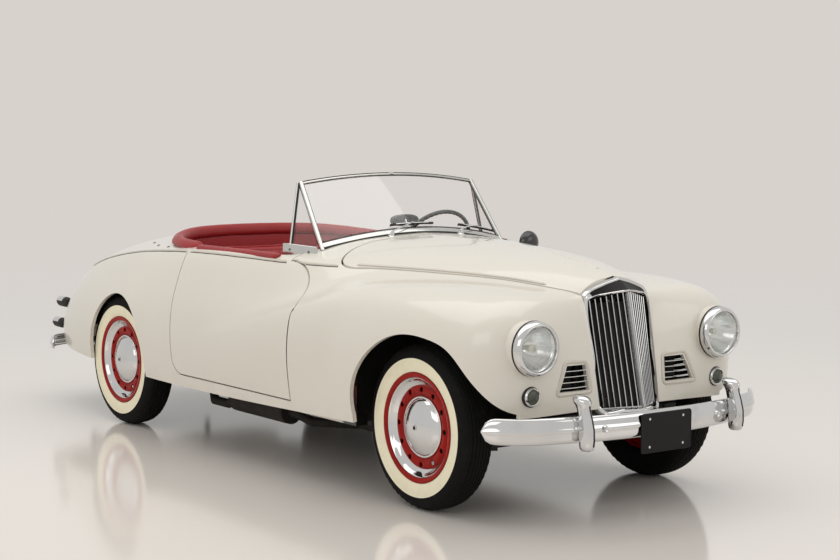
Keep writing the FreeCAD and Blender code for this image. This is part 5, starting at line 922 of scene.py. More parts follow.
    def valve(self) -> Piece:
        """Valve stem, leaning outwards at the bottom of the disc."""
        foot = np.asarray(self.centre) + (0, self.side * 0.041, -0.183)
        path = foot + np.outer(np.linspace(0, 1, 5), (0, self.side * 0.024, 0.006))
        stem = tube(path, np.array([.0045, .0042, .0038, .0038, .0030]), 12, UP)
        return Piece(f"valve_{self.corner}", stem, (SEAL,), self.body(), "tyre")

    def build(self) -> None:
        """Steel wheel, tyre, bright parts and valve."""
        for piece in (self.steel(), self.tyre(), self.bright(), self.valve()):
            piece.build()


@dataclass
class Lamps:
    """Headlamps, round side lamps and the pairs of tail lamps."""

    head: tuple[float, float, float] = (-.700, .6234, .7366)
    side: tuple[float, float, float] = (-.661, .626, .5387)
    tails: tuple = ((1.915, .756, .587), (1.967, .756, .458))
    lens_radius: float = .0865
    lens_dome: float = .026
    side_lens_radius: float = .0292

    def lens(self, centre: Array) -> Shell:
        """Front glass: a dome with upright flutes and three level steps, and a smooth back."""
        rings, sides = np.linspace(0, 1, 40), np.linspace(0, 2 * math.pi, 160, endpoint=False)
        r = self.lens_radius * rings[:, None]
        y, z = r * np.cos(sides), r * np.sin(sides)
        dome = self.lens_dome * (1 - rings[:, None] ** 2) * np.ones_like(y)
        inside = np.clip((1 - rings[:, None]) * 12, 0, 1)
        flutes = 0.0008 * np.abs(np.sin(y * 330 + 0.4 * np.sin(z * 60))) * inside
        steps = 0.0012 * inside * np.tanh(18 * np.sin(z * 110))
        front = np.stack([dome + flutes + steps + 0.006, y, z], -1) + centre
        back = np.stack([dome * 0.96 + 0.0015, y, z], -1)[::-1] + centre
        return grid(np.concatenate([front, back]), round_v=True)

    def headlamp(self) -> None:
        """Bezel, gasket, reflector and bulb as one piece for both sides, and the glasses as another."""
        c = place(*self.head)
        bezel = spline([(-.0205, .1040), (-.0120, .1062), (.0000, .1050), (.0100, .1012), (.0165, .0955),
                        (.0180, .0910), (.0160, .0876), (.0110, .0862), (.0040, .0858)], 36)
        bezel = np.vstack([bezel, [(.0020, .0900), (-.0100, .0990), (-.0200, .1000)]])
        seal = [(-.0235, .1020), (-.0228, .1066), (-.0195, .1068), (-.0190, .1030)]
        cowl = [(-.0900, .1000), (-.0900, .1046), (-.0225, .1052), (-.0215, .1000)]
        dish = np.array([(-.0830, .0001)] + [(-.083 + 11.8 * r * r, r) for r in np.linspace(.012, .0845, 16)]
                        + [(.0030, .0885), (-.0850, .0400), (-.0870, .0001)])
        bulb = [(-.0800, .0001), (-.0800, .0100), (-.0550, .0100), (-.0500, .0125), (-.0330, .0120), (-.0270, .0001)]
        shells = [lathe(bezel, c, AHEAD, 120, 0), lathe(seal, c, AHEAD, 96, 1), lathe(dish, c, AHEAD, 72, 2),
                  lathe(cowl, c, AHEAD, 96, 4),
                  lathe(bulb, c, AHEAD, 24, 3)]
        screw = lathe([(.0120, .0001), (.0150, .0030), (.0120, .0042), (.0060, .0042), (.0060, .0001)],
                      c + (0, 0, -.0935), AHEAD, 16, 2)
        Piece("headlamp_bezels", both(joined(shells + [screw])), (CHROME, SEAL, REFLECTOR, DIAL_FACE, IVORY),
              Body.CAR.value, "chrome", ("headlamps",), 40).build()
        Piece("headlamp_glasses", both(self.lens(c)), (LENS,), Body.CAR.value, "clear_glass",
              ("headlamp_lenses",), 60).build()

    def small(self) -> None:
        """Side lamps with ring, gasket and ribbed glass; hooded tail lamps with red glass, their hoods black as painted
        shade.
        """
        c = place(*self.side)
        seal = [(-.0140, .0340), (-.0140, .0395), (.0020, .0400), (.0060, .0370), (.0060, .0330)]
        ring = [(-.0120, .0330), (.0060, .0365), (.0120, .0350), (.0150, .0315), (.0130, .0290), (.0040, .0290)]
        pan = [(-.0330, .0001), (-.0330, .0300), (.0060, .0310), (.0060, .0290), (-.0180, .0250), (-.0200, .0001)]
        shells = [lathe(seal, c, AHEAD, 60, 1), lathe(ring, c, AHEAD, 60, 0), lathe(pan, c, AHEAD, 40, 2)]
        rings, sides = np.linspace(0, 1, 16), np.linspace(0, 2 * math.pi, 72, endpoint=False)
        y, z = (self.side_lens_radius * np.outer(rings, f(sides)) for f in (np.cos, np.sin))
        dome = .010 + .012 * (1 - rings[:, None] ** 2) + .0008 * np.abs(np.sin(z * 420))
        front, back = np.stack([dome, y, z], -1) + c, (np.stack([dome * 0.8, y, z], -1) + c)[::-1]
        glasses = [grid(np.concatenate([front, back]), round_v=True)]
        red = []
        for tail in self.tails:
            t = place(*tail)
            hood = spline([(.1380, .0001), (.1380, .0200), (.1180, .0262), (.0700, .0275), (.0420, .0270),
                           (.0330, .0262), (.0310, .0250)], 30)
            hood = np.vstack([hood, [(.0500, .0240), (.1200, .0200), (.1300, .0001)]])
            # painted shade: the tail lamp hoods are black for the shade on their backs
            shells.append(lathe(hood, t, AHEAD, 56, 1))
            lens = spline([(.0000, .0001), (.0015, .0100), (.0080, .0180), (.0200, .0228), (.0360, .0246)], 18)
            red.append(lathe(np.vstack([lens, [(.0360, .0200), (.0100, .0001)]]), t, AHEAD, 48, 0))
            brow = [(.030, .0272), (.033, .0300), (.060, .0302), (.100, .0280), (.110, .0262), (.040, .0266)]
            shells.append(lathe(brow, t, AHEAD, 40, 0, arc=(195, 345)))
        Piece("small_lamp_rings", both(joined(shells)), (CHROME, SEAL, REFLECTOR), Body.CAR.value, "chrome",
              ("small_lamps",), 40).build()
        Piece("side_lamp_glasses", both(joined(glasses)), (SIDE_GLASS,), Body.CAR.value, "clear_glass").build()
        Piece("tail_lamp_glasses", both(joined(red)), (RED_LENS,), Body.CAR.value, "clear_glass").build()

    def build(self) -> None:
        """All lamps."""
        self.headlamp()
        self.small()


@dataclass
class Grille:
    """Upright pointed grille with its hooded shell, and the slatted openings beside it."""

    bars: int = 7
    inner: tuple = ((1.9930, 0, .4300), (1.9480, -.0720, .4250), (1.9060, -.1380, .4205), (1.9000, -.1455, .4290),
                    (1.8620, -.1520, .6300), (1.8260, -.1585, .8230), (1.8235, -.1560, .8390),
                    (1.8300, -.1440, .8480), (1.8600, -.0800, .8640), (1.8960, 0, .8770))
    outer: tuple = ((2.0010, 0, .4160), (1.9550, -.0790, .4110), (1.9120, -.1520, .4060), (1.9030, -.1600, .4180),
                    (1.8590, -.1660, .6300), (1.8160, -.1725, .8350), (1.8130, -.1690, .8600),
                    (1.8180, -.1500, .8790), (1.8240, -.0850, .9060), (1.8290, 0, .9270))

    def outline(self, knots: Sequence, count: int = 90) -> Array:
        """Right half of an outline as a smooth line, then its mirror image back to the start."""
        half = spline(knots, count)
        return np.vstack([half, (half * (1, -1, 1))[-2:0:-1]])

    def shell(self) -> None:
        """Surround between the inner and outer outline, with a lip at each, and a black band where it is wide, painted
        as the shade of the dip between the lips.
        """
        inner, outer = self.outline(self.inner), self.outline(self.outer)
        width = np.linalg.norm(outer - inner, axis=1)
        shares = np.stack([np.minimum(f / width, g) for f, g in ((.0035, .2), (.0075, .4), (.0110, .5))], 1)
        shares = np.hstack([shares, 1 - shares[:, ::-1]])
        lift = np.where(width > .03, 0.0, 1.0)[:, None] * 0.0045
        heights = np.stack([width * 0 + h for h in (.0045, .0035, -.0030, -.0030, .0035, .0045)], 1)
        heights[:, 2:4] += lift * 1.6
        ahead = unit(AHEAD + UP * np.clip((width[:, None] - .015) * 30, 0, 1.2))
        face = inner[:, None] + (outer - inner)[:, None] * shares[..., None] + ahead[:, None] * heights[..., None]
        backs = [inner - AHEAD * d for d in (.040, .003)], [outer - AHEAD * d for d in (.003, .052)]
        rows = np.concatenate([np.stack(backs[0], 1), face, np.stack(backs[1], 1)], 1)
        gasket = sweep(outer - AHEAD * .034, circle(.0035, 8), AHEAD, closed=True, finish=1)
        surround = grid(rows, round_u=True, round_v=True)
        painted_shade_band = surround.quad_finish.reshape(len(rows), -1)
        # painted shade: where the surround is wide, the dip between the lips is coloured black
        painted_shade_band[width > .034, 4] = 2
        shell = joined([surround, gasket])
        Piece("grille_shell", shell, (CHROME, SEAL, PLATE_ENAMEL), Body.CAR.value, "chrome",
              ("grille_surround",), 50).build()

    def uprights(self) -> list[Shell]:
        """Bars: a rounded blade at even shares between the ridge and the side, from sill to hood."""
        low, high = np.array(self.inner[0]), np.array(self.inner[-1])
        foot, head = np.array(self.inner[3]), np.array(self.inner[6])
        blade = np.array([(-.0024, -.024), (-.0029, -.006), (-.0020, -.0012), (0, 0), (.0020, -.0012),
                          (.0029, -.006), (.0024, -.024)])
        out = []
        for k in range(self.bars + 1):
            share = k / (self.bars + .55)
            start, end = low + (foot - low) * share - AHEAD * .006, high + (head - high) * share - AHEAD * .010
            wide = 1.15 if k == 0 else 1.0
            path = start + np.outer(np.linspace(0, 1, 12), end - start)
            out.append(sweep(path, blade * (wide, 1) + (0, .003), unit(AHEAD - ACROSS * (.35 if k else 0))))
        return out

    def side_opening(self) -> list[Shell]:
        """Slats of the right side opening."""
        corners = np.array([place(*c) for c in ((-.640, .268, .647), (-.640, .394, .649), (-.640, .453, .543),
                                                (-.640, .258, .542))])
        out = []
        for k in range(4):
            z = corners[3, 2] + (corners[0, 2] - corners[3, 2]) * (k + .62) / 4.5
            t = (z - corners[3, 2]) / (corners[0, 2] - corners[3, 2])
            inner = corners[3] + (corners[0] - corners[3]) * t
            outer = corners[2] + (corners[1] - corners[2]) * t
            y = np.linspace(inner[1] - .003, outer[1] + .003, 14)
            bend = 0.006 * np.sin(np.linspace(0, math.pi, 14))
            path = np.stack([np.full(14, inner[0] - .004) + bend, y, np.full(14, z)], -1)
            out.append(sweep(path, np.array([(-.016, .002), (-.002, .0045), (.002, .003), (.002, 0),
                                             (-.002, -.0015), (-.016, -.001)]) * (-1, 1), UP))
        return out

    def box(self) -> Shell:
        """Black sheets behind the bars, standing in for the shade inside the openings."""
        front = [brick((1.745, -.155, .430), (1.750, .155, .850), .004)]
        side = brick((1.775, -.372, .492), (1.780, -.196, .612), .004)
        return joined(front + [side, side.mirrored()])

    def build(self) -> None:
        """Shell, bars, slats and the black sheets of painted shade behind them."""
        self.shell()
        upright = self.uprights()
        bars = joined(upright + [b.mirrored() for b in upright[1:]])
        rail = spline([p - AHEAD * .022 for p in np.array(self.inner)[[0, 2]]], 8)
        rails = sweep(rail, rounded(.012, .010, .002, 3), UP)
        slats = both(joined(self.side_opening()))
        Piece("grille_uprights", joined([bars, both(rails), slats]), (CHROME,), Body.CAR.value, "chrome",
              ("grille_bars",), 40).build()
        # painted shade: black sheets behind the grille and side openings
        Piece("grille_painted_shade", self.box(), (SEAL,), Body.CAR.value, "black_plastic").build()


@dataclass
class Bumper:
    """Bowed blade with rolled ends and two overriders."""

    name: str
    plan: tuple
    height: float
    end: int
    over_half: float
    over_at: float
    over_depth: float
    tall: float = 0.100
    bow: float = 0.009
    raised: float = 0.0
    hook: float = 0.0

    def blade(self) -> Shell:
        """Blade: a ribbed section carried along the plan, its height closing as an ellipse at the ends."""
        right = [place(s, y, self.height) for s, y in self.plan]
        line = spline([p * (1, -1, 1) for p in right[:0:-1]] + right, 90)[::self.end]
        run = run_of(line)
        from_end = np.minimum(run, run[-1] - run)
        close = np.sqrt(np.clip(1 - (1 - np.clip(from_end / .055, 0, 1)) ** 2, .0025, 1))[:, None, None]
        z = np.array([.50, .49, .44, .33, .20, .12, .07, .02, -.02, -.07, -.12, -.20, -.33, -.44, -.49, -.50])
        out = np.array([-1.1, -.55, -.05, .38, .60, .70, .98, 1.15, 1.15, .98, .70, .60, .38, -.05, -.55, -1.1])
        front = np.stack([out * self.bow + .002, z * self.tall], -1)
        profile = np.vstack([front, front[::-1] * (1, .93) - (.0042, 0)])
        return sweep(line, profile * np.concatenate([close ** .5, close], -1), UP)

    def overrider(self) -> Shell:
        """Overrider: stacked rounded sections with a ridge in front, under a hooded head that leans out."""
        levels = np.array([-.105, -.104, -.098, -.085, -.060, -.020, .020, .050, .066, .074, .082, .090, .096,
                           .1005, .1020])
        wide = np.array([.004, .014, .021, .0235, .0240, .0225, .0210, .0205, .0235, .0285, .0305, .0290, .0240,
                         .0150, .0040])
        reach = np.array([.10, .45, .72, .86, .94, .92, .86, .82, .90, 1.0, 1.0, .93, .80, .55, .20])
        a = np.linspace(0, 2 * math.pi, 48, endpoint=False)
        ridge = 0.10 * np.exp(-((np.mod(a + math.pi, 2 * math.pi) - math.pi) / .22) ** 2)
        x = np.where(np.cos(a) > 0, 1.0, .55) * np.cos(a) * (1 + ridge)
        y = np.sign(np.sin(a)) * np.abs(np.sin(a)) ** .85
        depth = self.over_depth
        lean = self.hook * (np.clip((levels + .03) / .13, 0, 1) ** 1.5)[:, None]
        face = self.over_at - self.end * (depth * .64 + lean)
        points = np.stack([face + self.end * x * reach[:, None] * depth * .60, y * wide[:, None],
                           np.broadcast_to(levels[:, None], (len(levels), 48))], -1)
        points = points + (0, -self.over_half * HALF_WIDTH, self.height * HEIGHT_UNIT + self.raised)
        shell = grid(points, round_v=True, ends=True)
        # painted shade: a black strip down the front ridge stands in for the shade of a groove
        groove = np.zeros((len(levels) - 1, 48), int)
        groove[3:8, [0, 47]] = 1
        shell.quad_finish[:] = groove.ravel()
        return shell

    def build(self, node: str) -> None:
        """Blade and overriders stand for the node."""
        over = self.overrider()
        bolts = []
        for y in (-.30, .30):
            bolts.append(lathe([(.000, .0001), (.006, .0040), (.008, .0110), (.002, .0140), (-.006, .0140),
                                (-.006, .0001)], self.bolt_place(y), (self.end, 0, 0), 24))
        Piece(self.name, joined([self.blade(), over, over.mirrored()] + bolts), (CHROME, SEAL), Body.CAR.value,
              "chrome", (node,), 42).build()

    def bolt_place(self, y: float) -> Array:
        """Point of the blade's face at a half width."""
        line = spline([place(s, h, self.height) for s, h in self.plan], 60)
        x = np.interp(abs(y), -line[:, 1], line[:, 0])
        return np.array([x + self.end * .011, y, self.height * HEIGHT_UNIT])


@dataclass
class Plate:
    """Blank registration plate: an enamelled sheet with a rolled edge, four screws and its bracket."""

    name: str
    centre: tuple[float, float, float]
    end: int
    wide: float = 0.268
    tall: float = 0.154
    screw_at: tuple[float, float] = (.089, .054)

    def shells(self) -> list[Shell]:
        """Sheet, raised rim and screws, facing away from the car."""
        side = ACROSS * self.end
        sheet = slab(rounded(self.wide, self.tall, .012), self.centre, side, UP, .0036, .0008, 0)
        edge = rounded(self.wide - .004, self.tall - .004, .011, 8)
        path = np.asarray(self.centre) + edge[:, :1] * side + edge[:, 1:] * UP + AHEAD * self.end * .0036
        rim = sweep(path, circle(.0016, 8), AHEAD * self.end, closed=True, finish=0)
        screws = []
        for y, z in SQUARE[[2, 1, 3, 0]] * self.screw_at:
            at = np.asarray(self.centre) + side * y + UP * z + AHEAD * self.end * .0030
            screws.append(lathe([(-.0020, .0001), (-.0020, .0050), (.0008, .0052), (.0022, .0035), (.0026, .0001)],
                                at, (self.end, 0, 0), 20, 1))
        back = np.asarray(self.centre) - AHEAD * self.end * .013
        spacer = slab(rounded(.118, .028, .004), back - AHEAD * self.end * .010, side, UP, .022, .001, 2)
        return [sheet, rim, spacer] + screws


def plates() -> None:
    """Front and rear plates as one piece."""
    front = Plate("front", (station(-.955) + .0002, 0, .381 * HEIGHT_UNIT), 1)
    rear = Plate("rear", (station(1.984) - .0002, 0, .400 * HEIGHT_UNIT), -1)
    Piece("blank_plates", joined(front.shells() + rear.shells()), (PLATE_ENAMEL, BRIGHT, FRAME_BLACK),
          Body.CAR.value, "plate_black", ("number_plates",), 40).build()


class Skin:
    """Finds where points and rays meet packed panels."""

    def __init__(self, *nodes: str) -> None:
        """Gathers the nodes' triangles into one search tree."""
        points, faces = [], []
        for name in nodes:
            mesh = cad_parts[name].data
            places, corners = np.empty(len(mesh.vertices) * 3), np.empty(len(mesh.loops), np.int32)
            mesh.vertices.foreach_get("co", places)
            mesh.loops.foreach_get("vertex_index", corners)
            faces += (corners.reshape(-1, 3) + len(points)).tolist()
            points += places.reshape(-1, 3).tolist()
        self.tree = BVHTree.FromPolygons(points, faces)

    def near(self, points: Array) -> tuple[Array, Array]:
        """Nearest place on the panels to each point of a path, and the normal there, both smoothed a little.

        Args: points: the path.
        Returns: places and normals.
        """
        found = [self.tree.find_nearest(p)[:2] for p in points.tolist()]
        return smoothed(np.array([f[0] for f in found])), unit(smoothed(np.array([f[1] for f in found])))

    def drape(self, points: Array, toward: Sequence[float], lift: float, reach: float = 1.0) -> Array:
        """Points let go towards the panels, stopping a lift short of them.

        Args: points: a path or grid. toward: direction of the fall. lift: gap left. reach: the fall where there
            is nothing to meet.
        Returns: the landed points.
        """
        way = unit(np.asarray(toward, float))
        falls = [self.tree.ray_cast(p, way, reach)[3] for p in points.reshape(-1, 3).tolist()]
        far = np.array([reach if fall is None else fall for fall in falls]) - lift
        return points + way * far.reshape(points.shape[:-1])[..., None]


def smoothed(values: Array, width: int = 5) -> Array:
    """Running mean along a path, its ends held."""
    padded = np.pad(values, ((width // 2, width // 2), (0, 0)), mode="edge")
    return np.stack([np.convolve(padded[:, k], np.ones(width) / width, "valid") for k in range(values.shape[1])], -1)


def softened(corners: Sequence, radius: float, steps: int = 6) -> Array:
    """Closed outline with each corner rounded by a parabola that starts and ends a radius from it.

    Args: corners: the sharp outline. radius: reach of each parabola. steps: points a corner.
    Returns: the outline.
    """
    c = np.asarray(corners, float)
    start, end = c + unit(np.roll(c, 1, 0) - c) * radius, c + unit(np.roll(c, -1, 0) - c) * radius
    t = np.linspace(0, 1, steps)[:, None, None]
    arcs = (1 - t) ** 2 * start + 2 * t * (1 - t) * c + t ** 2 * end
    return np.swapaxes(arcs, 0, 1).reshape(-1, c.shape[1])


def spaced(path: Array, count: int, closed: bool = False) -> Array:
    """Points at even distances along a path.

    Args: path: points. count: how many to give. closed: the path returns to its start.
    Returns: the points.
    """
    p = np.vstack([path, path[:1]]) if closed else path
    run = run_of(p)
    t = np.linspace(0, run[-1], count, endpoint=not closed)
    return np.stack([np.interp(t, run, p[:, k]) for k in range(p.shape[1])], -1)


def run_of(path: Array) -> Array:
    """Distance along a path to each of its points."""
    return np.concatenate([[0], np.cumsum(np.linalg.norm(np.diff(path, axis=0), axis=1))])


def arch(half: float, rise: float, sunk: float = .003, steps: int = 8) -> Array:
    """Profile of a moulding: a half oval over two feet sunk below it."""
    a = np.linspace(0, math.pi, steps)
    return np.vstack([np.stack([np.cos(a) * half, np.sin(a) * rise], -1), [(-half, -sunk), (half, -sunk)]])


def flutes(along: Array, pitch: float) -> Array:
    """Row of rounded flutes: |sin| of the way along to the power 0.6."""
    return np.abs(np.sin(math.pi * along / pitch)) ** .6


def on_doors(stem: str, shell: Shell, finishes: Sequence[Finish], slot: str, node: str = "",
             crease: float = 34.0) -> list[bpy.types.Object]:
    """A right-hand surface and its mirror image as pieces of the two doors.

    Args: stem: the names' beginning. shell: the right-hand surface. finishes, slot, crease: as a piece's.
        node: beginning of the node that each stands for.
    Returns: both objects.
    """
    return [Piece(f"{stem}_{hand}", side, finishes, body.value, slot, (f"{node}_{hand}",) if node else (),
                  crease).build()
            for hand, body, side in (("right", Body.DOOR_RIGHT, shell), ("left", Body.DOOR_LEFT, shell.mirrored()))]


def closing(path: Array, length: float) -> Array:
    """Share from 0 at a path's ends to 1 a length inside them, along a quarter circle.

    Args: path: points. length: how far in from an end it reaches 1.
    Returns: one share for each point, 0.1 at least.
    """
    run = run_of(path)
    inside = np.clip(np.minimum(run, run[-1] - run) / length, 0, 1)
    return np.sqrt(np.clip(1 - (1 - inside) ** 2, .01, 1))


def plate(front: Array, back: Array, finish: int = 0) -> Shell:
    """Closed sheet between two grids: each row runs along the front and returns along the back, and the first
    and last rows close to the middle."""
    middle = (front + back) / 2
    pairs = ((middle[:1], middle[:1]), (front, back), (middle[-1:], middle[-1:]))
    return grid(np.concatenate([np.concatenate([f, b[:, ::-1]], 1) for f, b in pairs]), round_v=True, finish=finish)


def stud(at: Sequence[float], normal: Sequence[float], radius: float = .006, finish: int = 0) -> Shell:
    """Domed round head sunk a little into what carries it."""
    line = [(-.003, 0.0001), (-.003, radius), (.0008, radius), (.0030, radius * .72), (.0042, radius * .3),
            (.0044, .0001)]
    return lathe(line, at, normal, 18, finish)


@dataclass
class BodyTrim:
    """Belt mouldings, hood studs, side grille borders and the boot's handle and lamp."""

    belt: tuple = ((-.446, .267, .948), (-.203, .353, .972), (.020, .448, .986), (.121, .561, .995),
                   (.222, .668, .998), (.315, .756, 1.0), (.404, .818, 1.008), (.525, .850, 1.014),
                   (.687, .862, 1.018), (.868, .842, 1.0), (1.117, .790, .948), (1.492, .735, .862),
                   (1.620, .705, .800))
    half: float = .0068
    rise: float = .0062
    hood_studs: tuple = ((-.7276, -.6229, .93), (-.905, -.585, .93), (-1.0814, -.5137, .93), (-1.150, -.300, .95),
                         (-1.165, -.100, .96))
    lamp_height: float = .640
    handle_height: float = .545

    def run(self, skin: Skin, start: float, end: float, inwards: float = 0.0) -> tuple[Array, Array]:
        """Belt line between two stations, moved inwards, laid on the panels.

        Args: skin: the panels. start, end: station shares. inwards: how far it moves towards the middle.
        Returns: its points and the normals there.
        """
        line = spline([place(*k) for k in self.belt], 900)
        along = unit(np.gradient(line, axis=0))
        line = line - np.cross(UP, along) * inwards - UP * (.004 if not inwards else 0)
        line = line[(line[:, 0] < station(start)) & (line[:, 0] > station(end))][::3]
        return skin.near(line)

    def strip(self, line: Array, normal: Array, half: float, rise: float, shadow: bool = True) -> Shell:
        """Moulding: a half oval carried along a line, closing at its ends, with a dark bead under it.

        Args: line, normal: path and upright. half, rise: the oval's size. shadow: the dark bead is there.
        Returns: the surface.
        """
        shells = [sweep(line, arch(half, rise) * closing(line, .010)[:, None, None], normal)]
        if shadow:
            near, far = half - .001, half + .0028
            bead = np.array([(near, -.003), (far, -.003), (far, .0006), (near, .0006)])
            shells.append(sweep(line, bead, normal, finish=1))
        return joined(shells)

    def belts(self) -> None:
        """One moulding for each panel on each side."""
        parts = (("front_body", Body.CAR, .276, .3925, 0.0), ("rear_body", Body.CAR, .7415, 1.56, 0.0),
                 ("bonnet", Body.BONNET, -.352, .2480, .0125))
        for node, body, start, end, inwards in parts:
            line, normal = self.run(Skin(node), start, end, inwards)
            shells = [self.strip(line, normal, self.half, self.rise, not inwards)]
            if inwards:
                shells.append(stud(line[0] + normal[0] * .002, normal[0], .0045, 2))
            Piece(f"belt_moulding_{node}", both(joined(shells)), (IVORY_TRIM, SEAL, CHROME), body.value,
                  "ivory_paint").build()
        line, normal = self.run(Skin("door_right"), .4005, .7335)
        on_doors("belt_moulding_door", self.strip(line, normal, self.half, self.rise), (IVORY_TRIM, SEAL),
                 "ivory_paint")

    def crease(self) -> None:
        """Raised bead along the middle of the bonnet, fading backwards."""
        line = np.stack([np.linspace(1.775, .62, 120), np.zeros(120), np.full(120, 1.2)], -1)
        line, normal = Skin("bonnet").near(line)
        fade = np.clip((line[:, 0] - .62) / .9, .05, 1)[:, None, None]
        a = np.linspace(0, math.pi, 7)
        bead = np.vstack([np.stack([np.cos(a) * .009, np.sin(a) * .0034 - .0006], -1), [(-.008, -.003), (.008, -.003)]])
        Piece("bonnet_crease", sweep(line, bead * np.concatenate([fade ** .5, fade], -1), normal),
              (IVORY,), Body.BONNET.value, "ivory_paint", (), 60).build()

    def borders(self) -> Shell:
        """Painted raised borders round the side openings."""
        corners = [(2.1, -.204, .6125), (2.1, -.3235, .6185), (2.1, -.3765, .4945), (2.1, -.194, .4955)]
        path = spaced(softened(corners, .020), 110, True)
        path = Skin("front_body").drape(path, -AHEAD, 0)
        return both(sweep(path, arch(.0075, .0048, .004, 7), AHEAD, closed=True))

    def studs(self) -> Shell:
        """Fasteners of the hood round the cockpit's rear."""
        skin = Skin("rear_body")
        found = [skin.tree.find_nearest(p)[:2] for p in self.hood_studs]
        return both(joined([stud(p, n, .0080) for p, n in found]))

    def rear(self) -> None:
        """Boot handle with its foot, and the lamp over the plate."""
        lid = Skin("boot_lid")
        p, n = lid.tree.ray_cast((-2.6, 0, self.handle_height), (1, 0, 0))[:2]
        p, n = np.array(p), np.array(n)
        foot = lathe([(-.004, .0001), (-.004, .026), (.002, .026), (.006, .020), (.010, .012), (.032, .010),
                      (.032, .0001)], p, n, 32)
        middle = p + n * .036
        bar = np.array([middle + ACROSS * y + np.array((0, 0, -.006)) * (y / .055) ** 2
                        for y in np.linspace(-.055, .055, 15)])
        size = closing(bar, .012)[:, None, None]
        handle = sweep(bar, circle(.0095, 14, .75) * size, UP)
        q, m = lid.tree.ray_cast((-2.6, 0, self.lamp_height), (1, 0, 0))[:2]
        hood = slab(rounded(.150, .034, .015), np.array(q) - np.array(m) * .003, -ACROSS, UP, .032, .009)
        lens = slab(rounded(.110, .010, .004), np.array(q) - AHEAD * .010 - UP * .0165, -ACROSS, UP, .016, .002, 1)
        Piece("boot_fittings", joined([foot, handle, hood, lens]), (CHROME, LENS), Body.BOOT_LID.value,
              "chrome", (), 40).build()

    def build(self) -> None:
        """All the trim of the painted panels."""
        self.belts()
        self.crease()
        Piece("side_grille_borders", self.borders(), (IVORY_TRIM,), Body.CAR.value, "ivory_paint").build()
        Piece("hood_studs", self.studs(), (STEEL,), Body.CAR.value, "chrome").build()
        self.rear()


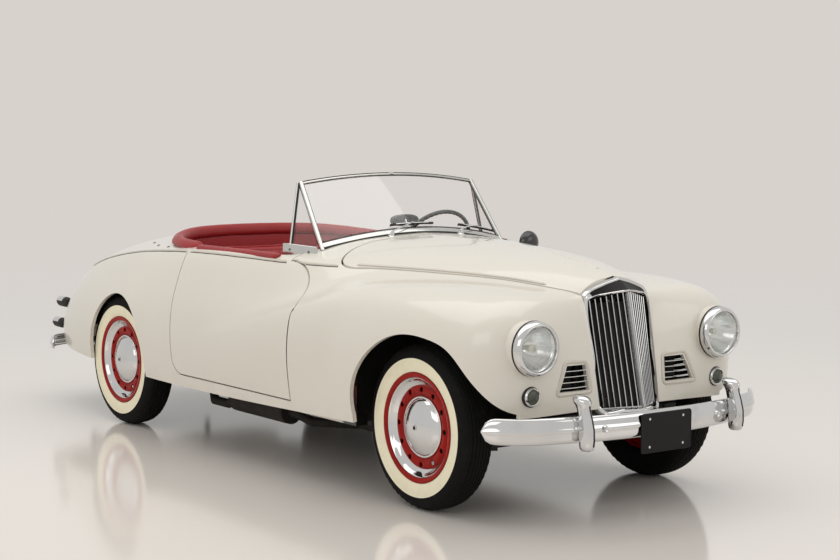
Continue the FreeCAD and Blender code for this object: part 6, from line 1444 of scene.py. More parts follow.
@dataclass
class Screen:
    """Bowed windscreen in its bright frame, with quarter lights, wipers and rubbers."""

    base: tuple = ((.3708, .655, 1.044), (.3498, 0, 1.112))
    top: tuple = ((.4576, .6234, 1.358), (.4503, 0, 1.400))
    rear_foot: tuple = (.4465, .705, .992)
    glass: float = .005
    bottom_rail: float = .050
    top_rail: float = .984
    post: float = .982
    wiper_feet: tuple[float, float] = (-.191, .2025)
    wiper_height: float = .145
    half_width: float = .520

    def at(self, across: Any, up: Any) -> Array:
        """Points of the screen: both edges bow as the square of the share across, with straight lines between.

        Args: across: share from the middle to a post. up: share of the height.
        Returns: the points.
        """
        across, up = np.broadcast_arrays(np.asarray(across, float), np.asarray(up, float))
        edges = []
        for corner, middle in (self.base, self.top):
            c, m = place(*corner), place(*middle)
            edge = m + (c - m) * across[..., None] ** 2
            edge[..., 1] = -c[1] * across
            edges.append(edge)
        return edges[0] + (edges[1] - edges[0]) * up[..., None]

    def lean(self, across: Any, up: Any) -> Array:
        """Direction in which the screen faces: across x up."""
        d = 1e-3
        over = self.at(across + d, up) - self.at(across - d, up)
        return unit(np.cross(over, self.at(across, np.asarray(up) + d) - self.at(across, np.asarray(up) - d)))

    def rail(self, across: Array, up: Any, profile: Array, finish: int = 0) -> Shell:
        """Bar in the screen's surface; its profile's first share points up the screen, its second out of it."""
        return sweep(self.at(across, up), profile, self.lean(across, up), finish=finish)

    def frame(self) -> list[Shell]:
        """Broad lower rail, slim top rail with its black strip, posts, rubbers and a clip at the top."""
        wide, u = np.linspace(-.985, .985, 80), np.linspace(-.01, 1.0, 30)
        shells = [self.rail(wide, self.bottom_rail, rounded(.028, .015, .006, 5)),
                  self.rail(wide, .012, circle(.0080, 12), 1), self.rail(wide, .106, circle(.0028, 8), 1),
                  self.rail(wide, self.top_rail, rounded(.010, .013, .004, 4)),
                  self.rail(wide, 1.006, circle(.0036, 8), 1), self.rail(wide, .964, circle(.0020, 8), 1)]
        for side in (-self.post, self.post):
            line, facing = self.at(side, u), self.lean(side, u)
            shells.append(sweep(line, rounded(.019, .021, .005, 4), facing))
            shells.append(sweep(line - ACROSS * math.copysign(.0125, side), circle(.0030, 8), facing, finish=1))
        clip, out = self.at(0, .985), self.lean(0, .985)
        shells.append(slab(rounded(.022, .016, .004), clip + out * .004, ACROSS, np.cross(out, ACROSS), .006, .001))
        return shells

    def pane(self) -> Shell:
        """Bowed glass between the rails."""
        across, up = np.meshgrid(np.linspace(-.975, .975, 60), np.linspace(.05, .98, 24))
        middle, out = self.at(across, up), self.lean(across, up) * self.glass / 2
        return plate(middle + out, middle - out)

    def quarter(self) -> tuple[list[Shell], Shell]:
        """Right quarter light: rear post with its rubber, plate with two screws, and the three-cornered pane."""
        foot, head, rear = self.at(-1, 0), self.at(-1, 1), place(*self.rear_foot)
        t = np.linspace(0, 1, 16)[:, None]
        post = rear + (head - rear) * t
        shells = [sweep(post - AHEAD * .003, rounded(.011, .017, .004, 4), ACROSS),
                  sweep(post + AHEAD * .0065, circle(.0034, 8), ACROSS, finish=1),
                  sweep(post - AHEAD * .0105, circle(.0030, 8), ACROSS, finish=1)]
        side = unit((foot - rear) * (1, 1, 0))
        out = np.cross(side, UP)
        length = float((foot - rear) @ side)
        slope = float(foot[2] - rear[2])
        outline = softened([(-.014, .018), (length + .010, slope - .012), (length + .004, slope + .018),
                            (.020, .074), (-.014, .074)], .004)
        shells.append(slab(outline, rear + out * .022, side, UP, .009, .0015, 0))
        for k in (.16, .78):
            shells.append(stud(rear + side * length * k + UP * (.050 - .010 * k) + out * .0315, out, .0055, 2))
        up, across = np.meshgrid(np.linspace(.07, .955, 24), np.linspace(.05, .95, 12), indexing="ij")
        low = rear + (foot - rear) * across[..., None]
        pane = low + (head - low) * up[..., None]
        return shells, plate(pane + out * self.glass / 2, pane - out * self.glass / 2)

    def wipers(self) -> Shell:
        """Spindles on the scuttle, arms and blades resting low on the glass."""
        skin, shells = Skin("front_body", "bonnet"), []
        for y in self.wiper_feet:
            foot = skin.drape(np.array([(.562, y, 1.25)]), -UP, 0)[0]
            shells.append(lathe([(-.004, .0001), (-.004, .017), (.003, .017), (.006, .011), (.018, .009), (.024, .007),
                                 (.026, .0001)], foot, UP * .9 + AHEAD * .3, 28, 0))
            across, up = np.linspace(y + .035, y + .275, 26) / self.half_width, self.wiper_height
            blade = self.at(across, up) + self.lean(across, up) * .011
            shells.append(sweep(blade, np.array([(-.0045, .003), (.0045, .003), (.0012, -.008), (-.0012, -.008)]),
                                self.lean(across, up), finish=1))
            inner, facing = across[3:-3], self.lean(across[3:-3], up)
            spine = self.at(inner, up) + facing * .0155
            shells.append(sweep(spine, rounded(.0050, .0032, .001, 3), facing, finish=0))
            knots = [foot + UP * .022, foot + UP * .030 + ACROSS * .03 - AHEAD * .006, spine[10] + UP * .004]
            shells.append(tube(spline(knots, 16), .0032, 10, finish=0))
        return joined(shells)

    def build(self) -> None:
        """Frame, glass and wipers."""
        posts, pane = self.quarter()
        shells = self.frame() + posts + [s.mirrored() for s in posts]
        Piece("screen_frame", joined(shells), (BRIGHT, SEAL, STEEL), Body.CAR.value, "chrome",
              ("windscreen_frame",), 38).build()
        Piece("screen_glass", joined([self.pane(), pane, pane.mirrored()]), (CLEAR,), Body.CAR.value, "clear_glass",
              ("windscreen_glass",), 50).build()
        Piece("wipers", self.wipers(), (CHROME, SEAL), Body.CAR.value, "chrome").build()


@dataclass
class Mirrors:
    """Inside mirror on its stalk and the round wing mirror."""

    inside: tuple[float, float, float] = (.3920, 0, 1.0890)
    wing: tuple[float, float, float] = (.5854, .6035, .9756)
    radius: float = .056
    oval_half: float = .080
    oval_rise: float = .0272

    def build(self) -> None:
        """Black oval shell with its glass, chrome stalks, black round shell with its glass."""
        c, w = np.array(self.inside), np.array(self.wing)
        size = (self.oval_half, self.oval_rise)
        oval = circle(1, 56)
        oval = np.sign(oval) * np.abs(oval) ** .8 * size
        shells = [slab(oval, c - AHEAD * .004, ACROSS, UP, .019, .007, 0),
                  slab(oval * .93, c - AHEAD * .0035, -ACROSS, UP, .0035, .001, 2)]
        stalk = spline([(.440, 0, 1.012), (.436, 0, 1.040), (.418, 0, 1.068), (c[0] + .012, 0, c[2])], 24)
        shells += [tube(stalk, .0042, 12, ACROSS, finish=1), stud(stalk[-1], AHEAD, .009, 1),
                   lathe([(-.004, .0001), (-.004, .020), (.003, .020), (.009, .008), (.010, .0001)], stalk[0], UP,
                         28, 1)]
        back = spline([(.0200, .0001), (.0185, .020), (.0110, .040), (-.0040, .0530), (-.0130, self.radius)], 22)
        rim = [(-.0165, self.radius), (-.0190, .0545), (-.0170, .0520), (-.0120, .0510), (-.0120, .0001)]
        shells += [lathe(back.tolist() + rim, w, AHEAD, 56, 0),
                   lathe([(-.0165, .0001), (-.0165, .0512), (-.0125, .0512), (-.0125, .0001)], w, AHEAD, 48, 2)]
        foot = Skin("front_body").drape(w[None] + (0, 0, .3), -UP, 0)[0]
        arm = spline([foot, foot + UP * .014, w - UP * .050 + AHEAD * .004], 14)
        shells += [tube(arm, .0052, 12, ACROSS, finish=1),
                   lathe([(-.004, .0001), (-.004, .024), (.003, .024), (.008, .010), (.009, .0001)], foot, UP, 28, 1)]
        Piece("mirror_heads", joined(shells), (BAKELITE, CHROME, MIRROR_SILVER), Body.CAR.value, "black_plastic",
              ("mirrors",), 40).build()


@dataclass
class Pad:
    """Stuffed pad: a plain closed form, remeshed, swollen by cloth simulation and divided once."""

    name: str
    start: Shell
    voxel: float = .010
    cap: float = .015
    steps: int = 20

    def applied(self, made: bpy.types.Object) -> Array:
        """Applies the object's modifiers and gives its points."""
        graph = bpy.context.evaluated_depsgraph_get()
        mesh = bpy.data.meshes.new_from_object(made.evaluated_get(graph))
        made.modifiers.clear()
        made.data = mesh
        return column(mesh.vertices, "co", 3)

    def swollen(self) -> tuple[Shell, Array]:
        """The pad after 20 steps of cloth under pressure, without weight: each point's travel d is held to
        cap x tanh(d / cap).

        Returns: the surface and the normal at each point.
        """
        mesh = bpy.data.meshes.new(self.name)
        mesh.from_pydata(self.start.points.tolist(), [], self.start.quads.tolist() + self.start.tris.tolist())
        tidy(mesh, 180)
        made = linked(self.name + "_work", mesh)
        remesh = made.modifiers.new("remesh", "REMESH")
        remesh.mode, remesh.voxel_size = "VOXEL", self.voxel
        rest = self.applied(made)
        cloth = made.modifiers.new("cloth", "CLOTH")
        cloth.settings.use_pressure = True
        cloth.settings.uniform_pressure_force = 4
        cloth.settings.effector_weights.gravity = 0
        for step in range(1, self.steps + 1):
            bpy.context.scene.frame_set(step)
        travel = self.applied(made) - rest
        length = np.maximum(np.linalg.norm(travel, axis=1, keepdims=True), 1e-9)
        points = rest + travel / length * self.cap * np.tanh(length / self.cap)
        made.data.vertices.foreach_set("co", points.ravel())
        bpy.context.scene.frame_set(1)
        finer = made.modifiers.new("finer", "SUBSURF")
        finer.levels = finer.render_levels = 1
        points = self.applied(made)
        normals = column(made.data.vertices, "normal", 3)
        quads = column(made.data.loops, "vertex_index", 4, np.int32)
        bpy.data.objects.remove(made)
        return Shell(points, quads, np.zeros((0, 3), int), np.zeros(len(quads), int), np.zeros(0, int)), normals


def column(rows: Any, name: str, width: int, kind: type = float) -> Array:
    """One property of every row of a mesh's table, in groups of a width.

    Args: rows: the table. name: the property. width: values in a group. kind: their type.
    Returns: one row a group.
    """
    values = np.empty(len(rows) * (1 if name == "vertex_index" else width), kind)
    rows.foreach_get(name, values)
    return values.reshape(-1, width)


def border(x: Array, y: Array, half_x: float, half_y: float, radius: float) -> Array:
    """Distance outside a rectangle with round corners: beyond its inner box as the crow flies, less the radius.

    Args: x, y: places. half_x, half_y: half sides. radius: of the corners.
    Returns: the distance, negative inside.
    """
    q = np.stack([np.abs(x) - half_x + radius, np.abs(y) - half_y + radius], -1)
    return np.linalg.norm(np.maximum(q, 0), axis=-1) + np.minimum(q.max(-1), 0) - radius


@dataclass
class Seats:
    """Two seats in pleated hide, each with a cushion and a raked back."""

    front: float = .2363
    middle: float = -.2874
    base: float = .3962
    half: float = .265
    length: float = .520
    back_front: float = -.2782
    back_foot: float = .4344
    rake: float = 14.0
    pleat: float = .047
    deep: float = .0085
    seam_inset: float = .058
    seam: float = .0060
    piping: float = .0048

    def stitched(self, pad: tuple[Shell, Array], local: Array, facing: Array, long: float, centre: float,
                 piping: Array) -> Shell:
        """Pleats and border seam pressed into one face, and piping laid round its edge.

        Pleats fall by a depth x (1 - |sin|^0.6) of the share across; the seam is a bell round the border.
        Args: pad: surface and normals. local: (across, long) coordinates of its points. facing: 0 to 1 where a
            point belongs to the face. long, centre: the face's half length and its middle. piping: its path.
        Returns: pad and piping as one surface.
        """
        shell, normals = pad
        out = border(local[:, 0], local[:, 1] - centre, self.half - self.seam_inset, long - self.seam_inset, .060)
        inside = np.clip(-out / .008, 0, 1)
        pleats = self.deep * (1 - np.abs(np.sin(math.pi * (local[:, 0] / self.pleat + .5))) ** .6) * inside
        seam = self.seam * np.exp(-(out / self.seam) ** 2)
        points = shell.points - normals * ((pleats + seam) * facing)[:, None]
        tree = BVHTree.FromPolygons(points.tolist(), shell.quads.tolist())
        path = np.array([tree.find_nearest(p)[0] for p in piping.tolist()])
        pipe = tube(path, self.piping, 8, AHEAD * .3 + UP, closed=True, finish=1)
        return joined([replace(shell, points=points), pipe])

    def cushion(self) -> Shell:
        """Right cushion with pleats running fore and aft on top."""
        inset, tall = .013, .126
        middle = np.array((self.front - self.length / 2, self.middle, self.base + .010))
        outline = softened(SQUARE * (self.length / 2 - inset, self.half - inset), .07, 8)
        pad = Pad("seat_cushion", slab(outline, middle, AHEAD, ACROSS, tall, .026)).swollen()
        rel = pad[0].points - middle
        facing = np.clip(pad[1][:, 2] * 2.2 - .6, 0, 1) * (rel[:, 2] > .06)
        edge = spaced(softened(SQUARE * (self.length / 2 - .020, self.half - .020), .075, 8), 180, True)
        piping = np.hstack([edge, np.full((180, 1), tall - .004)]) + middle
        return self.stitched(pad, rel[:, 1::-1], facing, self.length / 2, 0.0, piping)

    def back(self) -> Shell:
        """Right back: pleated upright, with round shoulders, raked about its foot."""
        inset, thick, tall = .012, .101, .552
        foot = np.array((self.back_front, self.middle, self.back_foot))
        corners = np.array([(1, 1), (-1, 1), (-1, 0), (1, 0)]) * (self.half - inset, tall - 2 * inset) + (0, inset)
        outline = softened(corners, .105, 9)
        low = foot - AHEAD * (thick + inset)
        start = slab(outline, low, ACROSS, UP, thick, .024).turned(ACROSS, -self.rake, foot)
        pad = Pad("seat_back", start).swollen()
        rel = turn(pad[0].points, ACROSS, self.rake, foot) - foot
        normals = turn(pad[1], ACROSS, self.rake)
        facing = np.clip(normals[:, 0] * 2.2 - .6, 0, 1) * (rel[:, 0] > -.07)
        edge = spaced(softened((corners - (0, tall / 2)) * .975 + (0, tall / 2), .105, 9), 180, True)
        piping = np.hstack([np.full((180, 1), -.016), edge]) + foot
        return self.stitched(pad, rel[:, 1:], facing, tall / 2, tall / 2, turn(piping, ACROSS, -self.rake, foot))

    def build(self) -> None:
        """Both cushions and both backs."""
        for name, shell, node, fill in (("seat_cushion_pads", self.cushion(), "seat_cushions", .8),
                                        ("seat_back_pads", self.back(), "seat_backs", .7)):
            made = Piece(name, both(shell), (RED_HIDE, RED_PIPING), Body.CAR.value, "red_leather", (node,), 70).build()


@dataclass
class Rolls:
    """Padded rolls round the cockpit's edge, with piping along their outer seam."""

    rim: tuple = ((.39, 1.000), (.737, .998), (.850, 1.010), (.900, 1.030), (.960, 1.052))
    rear: tuple = ((.74195, .770), (.800, .770), (.875, .690), (.925, .520), (.950, .270), (.955, 0))
    door: tuple = ((.436, .795), (.584, .795), (.731, .795))
    lift: float = .016

    def knots(self, shares: Sequence) -> Array:
        """Points of a roll's middle line over the cockpit's rim."""
        s, y = np.array(shares).T
        height = np.interp(s, *np.array(self.rim).T) * HEIGHT_UNIT + self.lift
        return np.stack([[station(v) for v in s], -y * HALF_WIDTH, height], -1)

    def roll(self, line: Array, section: Sequence, piping: tuple[float, float]) -> Shell:
        """Closed soft section along a line, swelling and falling a little, rounded at both ends.

        Args: line: path. section: (side, up) knots. piping: the seam's place in the section.
        Returns: the surface.
        """
        ring = spline(section, 26, True)
        t = np.linspace(0, 1, len(line))
        full = closing(line, .035) * (1 + .012 * np.sin(41 * t) + .009 * np.sin(97 * t + 1))
        body = sweep(line, ring * full[:, None, None], UP)
        along = unit(np.gradient(line, axis=0))
        side = unit(np.cross(UP, along))
        seam = line + side * piping[0] * full[:, None] + np.cross(along, side) * piping[1] * full[:, None]
        return joined([body, tube(seam[3:-3], .0030, 8, finish=1)])

    def build(self) -> None:
        """Rear roll and a roll on each door."""
        right = self.knots(self.rear)
        line = spline(np.vstack([right, (right * (1, -1, 1))[-2::-1]]), 260)
        section = [(.027, -.018), (.022, .000), (.008, .015), (-.012, .020), (-.030, .012), (-.038, -.008),
                   (-.035, -.034), (-.020, -.044), (.002, -.030), (.016, -.022)]
        along = unit(np.gradient(line, axis=0))
        inner = np.array([(-.026, -.016), (-.032, -.060), (-.031, -.150), (-.027, -.150), (-.027, -.060),
                          (-.021, -.016)])
        skirt = sweep(line[8:-8], inner, UP)
        buttons = [stud(line[k] + np.cross(UP, along[k]) * .004 + UP * .0125, UP, .0075, 2)
                   for k in (40, 86, 130, 173, 219)]
        shell = joined([self.roll(line, section, (.025, -.017)), skirt] + buttons)
        made = Piece("cockpit_roll_pad", shell, (RED_HIDE, RED_PIPING, CHROME),
                     Body.CAR.value, "red_leather", ("cockpit_roll",), 70).build()
        low = [(.020, -.012), (.016, .003), (.003, .010), (-.014, .007), (-.025, -.006), (-.023, -.023), (-.004, -.026),
               (.012, -.020)]
        shell = self.roll(spline(self.knots(self.door), 150), low, (.018, -.012))
        for made in on_doors("door_roll_pad", shell, (RED_HIDE, RED_PIPING), "red_leather", "door_roll", 70):
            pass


@dataclass
class Dash:
    """Painted instrument panel with dials and knobs under a padded top roll."""

    face: float = .3988
    dials: tuple = ((.415, .865, .050), (.285, .865, .050), (.130, .885, .027), (.058, .890, .027), (-.014, .890, .027))
    knobs: tuple = (.180, .120, .060, 0.0, -.060)
    knob_height: float = .805
    glove_box: tuple[float, float] = (-.330, .845)
    top_height: float = .925
    top_rise: float = .084
    top_half: float = .548

    def crown(self, y: Array) -> Array:
        """Height of the dash's top: falls as the square of the half width."""
        return self.top_height + self.top_rise * (1 - (np.asarray(y) / self.top_half) ** 2)

    def dial(self, y: float, z: float, r: float) -> list[Shell]:
        """Bezel, face, ticks along three quarters of a turn, needle and hub.

        Args: y, z: the dial's middle. r: its radius.
        Returns: its surfaces.
        """
        c, out = np.array((self.face - .008, y, z)), -AHEAD
        shells = [lathe([(-.001, r * .93), (-.001, r * 1.12), (.004, r * 1.12), (.008, r * 1.06), (.009, r),
                         (.005, r * .94)], c, out, 56, 1),
                  lathe([(.0005, .0001), (.0005, r * .95), (-.002, r * .95), (-.002, .0001)], c, out, 48, 2)]
        for angle in np.radians(np.linspace(-135, 135, 19)):
            ray = -ACROSS * math.sin(angle) + UP * math.cos(angle)
            shells.append(slab(rounded(.0012, r * .14, .0003, 2), c + ray * r * .80 + out * .0004,
                               np.cross(ray, out), ray, .0006, .0001, 3))
        ray = -ACROSS * math.sin(-1.1) + UP * math.cos(-1.1)
        shells.append(slab(rounded(.0018, r * .80, .0006, 2), c + ray * r * .30 + out * .0022, np.cross(ray, out), ray,
                           .0008, .0002, 3))
        shells.append(stud(c + out * .001, out, r * .09, 1))
        return shells

    def panel(self) -> list[Shell]:
        """Panel that follows the crowned top, glove box lid, knobs and switches."""
        y = np.linspace(-.515, .515, 50)
        outline = np.vstack([np.stack([y, self.crown(y) - .022], -1), [(.515, .735), (.495, .706), (-.495, .706),
                                                                      (-.515, .735)]])
        shells = [slab(outline, (self.face + .002, 0, 0), -ACROSS, UP, .010, .0025, 0),
                  slab(rounded(.296, .150, .022), (self.face - .007, *self.glove_box), -ACROSS, UP, .007, .003, 0),
                  slab(rounded(.306, .160, .026), (self.face - .0068, *self.glove_box), -ACROSS, UP, .0016, .0004, 3),
                  stud((self.face - .015, self.glove_box[0], .895), -AHEAD, .010, 1)]
        for y0 in self.knobs:
            at = (self.face - .008, y0, self.knob_height)
            shells.append(lathe([(-.002, .0001), (-.002, .009), (.002, .009), (.003, .004), (.012, .004), (.014, .010),
                                 (.020, .011), (.024, .008), (.025, .0001)], at, -AHEAD, 24, 4))
        for y0, z0, r in self.dials:
            shells += self.dial(y0, z0, r)
        return shells

    def build(self) -> None:
        """Panel on the CAD dash and the roll over its top."""
        Piece("dash_panel", joined(self.panel()), (IVORY_TRIM, CHROME, DIAL_FACE, DIAL_INK, BAKELITE),
              Body.CAR.value, "ivory_paint", (), 40).build()
        y = np.linspace(-.528, .528, 120)
        line = np.stack([np.full(120, .446), y, self.crown(y) - .004], -1)
        section = [(-.047, -.004), (-.046, .010), (-.022, .016), (.010, .018), (.040, .014), (.057, .002),
                   (.060, -.016), (.052, -.030), (.0472, -.032), (.0465, -.004)]
        made = Piece("dash_top_pad", Rolls().roll(line, section, (.058, -.022)), (RED_HIDE, RED_PIPING),
                     Body.CAR.value, "red_leather", (), 70).build()


@dataclass
class Controls:
    """Steering wheel, column stalk, gear and brake levers and pedals."""

    centre: tuple[float, float, float] = (.1501, .350, .9340)
    tilt: float = 30.0
    radius: float = .208

    @property
    def facing(self) -> Array:
        """Direction from the wheel's hub towards the driver."""
        return np.array((-math.cos(math.radians(self.tilt)), 0, math.sin(math.radians(self.tilt))))

    def wheel(self) -> list[Shell]:
        """Rim with finger grips behind, three sprung spokes, hub with a bare button."""
        c, n = np.array(self.centre), self.facing
        u, v = ACROSS, np.array((n[2], 0, -n[0]))
        a = np.linspace(0, 2 * math.pi, 288, endpoint=False)[:, None]
        b = np.linspace(0, 2 * math.pi, 18, endpoint=False)[None]
        thick = .0102 + .0013 * np.cos(48 * a) * np.clip(-np.sin(b), 0, 1)
        ray = np.cos(a)[..., None] * u + np.sin(a)[..., None] * v
        rim = c + ray * (self.radius + thick * np.cos(b))[..., None] + n * (thick * np.sin(b))[..., None]
        shells = [grid(rim, round_u=True, round_v=True)]
        for angle in (90, 210, 330):
            out = u * math.cos(math.radians(angle + 180)) + v * math.sin(math.radians(angle + 180))
            t = np.linspace(.024, self.radius - .004, 26)
            dip = -.014 * np.sin(math.pi * (t / self.radius)) ** 2
            path = c + out * t[:, None] + n * dip[:, None]
            shells.append(sweep(path, rounded(.020, .0055, .002, 3) * np.linspace(1.15, .8, 26)[:, None, None], n,
                                finish=1))
        hub = [(-.030, .0001), (-.030, .026), (-.012, .031), (.004, .033), (.012, .028), (.014, .022), (.014, .0001)]
        button = [(.012, .0001), (.012, .0200), (.016, .0200), (.020, .0150), (.0215, .0001)]
        shells += [lathe(hub, c, n, 48, 0), lathe(button, c, n, 40, 1),
                   lathe([(-.085, .0001), (-.085, .0095), (-.028, .0095), (-.028, .0001)], c, n, 24, 2)]
        return shells

    def column(self) -> Shell:
        """Switch housing and stalk on the column."""
        c, n = np.array(self.centre), self.facing
        at = c - n * .085
        housing = lathe([(-.050, .0225), (-.050, .029), (.010, .031), (.018, .027), (.018, .0225)], at, n, 36, 0)
        stalk = spline([at, at - ACROSS * .05 + n * .006, at - ACROSS * .145 + n * .016], 14)
        knob = lathe([(-.012, .0001), (-.010, .006), (.002, .0085), (.010, .006), (.012, .0001)], stalk[-1],
                     -ACROSS, 20, 0)
        return joined([housing, tube(stalk, .0030, 10, n, finish=1), knob])

    def levers(self) -> list[Shell]:
        """Gear lever in a pleated boot, hand brake, and three pedals with ribbed pads."""
        gear = spline([(.455, 0, .440), (.440, 0, .520), (.395, 0, .620), (.350, 0, .690)], 24)
        folds = [(0, .058)] + [(.008 + .0075 * k, .052 - .0042 * k - (.006 if k % 2 else 0)) for k in range(9)]
        shells = [tube(gear, np.linspace(.0065, .0050, 24), 14, ACROSS, finish=1),
                  lathe([(-.004, .0001)] + folds + [(.078, .0060), (.078, .0001)], (.452, 0, .448), UP, 40, 0),
                  lathe([(-.016, .0060), (-.012, .0160), (.000, .0205), (.012, .0165), (.019, .0060), (.020, .0001),
                         (-.010, .0001)], gear[-1], gear[-1] - gear[-3], 28, 2)]
        brake = spline([(.300, .078, .440), (.330, .078, .500), (.395, .078, .560), (.470, .078, .600)], 22)
        shells += [tube(brake, np.where(np.arange(22) > 12, .0125, .0070), 14, ACROSS, finish=1),
                   slab(rounded(.110, .042, .010), (.330, .078, .448), AHEAD, ACROSS, .010, .003, 0)]
        for y, z, wide in ((.270, .430, .058), (.430, .430, .058), (.530, .420, .046)):
            top = spline([(.800, y, z), (.835, y, z + .03), (.925, y, z + .135), (.955, y, z + .16)], 14)
            tread = unit(np.array((-.85, 0, .5)))
            up = np.cross(tread, ACROSS)
            shells += [tube(top, .0075, 12, ACROSS, finish=3),
                       slab(rounded(wide, .050, .008), top[0] - tread * .004, ACROSS, up, .012, .003, 0)]
            for k in range(5):
                rib = top[0] + up * (k - 2) * .009 + tread * .0065
                shells.append(slab(rounded(wide * .86, .0035, .0012, 3), rib, ACROSS, up, .0032, .0008, 0))
        return shells

    def build(self) -> None:
        """Wheel on its own body; the rest on the car."""
        Piece("steering_rim", joined(self.wheel()), (BAKELITE, BRIGHT, STEEL), Body.STEERING.value, "black_plastic",
              ("steering_wheel",), 40).build()
        Piece("column_switch", self.column(), (BAKELITE, CHROME), Body.CAR.value, "black_plastic").build()
        Piece("levers_and_pedals", joined(self.levers()), (MAT_RUBBER, CHROME, BAKELITE, FRAME_BLACK), Body.CAR.value,
              "black_plastic").build()


@dataclass
class Cabin:
    """Trim panels and carpets laid on the inside of the panels and the floor."""

    flute: float = .047
    rear_flute: float = .052
    inside: float = -.46
    mesh_step: float = .011

    def door_trim(self) -> Shell:
        """Right door's hide panel: flutes below, plain above, with a bead between, pull strap and handle."""
        skin = Skin("door_right")
        x, z = np.meshgrid(np.linspace(-.400, .330, 110), np.linspace(.400, .890, 60))
        start = np.stack([x, np.full(x.shape, self.inside), z], -1)
        edge = border(x + .035, z - .645, .365, .245, .030)
        fluted = np.clip(-border(x + .035, z - .560, .335, .130, .020) / .006, 0, 1)
        rise = .0030 + .0060 * flutes(x, self.flute) * fluted - .0030 * np.clip((edge + .008) / .008, 0, 1)
        land = skin.drape(start, -ACROSS, 0)
        panel = plate(land + ACROSS * rise[..., None], land - ACROSS * .001)
        line = np.stack([np.linspace(-.365, .295, 90), np.full(90, self.inside), np.full(90, .705)], -1)
        bead = tube(skin.drape(line, -ACROSS, .006), .0042, 8, finish=1)
        strap = np.stack([np.linspace(-.120, .080, 20), np.full(20, self.inside), np.full(20, .800)], -1)
        pull = skin.drape(strap, -ACROSS, .006)
        pull[:, 1] += .028 * np.sin(np.linspace(0, math.pi, 20)) ** .5
        post = skin.drape(np.array([(-.320, self.inside, .805)]), -ACROSS, .004)[0]
        lever = post + np.outer(np.linspace(0, 1, 10), (.090, 0, -.012)) + ACROSS * .022
        shells = [panel, bead, tube(pull, .0065, 12, finish=0),
                  lathe([(-.004, .0001), (-.004, .024), (.003, .024), (.008, .014), (.022, .010), (.028, .0001)], post,
                        ACROSS, 32, 2),
                  sweep(lever, rounded(.012, .006, .002, 3) * np.linspace(1.2, .7, 10)[:, None, None], UP, finish=2)]
        return joined(shells)

    def side_trim(self) -> Shell:
        """Right side panel behind the door, laid over the body side and wheelhouse."""
        x, z = np.meshgrid(np.linspace(-.435, -.960, 70), np.linspace(.560, .895, 40))
        start = np.stack([x, np.full(x.shape, -.36), z], -1)
        land = Skin("rear_body", "floor_pan", "sills_and_posts").drape(start, -ACROSS, 0, .40)
        rise = .004 + .004 * flutes(x, self.flute) * np.clip((.80 - z) / .01, 0, 1)
        return plate(land + ACROSS * rise[..., None], land - ACROSS * .002)

    def rear_panel(self) -> Shell:
        """Panel on the bulkhead behind the seats."""
        y, z = np.meshgrid(np.linspace(-.520, .520, 140), np.linspace(.500, .872, 40))
        start = np.stack([np.full(y.shape, -.80), y, z], -1)
        land = Skin("floor_pan").drape(start, -AHEAD, 0, .19)
        rise = .004 + .005 * flutes(y, self.rear_flute)
        return plate(land + AHEAD * rise[..., None], land - AHEAD * .001)

    def laid(self, name: str, x: tuple[float, float], half: float, top: float, lift: float, finish: Finish,
             skin: Skin, slot: str) -> None:
        """Floor covering: a grid let fall on the floor from above.

        Args: name: the piece. x: its rear and front end. half: its half width. top: height of the fall's start.
            lift: its thickness. finish, slot: as a piece's. skin: the floor.
        """
        across = np.arange(-half, half + 1e-6, self.mesh_step)
        along = np.arange(x[0], x[1], self.mesh_step)
        u, v = np.meshgrid(along, across, indexing="ij")
        land = skin.drape(np.stack([u, v, np.full(u.shape, top)], -1), -UP, lift, top - .30)
        thick = np.array((0, 0, lift * .9))
        Piece(name, plate(land, land - thick), (finish,), Body.CAR.value, slot, (), 60).build()

    def build(self) -> None:
        """Door trims, side and rear panels, carpet and boot mat."""
        on_doors("door_trim", self.door_trim(), (RED_HIDE, RED_PIPING, CHROME), "red_leather", crease=50)
        Piece("cabin_side_trims", both(self.side_trim()), (RED_HIDE,), Body.CAR.value, "red_leather", (), 50).build()
        Piece("cabin_rear_panel", self.rear_panel(), (RED_HIDE,), Body.CAR.value, "red_leather", (), 50).build()
        floor = Skin("floor_pan")
        self.laid("cabin_carpet", (-.965, .955), .585, .840, .007, RED_CARPET, floor, "red_leather")
        self.laid("boot_mat", (-1.690, -1.005), .455, .700, .006, MAT_RUBBER, floor, "black_plastic")


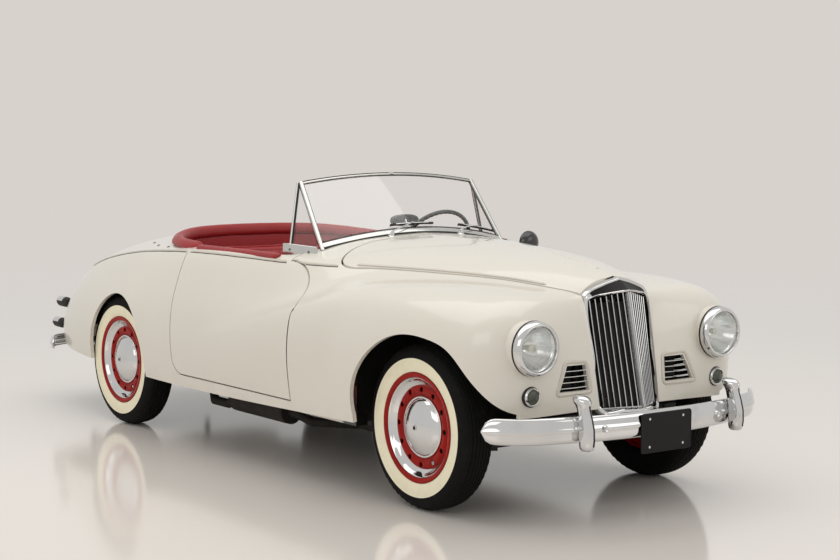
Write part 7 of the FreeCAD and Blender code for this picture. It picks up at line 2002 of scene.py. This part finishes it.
@dataclass
class EngineBay:
    """What shows on the engine block when the bonnet is up."""

    cover: tuple[float, float, float] = (1.350, 0, .846)
    cleaner: tuple[float, float, float] = (1.230, .130, .872)
    fan: tuple[float, float, float] = (1.722, 0, .600)
    ports: tuple[float, ...] = (1.120, 1.240, 1.360, 1.480)

    def build(self) -> None:
        """Rocker cover, air cleaner, manifold, fan, filler cap, hose and leads' cap."""
        cover = slab(rounded(.520, .150, .040), self.cover, AHEAD, ACROSS, .052, .018, 0)
        rib = [slab(rounded(.006, .120, .003), (1.350 + k * .052, 0, .896), AHEAD, ACROSS, .005, .002, 0)
               for k in range(-4, 5)]
        cap = lathe([(-.010, .0001), (-.010, .024), (.012, .026), (.018, .022), (.019, .0001)], (1.490, 0, .905), UP,
                    32, 1)
        nuts = [lathe([(-.006, .0001), (-.006, .012), (.006, .010), (.012, .006), (.014, .0001)], (x, 0, .902), UP,
                      6, 1) for x in (1.200, 1.400)]
        cleaner = lathe([(0, .0001), (0, .070), (.006, .078), (.034, .078), (.040, .070), (.044, .030), (.046, .0001)],
                        self.cleaner, UP, 56, 0)
        throat = tube(spline([(1.230, .130, .880), (1.230, .190, .850), (1.230, .225, .790), (1.230, .215, .740)], 20),
                      .028, 20, AHEAD, finish=2)
        exhaust = [tube(spline([(x, -.205, .720), (x, -.250, .715), (1.240, -.262, .640), (1.180, -.262, .560)], 20),
                        .019, 16, AHEAD, finish=3) for x in self.ports]
        hose = tube(spline([(1.748, .040, .790), (1.728, .040, .800), (1.705, .030, .835), (1.640, .020, .852)], 20),
                    .020, 20, finish=4)
        filler = lathe([(-.004, .0001), (-.004, .030), (.010, .032), (.015, .024), (.016, .0001)], (1.768, 0, .826),
                       UP, 32, 1)
        blades = []
        for k in range(4):
            ray = turn(UP, AHEAD, 90 * k + 20)
            tilted = turn(np.cross(AHEAD, ray), ray, 28)
            blades.append(slab(softened([(-.030, .02), (.030, .02), (.042, .145), (-.042, .145)], .014),
                               self.fan, tilted, ray, .0025, .0006, 1))
        pulley = lathe([(-.018, .0001), (-.018, .045), (-.012, .050), (-.006, .038), (0, .050), (.006, .045),
                        (.012, .020), (.014, .0001)], (1.716, 0, .600), AHEAD, 40, 0)
        tower = lathe([(0, .0001), (0, .030), (.030, .032), (.050, .024), (.056, .0001)], (1.560, -.120, .850), UP,
                      36, 4)
        Piece("engine_dress", joined([cover, cap, cleaner, throat, hose, filler, pulley, tower] + rib + nuts + exhaust
                                     + blades), (ENGINE_ENAMEL, STEEL, IRON, RUST, SEAL), Body.CAR.value, "cast_iron",
              (), 40).build()


def main() -> None:
    """Builds the studio, then the car's pieces from the outside in."""
    logging.basicConfig(level=logging.INFO, format="%(name)s %(message)s")
    Studio().build()
    FrameDress().build()
    for end, axle, half_track in (("front", FRONT_AXLE, FRONT_HALF_TRACK), ("rear", REAR_AXLE, REAR_HALF_TRACK)):
        for hand, side in (("right", -1), ("left", 1)):
            Wheel(f"{end}_{hand}", (axle, side * half_track, WHEEL_CENTRE_HEIGHT), side).build()
    Lamps().build()
    Grille().build()
    Bumper("front_blade", ((-.9400, 0), (-.9380, .190), (-.8740, .540), (-.780, .780), (-.640, .915)), .419, 1,
           .503, 2.140, .080, raised=.031, hook=.040).build("front_bumper")
    Bumper("rear_blade", ((1.9700, 0), (1.9680, .250), (1.9420, .600), (1.8720, .825), (1.7300, .920)), .356, -1,
           .470, -2.140, .062, tall=.066).build("rear_bumper")
    plates()
    BodyTrim().build()
    Screen().build()
    Mirrors().build()
    Rolls().build()
    Seats().build()
    Dash().build()
    Controls().build()
    Cabin().build()
    EngineBay().build()


if __name__ == "__main__":
    main()
